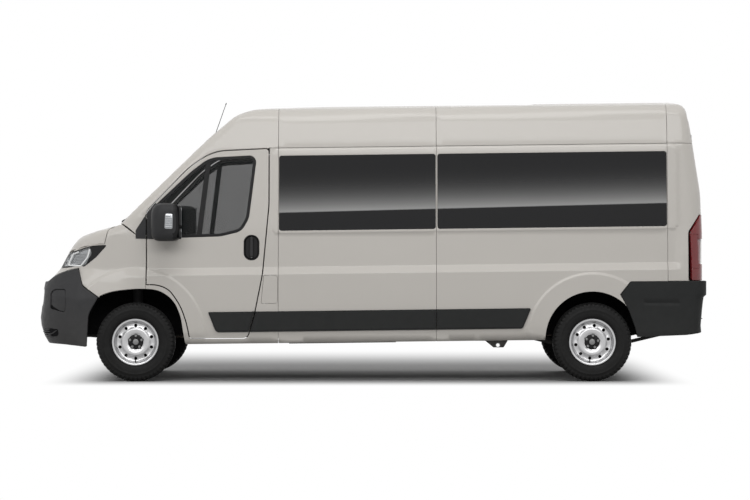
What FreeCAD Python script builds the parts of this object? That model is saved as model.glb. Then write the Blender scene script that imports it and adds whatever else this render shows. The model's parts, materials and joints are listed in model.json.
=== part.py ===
"""Window van: a long, medium-high panel van with glazed sides, as separate pieces.

Frame: millimetres, +Z up, the van faces -X and its left (driver's) side is -Y.
The origin is on the ground, under the middle of the van's length and width.
The body stands nose-down by a small rake, so heights named "level" are those at
X = 0 and rise towards the rear by RAKE.
"""
import FreeCAD
import Part
import math
import os

os.makedirs("parts", exist_ok=True)
V = FreeCAD.Vector

# ---- driving dimensions ----------------------------------------------------
RAKE = 0.0122            # rise of every body line per millimetre towards the rear
NOSE_X = -2999.0         # foremost point of the bumper
TAIL_X = 2999.0          # rearmost point of the bumper step
HALF_WIDTH = 1025.0      # over the side mouldings
FRONT_AXLE_X = -2051.0
REAR_AXLE_X = 1984.0
TYRE_R = 348.0
TYRE_W = 225.0
RIM_R = 207.0
FRONT_TRACK_Y = 905.0    # half track
REAR_TRACK_Y = 895.0
KINGPIN_Y = 835.0
STRUT_Y = 680.0
DOOR_FRONT_X = -1956.0
DOOR_REAR_X = -873.0
CAB_TAPER = 14.0         # how far the cab side runs inward from door rear to door front
WING_TAPER = 62.0        # further taper of the wings, to WING_END_X
WING_END_X = -2860.0
BUMPER_WALL = 52.0
SEAM_FRONT_X = -800.0
SEAM_MID_X = 606.0
SEAM_REAR_X = 2650.0
GAP = 4.5                # half the gap round a moving door
SEAM = 2.0               # half a gap between fixed panels
TOUCH = 0.3              # clearance between fixed neighbours
FLOOR_LEVEL = 540.0
JACK_HOLE_X = 1151.0
JACK_HOLE_Z = 319.0
JACK_HOLE_R = 15.0
FAR = 1500.0             # a reach beyond every side

# side skin, from sill to gutter: name, half-width, level
SIDE_SKIN = (
    ("sill_foot", 940, 344), ("sill_edge", 992, 366), ("moulding_low", 1003, 451),
    ("moulding_top", 1006, 630), ("crease_low", 1010, 957), ("crease_top", 982, 1020),
    ("waist", 972, 1341), ("gutter", 915, 2073))
# inner face of the same wall, from gutter to sill
SIDE_LINING = (
    ("gutter", 868, 2073), ("waist", 925, 1341), ("belt", 930, 1020),
    ("floor_line", 930, FLOOR_LEVEL), ("sill_box", 885, FLOOR_LEVEL), ("sill_foot", 885, 344))
# roof skin, from gutter to crown: name, half-width, level, corner radius
ROOF_SKIN = (
    ("gutter", 915, 2073, 0), ("roof_crease", 858, 2341, 90),
    ("roof_edge", 790, 2422, 160), ("crown", 0, 2475, 0))
ROOF_LINING = (
    ("crown", 0, 2438, 0), ("roof_edge", 770, 2388, 120),
    ("roof_crease", 812, 2330, 50), ("gutter", 868, 2073, 0))

# outlines seen from the side: x, z, corner radius
SILHOUETTE = (
    (-2300, 1300, 0), (-2206, 1382, 0), (-1400, 2165, 500), (-1180, 2352, 300),
    (-960, 2465, 250), (2800, 2511, 110), (2869, 2226, 900), (2955, 1656, 900),
    (2964, 1300, 900), (2955, 300, 0), (-2300, 300, 0))
DOOR = (
    (-1956, 855, 4), (-1956, 1500, 90), (-1590, 1885, 700), (-1370, 2035, 400),
    (-873, 2060, 12), (-873, 1560, 900), (-931, 936, 900), (-1000, 594, 500),
    (-1062, 378, 60), (-1573, 378, 10), (-1592, 500, 200), (-1640, 690, 200),
    (-1760, 850, 160))
DOOR_WINDOW = (
    (-1868, 1262, 12), (-1868, 1568, 30), (-1560, 1858, 400), (-1400, 1978, 250),
    (-980, 2000, 60), (-1050, 1440, 160), (-1115, 1325, 120), (-1300, 1280, 300))
FRONT_ARCH = (
    (-2490, 200, 0), (-2470, 595, 160), (-2385, 760, 120), (-2230, 816, 160),
    (-1850, 816, 160), (-1718, 740, 160), (-1652, 600, 200), (-1594, 200, 0))
REAR_ARCH_R = 415.0
REAR_ARCH_Z = 380.0
FUEL_FLAP = ((-940, 690, 8), (-918, 936, 8), (-797, 936, 25), (-797, 690, 25))
HEADLAMP = (
    (-2308, 1206, 8), (-2444, 1200, 200), (-2597, 1152, 60), (-2900, 1075, 0),
    (-2900, 985, 0), (-2560, 1024, 30), (-2515, 1014, 20), (-2403, 1101, 200))
BONNET_SIDE = (
    (-2300, 1344, 0), (-2330, 1213, 0), (-2444, 1206, 200), (-2597, 1158, 60),
    (-2920, 1078, 0), (-2920, 1500, 0), (-2300, 1500, 0))
BONNET_TOP = (
    (-2290, 1352, 0), (-2424, 1317, 300), (-2617, 1246, 250), (-2720, 1171, 150),
    (-2775, 1088, 0), (-2700, 900, 0), (-2290, 900, 0))
BUMPER_SIDE = (
    (-2568, 998, 10), (-2700, 967, 300), (-2800, 925, 200), (-2866, 870, 60), (-2952, 868, 50),
    (-2977, 690, 120),
    (-2999, 541, 80), (-2985, 420, 60), (-2930, 332, 60), (-2714, 323, 0),
    (-2484, 304, 10), (-2467, 595, 160), (-2380, 745, 0), (-2525, 848, 60))
TAIL_LAMP = (
    (2834, 890, 12), (2834, 1323, 80), (2936, 1475, 20), (3050, 1475, 0), (3050, 890, 0))
REAR_BUMPER = (
    (2226, 770, 0), (2317, 884, 20), (2999, 888, 14), (2999, 765, 25), (2972, 700, 60),
    (2946, 490, 30), (2952, 437, 12), (2811, 409, 60), (2380, 390, 10), (2360, 477, 0),
    (2303, 632, 0))

# plan outlines of one side of the nose and tail: x, half-width, corner radius
# (each runs PAST_MIDDLE beyond the centre line, so that its offsets stay whole there)
PAST_MIDDLE = -300
# upper nose sections: height, foremost x, half-width at the corner, corner radius
NOSE_SECTIONS = (
    (860, -2962, 962, 330), (990, -2816, 915, 350), (1170, -2722, 890, 360), (1400, -2600, 860, 360))
NOSE_SWEEP = 105.0         # how far back the nose's corners stand from its middle
BUMPER_NOSE = (
    (-2200, 1010, 0), (-2872, 966, 330), (-2999, 0, 0), (-3038, PAST_MIDDLE, 0),
    (-2200, PAST_MIDDLE, 0))
TAIL_PLAN = (
    (2000, 1060, 0), (2560, 1012, 800), (2966, 985, 115), (3010, 0, 0), (3010, PAST_MIDDLE, 0),
    (2000, PAST_MIDDLE, 0))
BUMPER_TAIL = (
    (2100, 1008, 0), (2940, 1004, 110), (2999, 900, 60), (2999, 0, 0), (2999, PAST_MIDDLE, 0),
    (2100, PAST_MIDDLE, 0))

# x-ranges of the flush side panes
FRONT_PANE = (SEAM_FRONT_X + 6, SEAM_MID_X - 8)
REAR_PANE = (SEAM_MID_X + 14, 2646.0)
SLIDING_DOOR = (
    (SEAM_FRONT_X - 2, 392, 60), (SEAM_MID_X + 2, 408, 60),
    (SEAM_MID_X + 2, 2062, 20), (SEAM_FRONT_X - 2, 2046, 20))
MOULDING = (
    (-1409, 630 - 1409 * RAKE, 6), (1443, 630 + 1443 * RAKE, 12),
    (1366, 451 + 1366 * RAKE, 30), (-1340, 451 - 1340 * RAKE, 40))
# grille openings seen from the front: name, half-width low, half-width high, bottom, top, face x
GRILLES = (("upper", 455, 480, 1000, 1062, -2760), ("lower", 400, 440, 650, 800, -2935))
GRILLE_BAR = 11.0
STEERING_HUB = (-1560.0, -430.0, 1150.0)
STEERING_TILT = math.radians(32)
ANTENNA_LEAN = math.radians(19.4)
# wheel housings: x, z of the round, radius, inner and outer distance from the centre line
HOUSING_WALL = 14.0
HOUSINGS = ((FRONT_AXLE_X, 400, 470, 560, 832), (REAR_AXLE_X, 380, 415, 600, 884))
# one side's leaf spring, seen from the side
LEAF = (
    (1395, 372, 0), (1850, 266, 500), (2110, 266, 500), (2640, 392, 0), (2640, 420, 0),
    (2110, 294, 500), (1850, 294, 500), (1395, 402, 0))
# seats: name, middle y, width
SEATS = (("driver_seat", -450, 500), ("passenger_seat", 330, 900))
# road wheels: name, x, half track, side
WHEELS = (
    ("front_left", FRONT_AXLE_X, FRONT_TRACK_Y, -1), ("front_right", FRONT_AXLE_X, FRONT_TRACK_Y, 1),
    ("rear_left", REAR_AXLE_X, REAR_TRACK_Y, -1), ("rear_right", REAR_AXLE_X, REAR_TRACK_Y, 1))
# tyre section: name, offset outward from the middle, radius
TYRE_SECTION = (
    ("inner_bead", -83.5, 190.2), ("inner_flange", -83.5, 209), ("inner_wall", -112.5, 250),
    ("inner_wall_top", -108, 305), ("inner_shoulder", -92, 340), ("tread_inner", -60, TYRE_R),
    ("tread_outer", 60, TYRE_R), ("outer_shoulder", 92, 340), ("outer_wall_top", 108, 305),
    ("outer_wall", 112.5, 250), ("outer_flange", 83.5, 209), ("outer_bead", 83.5, 190.2))
# rim section: name, offset outward, radius
RIM_SECTION = (
    ("inner_lip", -84, RIM_R), ("inner_seat", -84, 189.5), ("well", -30, 175),
    ("outer_seat", 84, 189.5), ("outer_lip", 84, RIM_R), ("outer_face", 90, RIM_R),
    ("outer_step", 90, 188), ("dish_edge", 66, 176), ("dish", 44, 150), ("nave_step", 52, 118),
    ("nave", 44, 78), ("cap_seat", 44, 60), ("cap_back", 32, 60),
    ("nave_back", 32, 118), ("dish_back", 30, 155), ("barrel", -78, 168), ("barrel_lip", -90, 184),
    ("inner_face", -90, RIM_R))
VENTS = 10                 # vent holes in a rim
VENT_R = 13.0
VENT_CIRCLE_R = 146.0


# ---- outlines and prisms ----------------------------------------------------
def level(z, x):
    """Height at X = x of a body line whose level is z."""
    return z + RAKE * x


def corner(points, i):
    """The straight ends and middle of the arc that rounds corner i of an outline."""
    here = points[i]
    p = V(here[0], here[1], 0)
    radius = here[2] if len(here) > 2 else 0
    before = points[i - 1]
    after = points[(i + 1) % len(points)]
    to_before = V(before[0], before[1], 0) - p
    to_after = V(after[0], after[1], 0) - p
    room = 0.48 * min(to_before.Length, to_after.Length)
    a = to_before.normalize()
    b = to_after.normalize()
    half = a.getAngle(b) / 2
    if radius <= 0 or half > 1.565:
        return [p]
    reach = min(radius / math.tan(half), room)
    radius = reach * math.tan(half)
    inward = (a + b).normalize()
    centre = p + inward * (radius / math.sin(half))
    return [p + a * reach, centre - inward * radius, p + b * reach]


def face(points, place):
    """A flat face inside a closed outline of lines and rounded corners."""
    corners = [corner(points, i) for i in range(len(points))]
    edges = []
    for i, knots in enumerate(corners):
        if len(knots) == 3:
            edges.append(Part.Arc(*[place(k) for k in knots]).toShape())
        start = place(knots[-1])
        end = place(corners[(i + 1) % len(corners)][0])
        if start.distanceToPoint(end) > 1e-6:
            edges.append(Part.LineSegment(start, end).toShape())
    return Part.Face(Part.Wire(edges))


def across(points, y0, y1):
    """An outline seen from the side (x, z), drawn across the van from y0 to y1."""
    return face(points, lambda p: V(p.x, y0, p.y)).extrude(V(0, y1 - y0, 0))


def along(points, x0, x1, inward=0.0):
    """A cross-section (y, level) drawn along the raked body from x0 to x1."""
    run = x1 - x0
    profile = face(points, lambda p: V(x0, p.x, level(p.y, x0)))
    return profile.extrude(V(run, inward, RAKE * run))


def upright(points, z0, z1):
    """A plan outline (x, y) drawn upright from z0 to z1."""
    return face(points, lambda p: V(p.x, p.y, z0)).extrude(V(0, 0, z1 - z0))


def grown(points, by):
    """The outline moved outward everywhere by a distance, inward when negative."""
    area = sum(p[0] * q[1] - q[0] * p[1] for p, q in zip(points, points[1:] + points[:1]))
    turn = 1 if area > 0 else -1
    lines = []
    for p, q in zip(points, points[1:] + points[:1]):
        run = V(q[0] - p[0], q[1] - p[1], 0).normalize()
        out = V(run.y, -run.x, 0) * (by * turn)
        lines.append((V(p[0], p[1], 0) + out, run))
    result = []
    for i, point in enumerate(points):
        start, run = lines[i - 1]
        other, cross = lines[i]
        det = run.x * cross.y - run.y * cross.x
        gap = other - start
        t = (gap.x * cross.y - gap.y * cross.x) / det if abs(det) > 1e-9 else 0
        spot = start + run * t if t else other
        radius = point[2] if len(point) > 2 else 0
        convex = det * turn > 0
        result.append((spot.x, spot.y, max(radius + (by if convex else -by), 0)))
    return tuple(result)


def left_half(plan):
    """A plan outline given by half-widths, laid on the left side."""
    return tuple((x, -y, r) for x, y, r in plan)


def mirrored(shape):
    """The same piece on the van's other side."""
    return shape.mirror(V(0, 0, 0), V(0, 1, 0))


def box(x0, x1, y0, y1, z0, z1):
    """A plain block between two opposite corners."""
    return Part.makeBox(x1 - x0, y1 - y0, z1 - z0, V(x0, y0, z0))


def rod(start, end, radius):
    """A round bar between two points."""
    run = V(*end) - V(*start)
    return Part.makeCylinder(radius, run.Length, V(*start), run)


def joined(shapes):
    """One solid made of touching pieces."""
    result = shapes[0]
    for shape in shapes[1:]:
        result = result.fuse(shape)
    return result.removeSplitter()


def save(name, shape):
    """Write one named piece."""
    shape.exportStep("parts/" + name + ".step")


# ---- walls of the body, left side -------------------------------------------
def wall_outline(skin, lining):
    """Closed cross-section of the left wall from its skin and lining tables."""
    return tuple((-row[1], row[2]) for row in skin + lining)


def side_wall():
    """The left wall behind the cab door, sill to gutter, as one thick slab."""
    wall = along(wall_outline(SIDE_SKIN, SIDE_LINING), DOOR_REAR_X - 900, TAIL_X)
    return wall.common(tail_limits())


def tail_limits():
    """What lies inside the tail's plan corners and its leaning rear line."""
    plan = upright(TAIL_PLAN, 0, 3000)
    nose = box(-3000, 2000.5, -FAR, FAR, 0, 3000)
    room = nose.fuse(mirrored(plan)).fuse(plan)
    return room.common(across(SILHOUETTE, -FAR, FAR))


def cab_wall(skin, lining, x0, x1, inward):
    """A stretch of the left cab wall that tapers inward towards the nose."""
    return along(wall_outline(skin, lining), x0, x1, inward)


def door_wall():
    """Left wall over the length of the cab door."""
    full_skin = SIDE_SKIN[:-1] + (("top", 913, 2100),)
    full_lining = (("top", 866, 2100),) + SIDE_LINING[1:4] + (("low", 930, 344),)
    reach = DOOR_FRONT_X - DOOR_REAR_X
    return cab_wall(full_skin, full_lining, DOOR_REAR_X, DOOR_REAR_X + reach * 1.02, CAB_TAPER * 1.02)


def sill_wall():
    """Left wall under and in front of the door, with its closed sill box."""
    reach = DOOR_FRONT_X - DOOR_REAR_X
    return cab_wall(SIDE_SKIN, SIDE_LINING, DOOR_REAR_X, DOOR_REAR_X + reach, CAB_TAPER)


def wheelhouse(x, z, radius, y0, y1):
    """The round space a wheel turns in."""
    return Part.makeCylinder(radius, y1 - y0, V(x, y0, z), V(0, 1, 0))


def window_outline(x0, x1, margin=0.0):
    """A flush side window between two seams, following the raked waist."""
    low = 1341 - margin
    high = 2003 + margin
    left = x0 - margin
    right = x1 + margin
    return (
        (left, level(low, left), 22), (right, level(low, right), 22),
        (right, level(high, right), 22), (left, level(high, left), 22))


def glazed(wall, panes):
    """Cut a rebate for each pane and the smaller opening through the wall."""
    for x0, x1 in panes:
        wall = wall.cut(across(window_outline(x0, x1, -34), -FAR, -700))
        rebate = across(window_outline(x0, x1, 1.5), -FAR, -700)
        wall = wall.cut(rebate.common(outer_layer(8.0)))
    return wall


def outer_layer(depth):
    """The outermost layer of the left wall at the windows."""
    skin = (("a", FAR, 1200), ("b", FAR, 2200), ("c", 905 - depth, 2200),
            ("waist", 972 - depth, 1341), ("e", 977 - depth, 1200))
    return along(tuple((-row[1], row[2]) for row in skin), -1000, TAIL_X)


def pane(x0, x1):
    """One flush bonded pane on the left side, a little inside the skin."""
    margin = 40 * (972 - 915) / (2073 - 1341)
    plate = ((-970 - margin, 1301), (-913, 2073), (-908, 2073), (-965 - margin, 1301))
    glass = along(plate, -1000, TAIL_X)
    return glass.common(across(window_outline(x0, x1), -FAR, -700))


def side_panel_blank():
    """Left side panel before its own openings: sill, pillars, arch and corner."""
    rear = side_wall().common(box(DOOR_REAR_X, TAIL_X, -FAR, 0, 0, 3000))
    post = tuple((-row[1], row[2]) for row in SIDE_SKIN[3:]) + ((-792.5, 2073), (-792.5, 630))
    rear = rear.fuse(along(post, 2780, TAIL_X).common(tail_limits()))
    panel = rear.fuse(sill_wall())
    panel = panel.cut(across(grown(DOOR, GAP), -FAR, 0))
    above_door = ((-2500, 1300), (-860, 1300), (-860, 3000), (-2500, 3000))
    top = across(above_door, -FAR, 0).cut(across(((DOOR_REAR_X, 0), (0, 0), (0, 3000), (DOOR_REAR_X, 3000)),
                                                 -FAR, 0))
    panel = panel.cut(top)
    panel = panel.cut(box(-2600, DOOR_FRONT_X + SEAM, -FAR, 0, 0, 3000))
    panel = panel.cut(across(((DOOR_FRONT_X - 5, 858), (-1700, 858), (-1700, 1400), (DOOR_FRONT_X - 5, 1400)),
                             -FAR, 0))
    panel = panel.cut(across(FRONT_ARCH, -FAR, 0))
    panel = panel.cut(wheelhouse(REAR_AXLE_X, REAR_ARCH_Z, REAR_ARCH_R, -FAR, 0))
    panel = panel.cut(across(grown(REAR_BUMPER, TOUCH), -FAR, 0))
    panel = panel.cut(box(2300, TAIL_X + 10, -FAR, 0, 0, 700))
    panel = panel.cut(across(grown(TAIL_LAMP, TOUCH), -FAR, 0).common(tail_band(70)))
    return panel


def largest(shape):
    """The largest solid of a cut result."""
    return max(shape.Solids, key=lambda s: s.Volume)


def tail_band(depth):
    """A layer of the body's rear corner, measured in from its outer faces."""
    inner = upright(grown(TAIL_PLAN, -depth), 0, 3000)
    outer = upright(TAIL_PLAN, 0, 3000)
    return mirrored(outer.cut(inner))


# ---- body pieces --------------------------------------------------------------
def side_panels():
    """Left panel with two windows and fuel flap; right panel with the sliding door's hole."""
    left = side_panel_blank()
    left = glazed(left, (FRONT_PANE, REAR_PANE))
    left = left.cut(across(grown(FUEL_FLAP, GAP), -FAR, -900))
    save("left_side_panel", largest(left))

    blank = side_panel_blank()
    blank = glazed(blank, (REAR_PANE,))
    blank = blank.cut(across(grown(SLIDING_DOOR, 2.5), -FAR, 0))
    save("right_side_panel", mirrored(largest(blank)))


def sliding_door():
    """Right sliding door with its window, closed in its opening."""
    skin = SIDE_SKIN[2:]
    lining = SIDE_LINING[:4]
    outline = tuple((-row[1], row[2]) for row in skin + lining)
    low = ((-998, 385), (-930, 385))
    section = low[:1] + outline + low[1:]
    slab = along(section, DOOR_REAR_X, SEAM_MID_X + 60)
    door = slab.common(across(grown(SLIDING_DOOR, -2.5), -FAR, 0))
    door = glazed(door, (FRONT_PANE,))
    save("sliding_door", mirrored(largest(door)))


def side_windows():
    """Four flush side panes."""
    panes = [pane(*FRONT_PANE), pane(*REAR_PANE)]
    panes += [mirrored(p) for p in panes]
    save("side_windows", Part.makeCompound(panes))


def fuel_flap():
    """Fuel filler flap behind the left door."""
    skin = ((-1010, 957), (-1006, 630), (-990, 630), (-994, 957))
    slab = along(skin, DOOR_REAR_X - 200, 0)
    save("fuel_flap", largest(slab.common(across(FUEL_FLAP, -FAR, 0))))


def roof_outline():
    """Closed cross-section of the roof, gutter to gutter."""
    skin = [(-r[1], r[2], r[3]) for r in ROOF_SKIN]
    skin += [(r[1], r[2], r[3]) for r in reversed(ROOF_SKIN[:-1])]
    lining = [(r[1], r[2], r[3]) for r in reversed(ROOF_LINING)]
    lining += [(-r[1], r[2], r[3]) for r in ROOF_LINING[1:]]
    return tuple(skin + lining)


def roof():
    """The roof behind the cab, in the three lengths between its seams."""
    shell = along(roof_outline(), SEAM_FRONT_X - 1, TAIL_X)
    header = (
        (-910, 2077), (-792.5, 2077), (-792.5, 2312), (792.5, 2312), (792.5, 2077), (910, 2077),
        (856, 2341), (790, 2421), (-790, 2421), (-856, 2341))
    shell = shell.fuse(along(header, 2765, TAIL_X)).common(tail_limits())
    lift = along(((-FAR, 2073 + 1), (FAR, 2073 + 1), (FAR, 3000), (-FAR, 3000)), -1000, TAIL_X)
    shell = shell.common(lift)
    shell = shell.cut(rear_doors_space())
    stretches = (
        (SEAM_FRONT_X + SEAM, SEAM_MID_X - SEAM), (SEAM_MID_X + SEAM, SEAM_REAR_X - SEAM),
        (SEAM_REAR_X + SEAM, TAIL_X))
    panels = [largest(shell.common(box(x0, x1, -FAR, FAR, 0, 3000))) for x0, x1 in stretches]
    save("roof_panels", Part.makeCompound(panels))


def cab_half(skin_in, roof_in, silhouette_in):
    """Left half of the solid cab inside a given offset from its outer faces."""
    section = (
        (-970 + skin_in, 300), (-1010 + skin_in, 957), (-982 + skin_in, 1020), (-972 + skin_in, 1341),
        (-858 + skin_in, 2341 - roof_in * 0.3, 90), (-790 + skin_in, 2422 - roof_in, 160),
        (60, 2479 - roof_in), (60, 300))
    x0 = SEAM_FRONT_X + 400
    taper = CAB_TAPER / 1200
    solid = along(section, x0, WING_END_X, taper * (x0 - WING_END_X))
    solid = solid.common(across(grown(SILHOUETTE, -silhouette_in), -FAR, FAR))
    return solid.common(box(-3200, 0, -FAR, 0, 0, 3000))


def cab_frame():
    """Windscreen pillars, header and front roof in one welded frame."""
    shell = cab_half(0, 0, 0).cut(cab_half(47, 40, 45))
    keep = ((-2600, 1298), (-2053, 1298), (-1985, 1330), (-1985, 1500), (-1800, 1690), (-1350, 2000),
            (-860, 2066), (SEAM_FRONT_X - SEAM, 2066), (SEAM_FRONT_X - SEAM, 2700), (-2600, 2700))
    shell = shell.common(across(keep, -FAR, FAR))
    shell = shell.cut(across(grown(DOOR, GAP), -FAR, 0))
    cowl_cut = ((-2600, 1000), (-2600, 1800), (-2176, 1397), (-2042, 1293), (-2042, 1000))
    shell = shell.cut(across(cowl_cut, -FAR, 0))
    screen = tuple((y, z, 60) for y, z in ((-795, 1380), (-668, 2118), (668, 2118), (795, 1380)))
    opening = face(screen, lambda p: V(-2600, p.x, p.y)).extrude(V(1350, 0, 0))
    frame = largest(shell.cut(opening))
    save("cab_frame", joined([frame, mirrored(frame)]))


def windscreen():
    """The windscreen, a flat bonded pane in the pillar plane."""
    plane = ((-2190, 1390), (-1395, 2162), (-1389, 2156), (-2184, 1384))
    screen = tuple((y, z, 60) for y, z in ((-791, 1402), (-665, 2114), (665, 2114), (791, 1402)))
    opening = face(screen, lambda p: V(-2600, p.x, p.y)).extrude(V(1350, 0, 0))
    save("windscreen", largest(across(plane, -FAR, FAR).common(opening)))


def door_layer(inner, outer):
    """A layer of the door's upper plane, between two depths measured in from the waist."""
    section = (
        (-975 + outer, 1241), (-972 + outer, 1341), (-911 + outer, 2100),
        (-911 + inner, 2100), (-972 + inner, 1341), (-975 + inner, 1241))
    return along(section, DOOR_REAR_X, DOOR_FRONT_X - 40, CAB_TAPER * 1.04)


def front_doors():
    """Left and right cab doors, each with its glass and moulding."""
    wall = door_wall()
    skin = wall.common(across(grown(DOOR, -GAP), -FAR, 0))
    inner_part = wall.common(across(grown(DOOR, -24), -FAR, 0))
    core = along(tuple((-y, z) for y, z in ((986, 300), (986, 957), (958, 1020), (948, 1341), (889, 2100),
                                             (700, 2100), (700, 300))),
                 DOOR_REAR_X, DOOR_FRONT_X - 40, CAB_TAPER * 1.04)
    door = skin.cut(core).fuse(inner_part).removeSplitter()
    door = door.cut(across(grown(DOOR_WINDOW, -12), -FAR, 0))
    rebate = across(DOOR_WINDOW, -FAR, 0).cut(core)
    door = largest(door.cut(rebate))
    glass = largest(door_layer(15, 10).common(across(grown(DOOR_WINDOW, -TOUCH), -FAR, 0)))
    strip = along(((-HALF_WIDTH, 451), (-HALF_WIDTH, 630), (-1006.5, 630), (-1003.5, 451)),
                  DOOR_REAR_X, DOOR_FRONT_X, CAB_TAPER)
    strip = largest(strip.common(across(MOULDING, -FAR, 0)).common(across(grown(DOOR, -GAP - 1), -FAR, 0)))
    for side, turned in (("left", lambda s: s), ("right", mirrored)):
        save(side + "_front_door", turned(door))
        save(side + "_door_glass", turned(glass))
        save(side + "_door_moulding", turned(strip))


def side_mouldings():
    """Protective mouldings along the fixed sides and the sliding door."""
    strip = along(((-HALF_WIDTH, 451), (-HALF_WIDTH, 630), (-1006.5, 630), (-1006.5, 451)), -1100, 1500)
    strip = strip.common(across(MOULDING, -FAR, 0)).cut(across(grown(DOOR, GAP + 1), -FAR, 0))
    strip = strip.cut(box(-1500, -1040, -FAR, 0, 0, 1000))
    pieces = []
    for x0, x1 in ((DOOR_REAR_X - 200, SEAM_MID_X - SEAM), (SEAM_MID_X + SEAM, 1500)):
        piece = largest(strip.common(box(x0, x1, -FAR, 0, 0, 1000)))
        pieces += [piece, mirrored(piece)]
    save("side_mouldings", Part.makeCompound(pieces))


def nose_section(skin_in):
    """Left half of the nose inside the tapering wing skin, x from door to nose."""
    start = DOOR_FRONT_X + 60
    taper = WING_TAPER / (start - WING_END_X)
    section = (
        (-1012, 200), (-1012, 790), (-988, 930), (-966, 1015), (-957, 1341), (-937, 1420))
    section = tuple((y + skin_in + CAB_TAPER, z) for y, z in section)
    return along(section + ((300, 1420), (300, 200)), start, NOSE_X, taper * (start - NOSE_X))


def nose_loft(skin_in):
    """Left half of the upper nose: plan sections at four heights, joined by ruled faces."""
    wires = []
    for height, front_x, half_width, radius in NOSE_SECTIONS:
        plan = (
            (-1800, half_width + 90, 0), (front_x + NOSE_SWEEP, half_width, radius),
            (front_x + NOSE_SWEEP * PAST_MIDDLE / half_width, PAST_MIDDLE, 0), (-1800, PAST_MIDDLE, 0))
        flat = face(left_half(grown(plan, -skin_in)), lambda p, z=height: V(p.x, p.y, z))
        wires.append(flat.OuterWire)
    return Part.makeLoft(wires, True, True)


def nose_solid(skin_in):
    """Solid upper nose, left half, inside its skin by a distance."""
    left = nose_section(skin_in).common(nose_loft(skin_in))
    return left.common(box(-3100, -1900, -FAR, 0.001, 0, 2000))


def wings():
    """Front wings, from door to headlamp and bumper, over the front arches."""
    top = ((-2600, 2000), (-2600, 1500), (-2300, 1342), (-2206, 1390), (-2178, 1392), (-2053, 1296),
           (DOOR_FRONT_X, 1296), (DOOR_FRONT_X, 2000))
    low = box(-2700, -1900, -FAR, 0, 0, 861)
    skin = nose_solid(0).fuse(nose_section(0).common(low))
    inner = nose_solid(28).fuse(nose_section(28).common(low)).common(box(-3000, 0, -FAR, 0, 0, 1275))
    wing = skin.cut(inner).common(box(-2700, DOOR_FRONT_X - SEAM - 2.5, -FAR, -700, 0, 2000))
    wing = wing.cut(box(-3000, 0, -845, 0, 1150, 2000))
    wing = wing.cut(across(top, -FAR, 0))
    lip = across(grown(FRONT_ARCH, 42), -1018, -940)
    lip = lip.common(box(-2420, DOOR_FRONT_X - SEAM - 2.5, -FAR, 0, 0, 900))
    wing = wing.fuse(lip).cut(across(FRONT_ARCH, -FAR, 0))
    wing = wing.cut(across(grown(HEADLAMP, TOUCH), -FAR, 0))
    wing = wing.cut(across(grown(BONNET_SIDE, 5), -FAR, 0))
    wing = wing.cut(across(grown(BUMPER_SIDE, TOUCH), -FAR, 0))
    front = ((-2560, 300), (-2560, 1010), (-2520, 1040), (-2520, 1300), (-3000, 1300), (-3000, 300))
    wing = wing.cut(across(front, -FAR, 0))
    wing = largest(wing)
    save("front_wings", Part.makeCompound([wing, mirrored(wing)]))


def bonnet():
    """Short clamshell bonnet, down to the top edge of the headlamps."""
    outer = nose_solid(0).common(across(BONNET_TOP, -FAR, FAR))
    inner = nose_solid(26).common(across(grown(BONNET_TOP, -26), -FAR, FAR))
    inner = inner.fuse(box(-2400, -2280, -FAR, 1, 0, 1310).common(inner))
    lid = outer.cut(inner).common(across(BONNET_SIDE, -FAR, FAR))
    lid = largest(lid)
    save("bonnet", joined([lid, mirrored(lid)]))


def cowl_panel():
    """Black cowl between bonnet and windscreen that the wipers stand on."""
    section = ((-2291, 1300), (-2291, 1338), (-2200, 1376), (-2160, 1350), (-2160, 1300))
    save("cowl_panel", across(section, -844, 844))


def headlamps():
    """Wrap-round headlamps, one block at each front corner."""
    block = nose_solid(0).cut(nose_solid(130)).common(across(HEADLAMP, -FAR, FAR))
    block = block.cut(box(-3100, -2000, -500, 0.1, 0, 2000))
    block = block.common(across(grown(BONNET_TOP, -1), -FAR, FAR))
    lamp = largest(block)
    save("headlamps", Part.makeCompound([lamp, mirrored(lamp)]))


def front_panel():
    """Painted panel between lamps, bonnet and bumper, with the grille's hole."""
    shell = nose_solid(0).cut(nose_solid(30))
    region = (
        (-2562, 1166), (-2597, 1151), (-2930, 1068), (-3000, 1050), (-3000, 871), (-2562, 871))
    panel = shell.common(across(region, -FAR, FAR))
    panel = panel.cut(across(grown(HEADLAMP, 1.0), -FAR, -490))
    panel = panel.cut(across(grown(BUMPER_SIDE, 1.0), -FAR, FAR))
    panel = largest(panel.cut(from_front(grille_outline(GRILLES[0]), -3000, 400)))
    save("front_panel", joined([panel, mirrored(panel)]))


def grille_outline(row, margin=0.0):
    """The rounded opening of one grille, seen from the front."""
    low, high, bottom, top = row[1:5]
    points = ((-low, bottom, 18), (-high, top, 18), (high, top, 18), (low, bottom, 18))
    return grown(points, margin)


def from_front(points, x0, depth):
    """An outline seen from the front (y, z), drawn back from x0."""
    return face(points, lambda p: V(x0, p.x, p.y)).extrude(V(depth, 0, 0))


def grille():
    """Two grilles, each a frame round level bars."""
    solids = []
    for row in GRILLES:
        bottom, top, x = row[3:6]
        frame = from_front(grille_outline(row, -1), x, 18)
        bars = [box(x + 2, x + 14, -500, 500, z, z + GRILLE_BAR)
                for z in range(int(bottom) + 20, int(top) - 20, 24)]
        bars = [bar.common(frame) for bar in bars]
        plate = frame.cut(from_front(grille_outline(row, -13), x - 10, 60))
        solids.append(joined([plate] + bars))
    save("grille", Part.makeCompound(solids))


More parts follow.
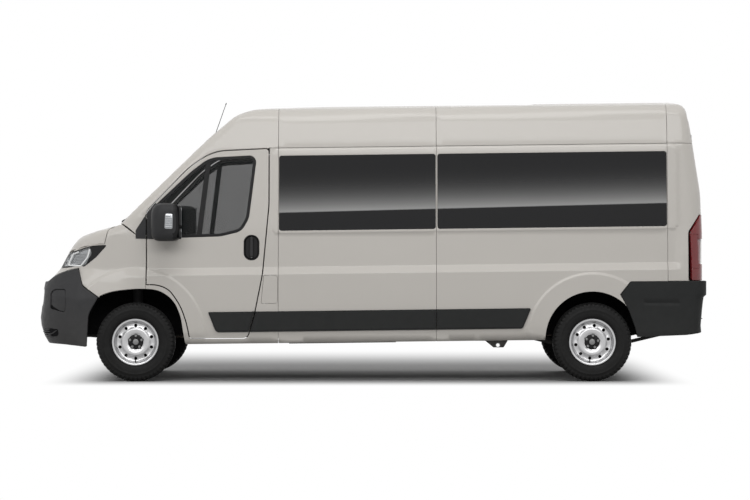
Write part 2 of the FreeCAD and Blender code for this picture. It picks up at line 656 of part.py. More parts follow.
def front_bumper():
    """Grey front bumper that wraps round to the front arches, with a lower intake."""
    band = upright(left_half(BUMPER_NOSE), 200, 1100)
    band = band.cut(upright(left_half(grown(BUMPER_NOSE, -BUMPER_WALL)), 100, 1200))
    narrowing = ((-1011, 200), (-1011, 745), (-918, 1010), (300, 1010), (300, 200))
    band = band.common(along(narrowing, -3100, -2300))
    skin = band.common(across(BUMPER_SIDE, -FAR, FAR)).common(box(-3100, -2300, -FAR, 0.001, 0, 2000))
    intake = box(-3100, -2780, -760, 1, 386, 466)
    intake = intake.fuse(from_front(grille_outline(GRILLES[1]), -3100, 300))
    fog = across(((-2790, 625, 25), (-2790, 800, 25), (-2668, 812, 25), (-2668, 605, 25)), -FAR, -700)
    shallow = upright(left_half(grown(BUMPER_NOSE, -22)), 100, 1200)
    skin = skin.cut(intake).cut(fog.cut(shallow))
    skin = largest(skin)
    save("front_bumper", joined([skin, mirrored(skin)]))


def rear_doors_space():
    """Both rear doors and their gap, as one block."""
    outline = ((-790, 552, 4), (790, 552, 4), (790, 2345, 110), (-790, 2345, 110))
    return face(outline, lambda p: V(2700, p.x, p.y)).extrude(V(400, 0, 0))


def rear_doors():
    """Two rear doors that meet at the middle, each with a window."""
    slab = across(SILHOUETTE, -FAR, FAR).cut(across(grown(SILHOUETTE, -52), -FAR, FAR))
    slab = slab.common(box(2700, 3000, -FAR, FAR, 0, 3000))
    outline = ((-784, 558, 4), (-5.5, 558, 4), (-5.5, 2337, 4), (-784, 2337, 104))
    door = slab.common(face(outline, lambda p: V(2700, p.x, p.y)).extrude(V(400, 0, 0)))
    window = ((-690, 1365, 50), (-95, 1365, 50), (-95, 2090, 50), (-690, 2090, 50))
    door = door.cut(face(grown(window, -14), lambda p: V(2700, p.x, p.y)).extrude(V(400, 0, 0)))
    layer = across(SILHOUETTE, -FAR, FAR).cut(across(grown(SILHOUETTE, -8), -FAR, FAR))
    hole = face(window, lambda p: V(2700, p.x, p.y)).extrude(V(400, 0, 0))
    door = door.cut(hole.common(layer))
    behind_skin = across(grown(SILHOUETTE, -22), -28, 1)
    door = largest(door.cut(behind_skin))
    thin = across(grown(SILHOUETTE, -2), -FAR, FAR).cut(across(grown(SILHOUETTE, -7), -FAR, FAR))
    glass = thin.common(face(grown(window, -TOUCH), lambda p: V(2700, p.x, p.y)).extrude(V(400, 0, 0)))
    glass = largest(glass)
    for side, turned in (("left", lambda s: s), ("right", mirrored)):
        save(side + "_rear_door", turned(door))
        save(side + "_rear_window", turned(glass))


def tail_lamps():
    """Tall lamps that wrap round the rear corners."""
    plan = upright(left_half(TAIL_PLAN), 0, 3000)
    inner = upright(left_half(grown(TAIL_PLAN, -68)), 0, 3000)
    band = plan.cut(inner).common(across(SILHOUETTE, -FAR, FAR))
    band = band.common(along(((-1010, 800), (-1010, 957), (-982, 1020), (-972, 1341), (-960, 1500),
                              (-818, 1500), (-818, 800)), 2600, TAIL_X))
    lamp = largest(band.common(across(TAIL_LAMP, -FAR, 0)))
    save("tail_lamps", Part.makeCompound([lamp, mirrored(lamp)]))


def rear_bumper():
    """Grey rear bumper: corner caps and a low centre bar with a step."""
    outer = upright(left_half(BUMPER_TAIL), 300, 1000)
    hollow = upright(left_half(grown(BUMPER_TAIL, -BUMPER_WALL)), 200, 1100)
    band = outer.cut(hollow).common(across(REAR_BUMPER, -FAR, FAR))
    doorway = box(2700, TAIL_X + 10, -800, 10, 548, 1100)
    band = band.cut(doorway).common(box(2205, 3100, -FAR, 0.001, 0, 2000))
    bar = largest(band)
    save("rear_bumper", joined([bar, mirrored(bar)]))


def mirrors():
    """Door mirrors: base on the door, arm and tall housing."""
    foot = ((-1938, 1275, 6), (-1938, 1480, 6), (-1876, 1560, 6), (-1850, 1560, 6), (-1850, 1275, 6))
    base = largest(across(foot, -FAR, 0).common(door_layer(-1, -20)))
    arms = [rod((-1885, y, z), (-1830, -1080, z), 22) for y, z in ((-973, 1325), (-959, 1470))]
    shell = ((-1905, 1262, 40), (-1898, 1520, 60), (-1800, 1572, 60), (-1640, 1555, 90), (-1632, 1300, 70),
             (-1690, 1240, 50), (-1860, 1240, 40))
    housing = across(shell, -1250, -1035)
    cheek = upright(((-1960, -1000, 0), (-1590, -1000, 0), (-1590, -1255, 60), (-1800, -1262, 90),
                     (-1915, -1200, 70)), 1100, 1700)
    housing = housing.common(cheek)
    mirror = joined([base] + arms + [housing])
    save("left_mirror", mirror)
    save("right_mirror", mirrored(mirror))


# ---- floor, frame and running gear ---------------------------------------------
def jack_brackets():
    """Pressed brackets under the sills, each with a round hole for the jack's peg."""
    outline = (
        (1111, 298, 10), (1202, 298, 10), (1240, 362, 4), (1240, 372, 0), (1035, 372, 0), (1035, 362, 4))
    plate = across(outline, -938, -930)
    plate = plate.cut(rod((JACK_HOLE_X, -FAR, JACK_HOLE_Z), (JACK_HOLE_X, 0, JACK_HOLE_Z), JACK_HOLE_R))
    flange = box(1050, 1225, -938, -905, 352.5, 356)
    bracket = plate.cut(box(1000, 1300, -FAR, 0, 356, 400)).fuse(flange).removeSplitter()
    save("jack_brackets", Part.makeCompound([bracket, mirrored(bracket)]))


def floor_pan():
    """Floor of cab and load space, with the firewall that closes the cab's front."""
    low, high = 500, FLOOR_LEVEL
    rear = along(((-884.5, low), (884.5, low), (884.5, high), (-884.5, high)), DOOR_REAR_X, 2780)
    front = along(((-868, low), (868, low), (868, high), (-868, high)), -1900, DOOR_REAR_X)
    firewall = along(((-840, low), (840, low), (840, 1310), (-840, 1310)), -1960, -1900)
    shelf = along(((-840, 1270), (840, 1270), (840, 1310), (-840, 1310)), -2240, -1950)
    pan = joined([rear, front, firewall, shelf])
    for x, z, radius, y0, y1 in HOUSINGS:
        for side in (-1, 1):
            reach = sorted((side * (y0 - TOUCH), side * (FAR if x > 0 else y1 + 60)))
            pan = pan.cut(wheelhouse(x, z, radius + HOUSING_WALL + TOUCH, *reach))
    save("floor_pan", largest(pan))


def wheel_housings():
    """The four pressed housings that close the floor over the wheels."""
    solids = []
    for x, z, radius, y0, y1 in HOUSINGS:
        for side in (-1, 1):
            outer = wheelhouse(x, z, radius + HOUSING_WALL, *sorted((side * y0, side * y1)))
            hollow = wheelhouse(x, z, radius, *sorted((side * (y0 + HOUSING_WALL), side * (y1 + 20))))
            arch = outer.cut(hollow).common(box(-2640, 3000, -FAR, FAR, 400, 1000))
            solids.append(largest(arch))
    save("wheel_housings", Part.makeCompound(solids))


def chassis_rails():
    """Two long rails with cross members under the floor."""
    pieces = []
    for side in (-1, 1):
        low, high = sorted((side * 420, side * 500))
        pieces.append(along(((low, 405), (high, 405), (high, 499.5), (low, 499.5)), -2650, 2880))
    for x in (-2560, -1350, -300, 900, 1500, 2500):
        pieces.append(along(((-430, 425), (430, 425), (430, 480), (-430, 480)), x, x + 80))
    save("chassis_rails", joined(pieces))


def front_suspension():
    """Subframe, lower arms with their ball joints, and upright spring struts."""
    frame = box(-2200, -1900, -400, 400, 235, 290)
    pieces = [frame.fuse(box(-2180, -1920, -380, 380, 285, 380).cut(box(-2140, -1960, -500, 500, 285, 500)))]
    for side in (-1, 1):
        arm = (
            (-2190, side * 380), (-1910, side * 380), (-2024, side * KINGPIN_Y, 0),
            (-2078, side * KINGPIN_Y, 0))
        pieces.append(face(arm, lambda p: V(p.x, p.y, 190)).extrude(V(0, 0, 20)))
        pieces.append(box(-2190, -1910, *sorted((side * 380, side * 400)), 190, 236))
        pieces.append(rod((FRONT_AXLE_X, side * KINGPIN_Y, 190), (FRONT_AXLE_X, side * KINGPIN_Y, 232), 14))
        for z0, z1, radius in ((190, 540, 26), (480, 866, 44)):
            pieces.append(rod((FRONT_AXLE_X, side * STRUT_Y, z0), (FRONT_AXLE_X, side * STRUT_Y, z1), radius))
    save("front_suspension", joined(pieces))


def knuckles():
    """Hub carriers that turn on an upright axis and hold the front wheels."""
    for side, name in ((-1, "left"), (1, "right")):
        body = rod((FRONT_AXLE_X, side * KINGPIN_Y, 240), (FRONT_AXLE_X, side * KINGPIN_Y, 470), 26)
        hub = rod((FRONT_AXLE_X, side * 775, TYRE_R), (FRONT_AXLE_X, side * 845, TYRE_R), 58)
        disc = rod((FRONT_AXLE_X, side * 852, TYRE_R), (FRONT_AXLE_X, side * 876, TYRE_R), 130)
        stub = rod((FRONT_AXLE_X, side * 800, TYRE_R), (FRONT_AXLE_X, side * 936.5, TYRE_R), 30)
        save("front_%s_knuckle" % name, joined([body, hub, disc, stub]))


def wheel_section(rows, track, side):
    """Turn a radius table about the axle, at the track."""
    points = [V(0, side * (track + row[1]), row[2]) for row in rows]
    wire = Part.makePolygon(points + [points[0]])
    return Part.Face(wire).revolve(V(0, 0, 0), V(0, 1, 0), 360)


def wheels():
    """Four road wheels: tyre and pressed steel rim with ten vent holes."""
    for name, x, track, side in WHEELS:
        hub = V(x, 0, TYRE_R)
        tyre = wheel_section(TYRE_SECTION, track, side)
        rim = wheel_section(RIM_SECTION, track, side)
        for i in range(VENTS):
            angle = math.radians(360 / VENTS * i + 90)
            spot = (VENT_CIRCLE_R * math.cos(angle), side * track, VENT_CIRCLE_R * math.sin(angle))
            rim = rim.cut(rod(spot, (spot[0], side * (track + 100), spot[2]), VENT_R))
        rim = joined([rim, rod((0, side * (track + 32), 0), (0, side * (track + 66), 0), 66)])
        tyre.translate(hub)
        rim.translate(hub)
        save(name + "_tyre", tyre)
        save(name + "_rim", rim)


def rear_axle():
    """Beam axle with brake drums and the pads that sit on the springs."""
    z = TYRE_R
    pieces = [rod((REAR_AXLE_X, -760, z), (REAR_AXLE_X, 760, z), 42)]
    for side in (-1, 1):
        pieces.append(rod((REAR_AXLE_X, side * 755, z), (REAR_AXLE_X, side * 850, z), 140))
        pieces.append(rod((REAR_AXLE_X, side * 850, z), (REAR_AXLE_X, side * 926.5, z), 30))
        pad = box(REAR_AXLE_X - 60, REAR_AXLE_X + 60, *sorted((side * 520, side * 600)), 296, TYRE_R)
        pieces.append(pad.cut(across(grown(LEAF, TOUCH), -FAR, FAR)))
    save("rear_axle", joined(pieces))


def rear_springs():
    """Long leaf springs that carry the axle, with front hangers and rear shackles."""
    springs = []
    for side in (-1, 1):
        low, high = sorted((side * 525, side * 595))
        blade = across(LEAF, low, high)
        hanger = box(1370, 1430, low, high, 372, 515)
        shackle = box(2610, 2660, low, high, 392, 528)
        springs.append(joined([blade, hanger, shackle]))
    save("rear_springs", Part.makeCompound(springs))


def underbody():
    """Engine block, fuel tank and exhaust."""
    save("engine", box(-2640, -2240, -380, 340, 505, 1010))
    tank = along(((-830, 336, 30), (-520, 336, 30), (-520, 495, 10), (-830, 495, 10)), -700, 250)
    save("fuel_tank", tank)
    route = (((-1850, 200, 370), (-872, 303, 371), 25), ((-900, 300, 371), (340, 300, 371), 31),
             ((300, 300, 366), (1150, 300, 366), 55), ((1110, 300, 370), (1700, 300, 385), 27))
    save("exhaust", joined([rod(*run) for run in route]))


# ---- cab ----------------------------------------------------------------------
def dashboard():
    """Dashboard across the cab, under the windscreen."""
    section = ((-1890, 800, 30), (-1890, 1270, 10), (-1780, 1262, 60), (-1690, 1180, 60), (-1720, 960, 60),
               (-1800, 800, 30))
    body = across(section, -850, 850)
    for side in (-1, 1):
        x, z, radius, y0 = HOUSINGS[0][:4]
        reach = sorted((side * (y0 - 2), side * FAR))
        body = body.cut(wheelhouse(x, z, radius + HOUSING_WALL + 2, *reach))
    save("dashboard", largest(body))


def steering_wheel():
    """Steering wheel with its three spokes and short column."""
    axis = V(math.cos(STEERING_TILT), 0, math.sin(STEERING_TILT))
    hub = V(*STEERING_HUB)
    ring = Part.makeTorus(188, 15, hub, axis)
    boss = Part.makeCylinder(48, 40, hub - axis * 38, axis)
    column = Part.makeCylinder(24, 110, hub - axis * 140, axis)
    up = V(-math.sin(STEERING_TILT), 0, math.cos(STEERING_TILT))
    cross = V(0, 1, 0)
    spokes = []
    for turn in (180, 300, 60):
        way = up * math.cos(math.radians(turn)) + cross * math.sin(math.radians(turn))
        spokes.append(Part.makeCylinder(11, 175, hub - axis * 15 + way * 20, way))
    save("steering_wheel", joined([ring, boss, column] + spokes))


def seats():
    """Driver's seat and double passenger seat, as simple padded blocks on boxes."""
    for name, middle, width in SEATS:
        low = middle - width / 2
        high = middle + width / 2
        base = box(-1450, -1010, low + 40, high - 40, 530, 800)
        cushion = across(((-1480, 800, 40), (-1490, 935, 60), (-1000, 905, 40), (-1000, 795, 20)), low, high)
        back = across(((-1085, 880, 30), (-985, 1480, 60), (-890, 1470, 60), (-950, 850, 40)), low, high)
        heads = [middle] if width < 600 else [middle - 220, middle + 220]
        rests = [across(((-985, 1470, 10), (-965, 1650, 50), (-885, 1650, 40), (-895, 1460, 10)),
                        y - 130, y + 130) for y in heads]
        save(name, joined([base, cushion, back] + rests))


def small_parts():
    """Antenna on the front roof and the pair of wipers."""
    foot = V(-1421, 0, 2160)
    mast = (math.sin(ANTENNA_LEAN), 0, math.cos(ANTENNA_LEAN))
    tip = foot + V(*mast) * 365
    foot_cone = rod(tuple(foot - V(*mast) * 20), tuple(foot + V(*mast) * 28), 11)
    antenna = joined([rod(tuple(foot), tuple(tip), 6), foot_cone])
    roof_skin = cab_half(-TOUCH, -TOUCH, -TOUCH)
    save("antenna", largest(antenna.cut(roof_skin).cut(mirrored(roof_skin))))
    arms = []
    for y0, y1 in ((-560, -40), (60, 580)):
        arms.append(joined([
            rod((-2196, y0, 1400), (-2196, y0, 1425), 14),
            rod((-2196, y0, 1420), (-2120, y1 - 60, 1482), 7),
            rod((-2126, y0 + 150, 1474), (-2110, y1 + 120, 1488), 6)]))
    save("wipers", Part.makeCompound(arms))


side_panels()
sliding_door()
side_windows()
fuel_flap()
roof()
cab_frame()
windscreen()
front_doors()
side_mouldings()
wings()
bonnet()
cowl_panel()
headlamps()
front_panel()
grille()
front_bumper()
rear_doors()
tail_lamps()
rear_bumper()
mirrors()
floor_pan()
wheel_housings()
jack_brackets()
chassis_rails()
front_suspension()
knuckles()
wheels()
rear_axle()
rear_springs()
underbody()
dashboard()
steering_wheel()
seats()
small_parts()
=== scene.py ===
"""Window van: the visible pieces of a long, medium-high van with glazed sides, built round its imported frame.

Sizes in the tables are millimetres, as on a body drawing; meshes are in metres. The van faces -X, its left
(driver's) side is -Y, and it stands on z = 0. "Level" is a height on the raked body, as it is at x = 0.
"""

import enum
import json
import logging
import math
from dataclasses import dataclass, field
from typing import Callable, Iterable, Optional, Sequence

import bpy
import numpy as np
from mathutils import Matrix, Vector
from mathutils.geometry import delaunay_2d_cdt

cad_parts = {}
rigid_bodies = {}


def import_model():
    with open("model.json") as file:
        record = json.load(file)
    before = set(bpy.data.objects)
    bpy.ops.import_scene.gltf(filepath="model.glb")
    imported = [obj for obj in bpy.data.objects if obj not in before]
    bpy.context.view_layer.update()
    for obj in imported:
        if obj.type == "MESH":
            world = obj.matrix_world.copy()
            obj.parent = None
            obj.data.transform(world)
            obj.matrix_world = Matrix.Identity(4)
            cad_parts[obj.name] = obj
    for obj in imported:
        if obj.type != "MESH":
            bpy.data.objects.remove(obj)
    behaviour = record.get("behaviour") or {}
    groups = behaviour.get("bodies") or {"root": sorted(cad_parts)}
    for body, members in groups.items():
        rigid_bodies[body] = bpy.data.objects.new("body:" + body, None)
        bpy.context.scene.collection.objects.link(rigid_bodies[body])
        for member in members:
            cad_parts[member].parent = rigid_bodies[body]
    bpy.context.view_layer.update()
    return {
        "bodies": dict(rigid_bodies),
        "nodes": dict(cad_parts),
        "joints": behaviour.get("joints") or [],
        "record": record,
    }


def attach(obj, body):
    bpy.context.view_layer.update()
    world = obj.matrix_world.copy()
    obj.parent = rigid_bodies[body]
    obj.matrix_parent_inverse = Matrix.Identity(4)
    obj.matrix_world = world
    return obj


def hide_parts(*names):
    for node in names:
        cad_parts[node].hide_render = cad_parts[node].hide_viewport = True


LOG = logging.getLogger("window_van")
MM = 0.001
RAKE = 0.0122
VAN = "van_body"

Array = np.ndarray
Corner = tuple[float, ...]
Outline = Sequence[Corner]


class Side(enum.Enum):
    """The two sides of the van, by the sign of y."""

    LEFT = -1
    RIGHT = 1

    @property
    def word(self) -> str:
        """The side's name, as body and node names spell it."""
        return self.name.lower()


class View(enum.Enum):
    """The two coordinates that a drawing view shows, by index."""

    SIDE = (0, 2)
    FRONT = (1, 2)
    TOP = (0, 1)


# ---- outlines ----------------------------------------------------------------------------------
def rounded(corners: Outline, chord: float = 6.0, closed: bool = True) -> Array:
    """Turns corners with radii into a polyline.

    Args:
        corners: Points (a, b) or (a, b, radius).
        chord: Longest step along a round corner.
        closed: Whether the last point joins the first.

    Returns:
        An (n, 2) array of points.
    """
    count = len(corners)
    line: list[Array] = []
    for i, corner in enumerate(corners):
        here = np.array(corner[:2], float)
        radius = corner[2] if len(corner) > 2 else 0.0
        if radius <= 0 or (not closed and i in (0, count - 1)):
            line.append(here)
            continue
        back = np.array(corners[i - 1][:2], float) - here
        ahead = np.array(corners[(i + 1) % count][:2], float) - here
        len_back, len_ahead = np.linalg.norm(back), np.linalg.norm(ahead)
        back, ahead = back / len_back, ahead / len_ahead
        half = math.acos(max(-1.0, min(1.0, float(back @ ahead)))) / 2
        if half > 1.565:
            line.append(here)
            continue
        reach = min(radius / math.tan(half), 0.48 * min(len_back, len_ahead))
        radius = reach * math.tan(half)
        start = here + back * reach
        centre = here + (back + ahead) / np.linalg.norm(back + ahead) * radius / math.sin(half)
        sweep = math.pi - 2 * half
        steps = max(2, int(radius * sweep / chord))
        first = start - centre
        side = 1.0 if back[0] * ahead[1] - back[1] * ahead[0] < 0 else -1.0
        for k in range(steps + 1):
            a = side * sweep * k / steps
            turn = np.array([[math.cos(a), -math.sin(a)], [math.sin(a), math.cos(a)]])
            line.append(centre + turn @ first)
    return np.array(line)


def stepped(line: Array, pitch: float, closed: bool = True) -> Array:
    """Adds points to a polyline so that no step is longer than the pitch.

    Args:
        line: The (n, 2) or (n, 3) points.
        pitch: The longest step.
        closed: Whether the last point joins the first.

    Returns:
        The polyline with its added points.
    """
    ends = np.roll(line, -1, axis=0) if closed else line[1:]
    points = []
    for start, end in zip(line, ends):
        count = max(1, int(math.ceil(np.linalg.norm(end - start) / pitch)))
        points += [start + (end - start) * k / count for k in range(count)]
    if not closed:
        points.append(line[-1])
    return np.array(points)


def resampled(line: Array, count: int) -> Array:
    """Spreads points evenly along an open polyline.

    Args:
        line: The polyline.
        count: How many points to make.

    Returns:
        The (count, k) points.
    """
    far = np.concatenate([[0.0], np.cumsum(np.linalg.norm(np.diff(line, axis=0), axis=1))])
    spots = np.linspace(0.0, far[-1], count)
    return np.stack([np.interp(spots, far, line[:, k]) for k in range(line.shape[1])], axis=1)


def area_of(loop: Array) -> float:
    """Signed area of a closed polyline."""
    ahead = np.roll(loop, -1, axis=0)
    return float(np.sum(loop[:, 0] * ahead[:, 1] - ahead[:, 0] * loop[:, 1]) / 2)


def anticlockwise(loop: Array) -> Array:
    """A closed polyline, turned round if it runs clockwise."""
    return loop if area_of(loop) > 0 else loop[::-1]


def box(x0: float, z0: float, x1: float, z1: float, *radii: float) -> Outline:
    """Lists a rectangle's corners, anticlockwise from the low one.

    Args:
        x0: Its low side in the first coordinate.
        z0: Its low side in the second.
        x1: Its high side in the first.
        z1: Its high side in the second.
        radii: One radius for all corners, one for each, or none.

    Returns:
        The four corners.
    """
    spots = ((x0, z0), (x1, z0), (x1, z1), (x0, z1))
    rounds = radii * 4 if len(radii) == 1 else radii
    return tuple(spot + (radius,) for spot, radius in zip(spots, rounds)) if rounds else spots


def patch(x0: float, z0: float, x1: float, z1: float, pitch: float = 40.0) -> Array:
    """A plain rectangle as a stepped loop."""
    return stepped(np.array(box(x0, z0, x1, z1), float), pitch)


def outward(loop: Array) -> Array:
    """Finds which way a closed polyline's outside lies.

    Args:
        loop: The polyline.

    Returns:
        Unit vectors that point out of it at its points, longer at sharp corners.
    """
    before = loop - np.roll(loop, 1, axis=0)
    after = np.roll(loop, -1, axis=0) - loop
    before /= np.maximum(np.linalg.norm(before, axis=1, keepdims=True), 1e-9)
    after /= np.maximum(np.linalg.norm(after, axis=1, keepdims=True), 1e-9)
    turn = 1.0 if area_of(loop) > 0 else -1.0
    mean = before + after
    normal = np.stack([mean[:, 1], -mean[:, 0]], axis=1) * turn
    normal /= np.maximum(np.linalg.norm(normal, axis=1, keepdims=True), 1e-9)
    edge = np.stack([after[:, 1], -after[:, 0]], axis=1) * turn
    stretch = np.clip(np.sum(normal * edge, axis=1), 0.6, 1.0)
    return normal / stretch[:, None]


def grown(loop: Array, by: float) -> Array:
    """A closed polyline moved outward by a distance, inward when negative."""
    return loop + outward(loop) * by


def inside(points: Array, loops: Iterable[Array]) -> Array:
    """Tells which points lie inside an odd number of closed polylines.

    Args:
        points: (n, 2) points.
        loops: The polylines.

    Returns:
        A truth value for each point.
    """
    result = np.zeros(len(points), bool)
    px, py = points[:, 0][:, None], points[:, 1][:, None]
    for loop in loops:
        a, b = loop, np.roll(loop, -1, axis=0)
        rise = b[:, 1] - a[:, 1]
        rise[rise == 0] = 1e-12
        crosses = (a[:, 1] > py) != (b[:, 1] > py)
        where = (b[:, 0] - a[:, 0]) * (py - a[:, 1]) / rise + a[:, 0]
        result ^= (np.sum(crosses & (px < where), axis=1) % 2).astype(bool)
    return result


def triangulated(loops: Sequence[Array], pitch: float, rows: Sequence[Array] = ()) -> tuple[Array, Array]:
    """Fills an outline with holes.

    Args:
        loops: Closed polylines, the outer one first.
        pitch: Spacing of the points inside.
        rows: Open polylines that the triangles' edges follow.

    Returns:
        Points (n, 2) and triangles (m, 3), anticlockwise.
    """
    points: list[Array] = []
    edges: list[tuple[int, int]] = []
    for loop in loops:
        start, size = len(points), len(loop)
        points += list(loop)
        edges += [(start + k, start + (k + 1) % size) for k in range(size)]
    for row in rows:
        start = len(points)
        points += list(row)
        edges += [(start + k, start + k + 1) for k in range(len(row) - 1)]
    low, high = loops[0].min(axis=0), loops[0].max(axis=0)
    xs = np.arange(low[0] + pitch / 2, high[0], pitch)
    ys = np.arange(low[1] + pitch / 2, high[1], pitch * 0.87)
    grid = np.array([(x + (pitch / 2 if j % 2 else 0), y) for j, y in enumerate(ys) for x in xs])
    if len(grid):
        grid = grid[inside(grid, loops)]
    fixed = np.array(points)
    if len(grid):
        near = np.array([np.min(np.sum((fixed - g) ** 2, axis=1)) for g in grid])
        points += list(grid[near > (0.5 * pitch) ** 2])
    made = delaunay_2d_cdt([Vector(p) for p in points], edges, [], 0, 1e-5)
    flat = np.array([v[:] for v in made[0]])
    faces = np.array([f for f in made[2] if len(f) == 3])
    faces = faces[inside(flat[faces].mean(axis=1), loops)]
    used, faces = np.unique(faces, return_inverse=True)
    flat, faces = flat[used], faces.reshape(-1, 3)
    twice = faced_up(flat, faces)
    return flat, faces[np.abs(twice) > 1e-6]


def faced_up(flat: Array, faces: Array) -> Array:
    """Turns flat triangles anticlockwise, in place.

    Args:
        flat: (n, 2) points.
        faces: (m, 3) triangles between them.

    Returns:
        Twice each triangle's signed area, as it was before.
    """
    a, b, c = flat[faces[:, 0]], flat[faces[:, 1]], flat[faces[:, 2]]
    twice = (b[:, 0] - a[:, 0]) * (c[:, 1] - a[:, 1]) - (b[:, 1] - a[:, 1]) * (c[:, 0] - a[:, 0])
    faces[twice < 0] = faces[twice < 0][:, ::-1]
    return twice


def border_loops(faces: Array) -> list[list[int]]:
    """Chains the open edges of a triangle mesh.

    Args:
        faces: (n, 3) triangles.

    Returns:
        The closed loops of point numbers.
    """
    seen = {(int(a), int(b)) for f in faces for a, b in ((f[0], f[1]), (f[1], f[2]), (f[2], f[0]))}
    ahead: dict[int, list[int]] = {}
    for a, b in sorted(seen):
        if (b, a) not in seen:
            ahead.setdefault(a, []).append(b)
    loops = []
    while ahead:
        start = here = next(iter(ahead))
        loop = []
        while here in ahead:
            loop.append(here)
            following = ahead[here].pop()
            if not ahead[here]:
                del ahead[here]
            here = following
        if here == start and len(loop) > 2:
            loops.append(loop)
    return loops


def quads(rows: int, size: int, closed: bool = True) -> list[list[int]]:
    """Lists the faces between rows of points.

    Args:
        rows: How many rows there are.
        size: How many points each row has.
        closed: Whether each row's last point joins its first.

    Returns:
        Faces of four point numbers.
    """
    return [[i * size + j, i * size + (j + 1) % size, (i + 1) * size + (j + 1) % size, (i + 1) * size + j]
            for i in range(rows - 1) for j in range(size if closed else size - 1)]


def capped(rows: int, size: int) -> list[list[int]]:
    """The faces of a closed stack of rings: its sides and both ends."""
    return quads(rows, size) + [list(range(size))[::-1], [(rows - 1) * size + j for j in range(size)]]


# ---- meshes ------------------------------------------------------------------------------------
@dataclass
class Shape:
    """Points in millimetres with faces, and a shading direction for each point, zero where Blender finds it."""

    points: Array = field(default_factory=lambda: np.zeros((0, 3)))
    faces: list = field(default_factory=list)
    normals: Array = field(default_factory=lambda: np.zeros((0, 3)))

    def add(self, points: Array, faces: Iterable[Sequence[int]], normals: Optional[Array] = None) -> "Shape":
        """Adds points and the faces between them.

        Args:
            points: (n, 3) points.
            faces: Point numbers of each face, counted from the first new point.
            normals: Shading directions at the points.

        Returns:
            This shape.
        """
        points = np.asarray(points, float).reshape(-1, 3)
        start = len(self.points)
        self.points = np.vstack([self.points, points])
        self.normals = np.vstack([self.normals, np.zeros_like(points) if normals is None else normals])
        self.faces += [[int(i) + start for i in face] for face in faces]
        return self

    def join(self, other: "Shape") -> "Shape":
        """Adds another shape's mesh to this one."""
        return self.add(other.points, other.faces, other.normals)

    def chosen(self, test: Callable[[Array], bool]) -> "Shape":
        """Picks faces by their middle.

        Args:
            test: Whether a face with a given middle stays.

        Returns:
            The chosen faces with their points alone.
        """
        faces = [face for face in self.faces if test(self.points[face].mean(axis=0))]
        used, places = np.unique(np.concatenate(faces), return_inverse=True)
        ends = np.cumsum([len(face) for face in faces])[:-1]
        return Shape(self.points[used], [part.tolist() for part in np.split(places, ends)], self.normals[used])

    def mirrored(self) -> "Shape":
        """The same shape on the van's other side."""
        flip = np.array([1.0, -1.0, 1.0])
        return Shape(self.points * flip, [face[::-1] for face in self.faces], self.normals * flip)

    def moved(self, offset: Sequence[float]) -> "Shape":
        """The same shape moved by an offset."""
        return Shape(self.points + np.array(offset, float), list(self.faces), self.normals.copy())

    def turned(self, axis: str, degrees: float) -> "Shape":
        """Turns the shape about an axis through the origin.

        Args:
            axis: x, y or z.
            degrees: How far, by the right-hand rule.

        Returns:
            The turned shape.
        """
        a = math.radians(degrees)
        i, j = {"x": (1, 2), "y": (2, 0), "z": (0, 1)}[axis]
        turn = np.eye(3)
        turn[i, i] = turn[j, j] = math.cos(a)
        turn[i, j], turn[j, i] = -math.sin(a), math.sin(a)
        return Shape(self.points @ turn.T, list(self.faces), self.normals @ turn.T)

    def built(self, name: str, sharp: float = 35.0) -> bpy.types.Object:
        """Makes the Blender object.

        Args:
            name: The piece's name.
            sharp: Edges that turn by more than this many degrees are sharp.

        Returns:
            The new object, linked to the scene.
        """
        mesh = bpy.data.meshes.new(name)
        mesh.from_pydata((self.points * MM).tolist(), [], self.faces)
        mesh.validate(clean_customdata=False)
        mesh.polygons.foreach_set("use_smooth", [True] * len(mesh.polygons))
        mesh.set_sharp_from_angle(angle=math.radians(sharp))
        if np.any(self.normals) and len(mesh.vertices) == len(self.normals):
            mesh.normals_split_custom_set_from_vertices(self.normals.tolist())
        mesh.update()
        made = bpy.data.objects.new(name, mesh)
        bpy.context.scene.collection.objects.link(made)
        return made


def unit(vectors: Array) -> Array:
    """Rows scaled to length one."""
    return vectors / np.maximum(np.linalg.norm(vectors, axis=-1, keepdims=True), 1e-12)


def located(skin: "RaySkin", targets: Array, view: View, guess: Array) -> Array:
    """Finds where on a skin some points of a drawing view lie.

    Args:
        skin: The surface.
        targets: (n, 2) coordinates in the view.
        view: Which two coordinates the targets give.
        guess: (n, 2) first guesses on the skin.

    Returns:
        The (n, 2) skin coordinates.
    """
    spot = np.array(guess, float)
    axes = list(view.value)
    for _ in range(14):
        here = skin(spot)[:, axes]
        along_u = (skin(spot + [2.0, 0.0])[:, axes] - here) / 2.0
        along_v = (skin(spot + [0.0, 2.0])[:, axes] - here) / 2.0
        det = along_u[:, 0] * along_v[:, 1] - along_u[:, 1] * along_v[:, 0]
        det = np.where(np.abs(det) < 0.02, np.where(det < 0, -0.02, 0.02), det)
        miss = targets - here
        su = (miss[:, 0] * along_v[:, 1] - miss[:, 1] * along_v[:, 0]) / det
        sv = (along_u[:, 0] * miss[:, 1] - along_u[:, 1] * miss[:, 0]) / det
        spot += np.clip(np.stack([su, sv], axis=1), -120.0, 120.0)
    return spot


@dataclass(frozen=True)
class Rim:
    """How a pressed panel's border is finished: its rounding, how deep it turns in, and its back."""

    radius: float = 3.0
    depth: float = 22.0
    back: bool = True


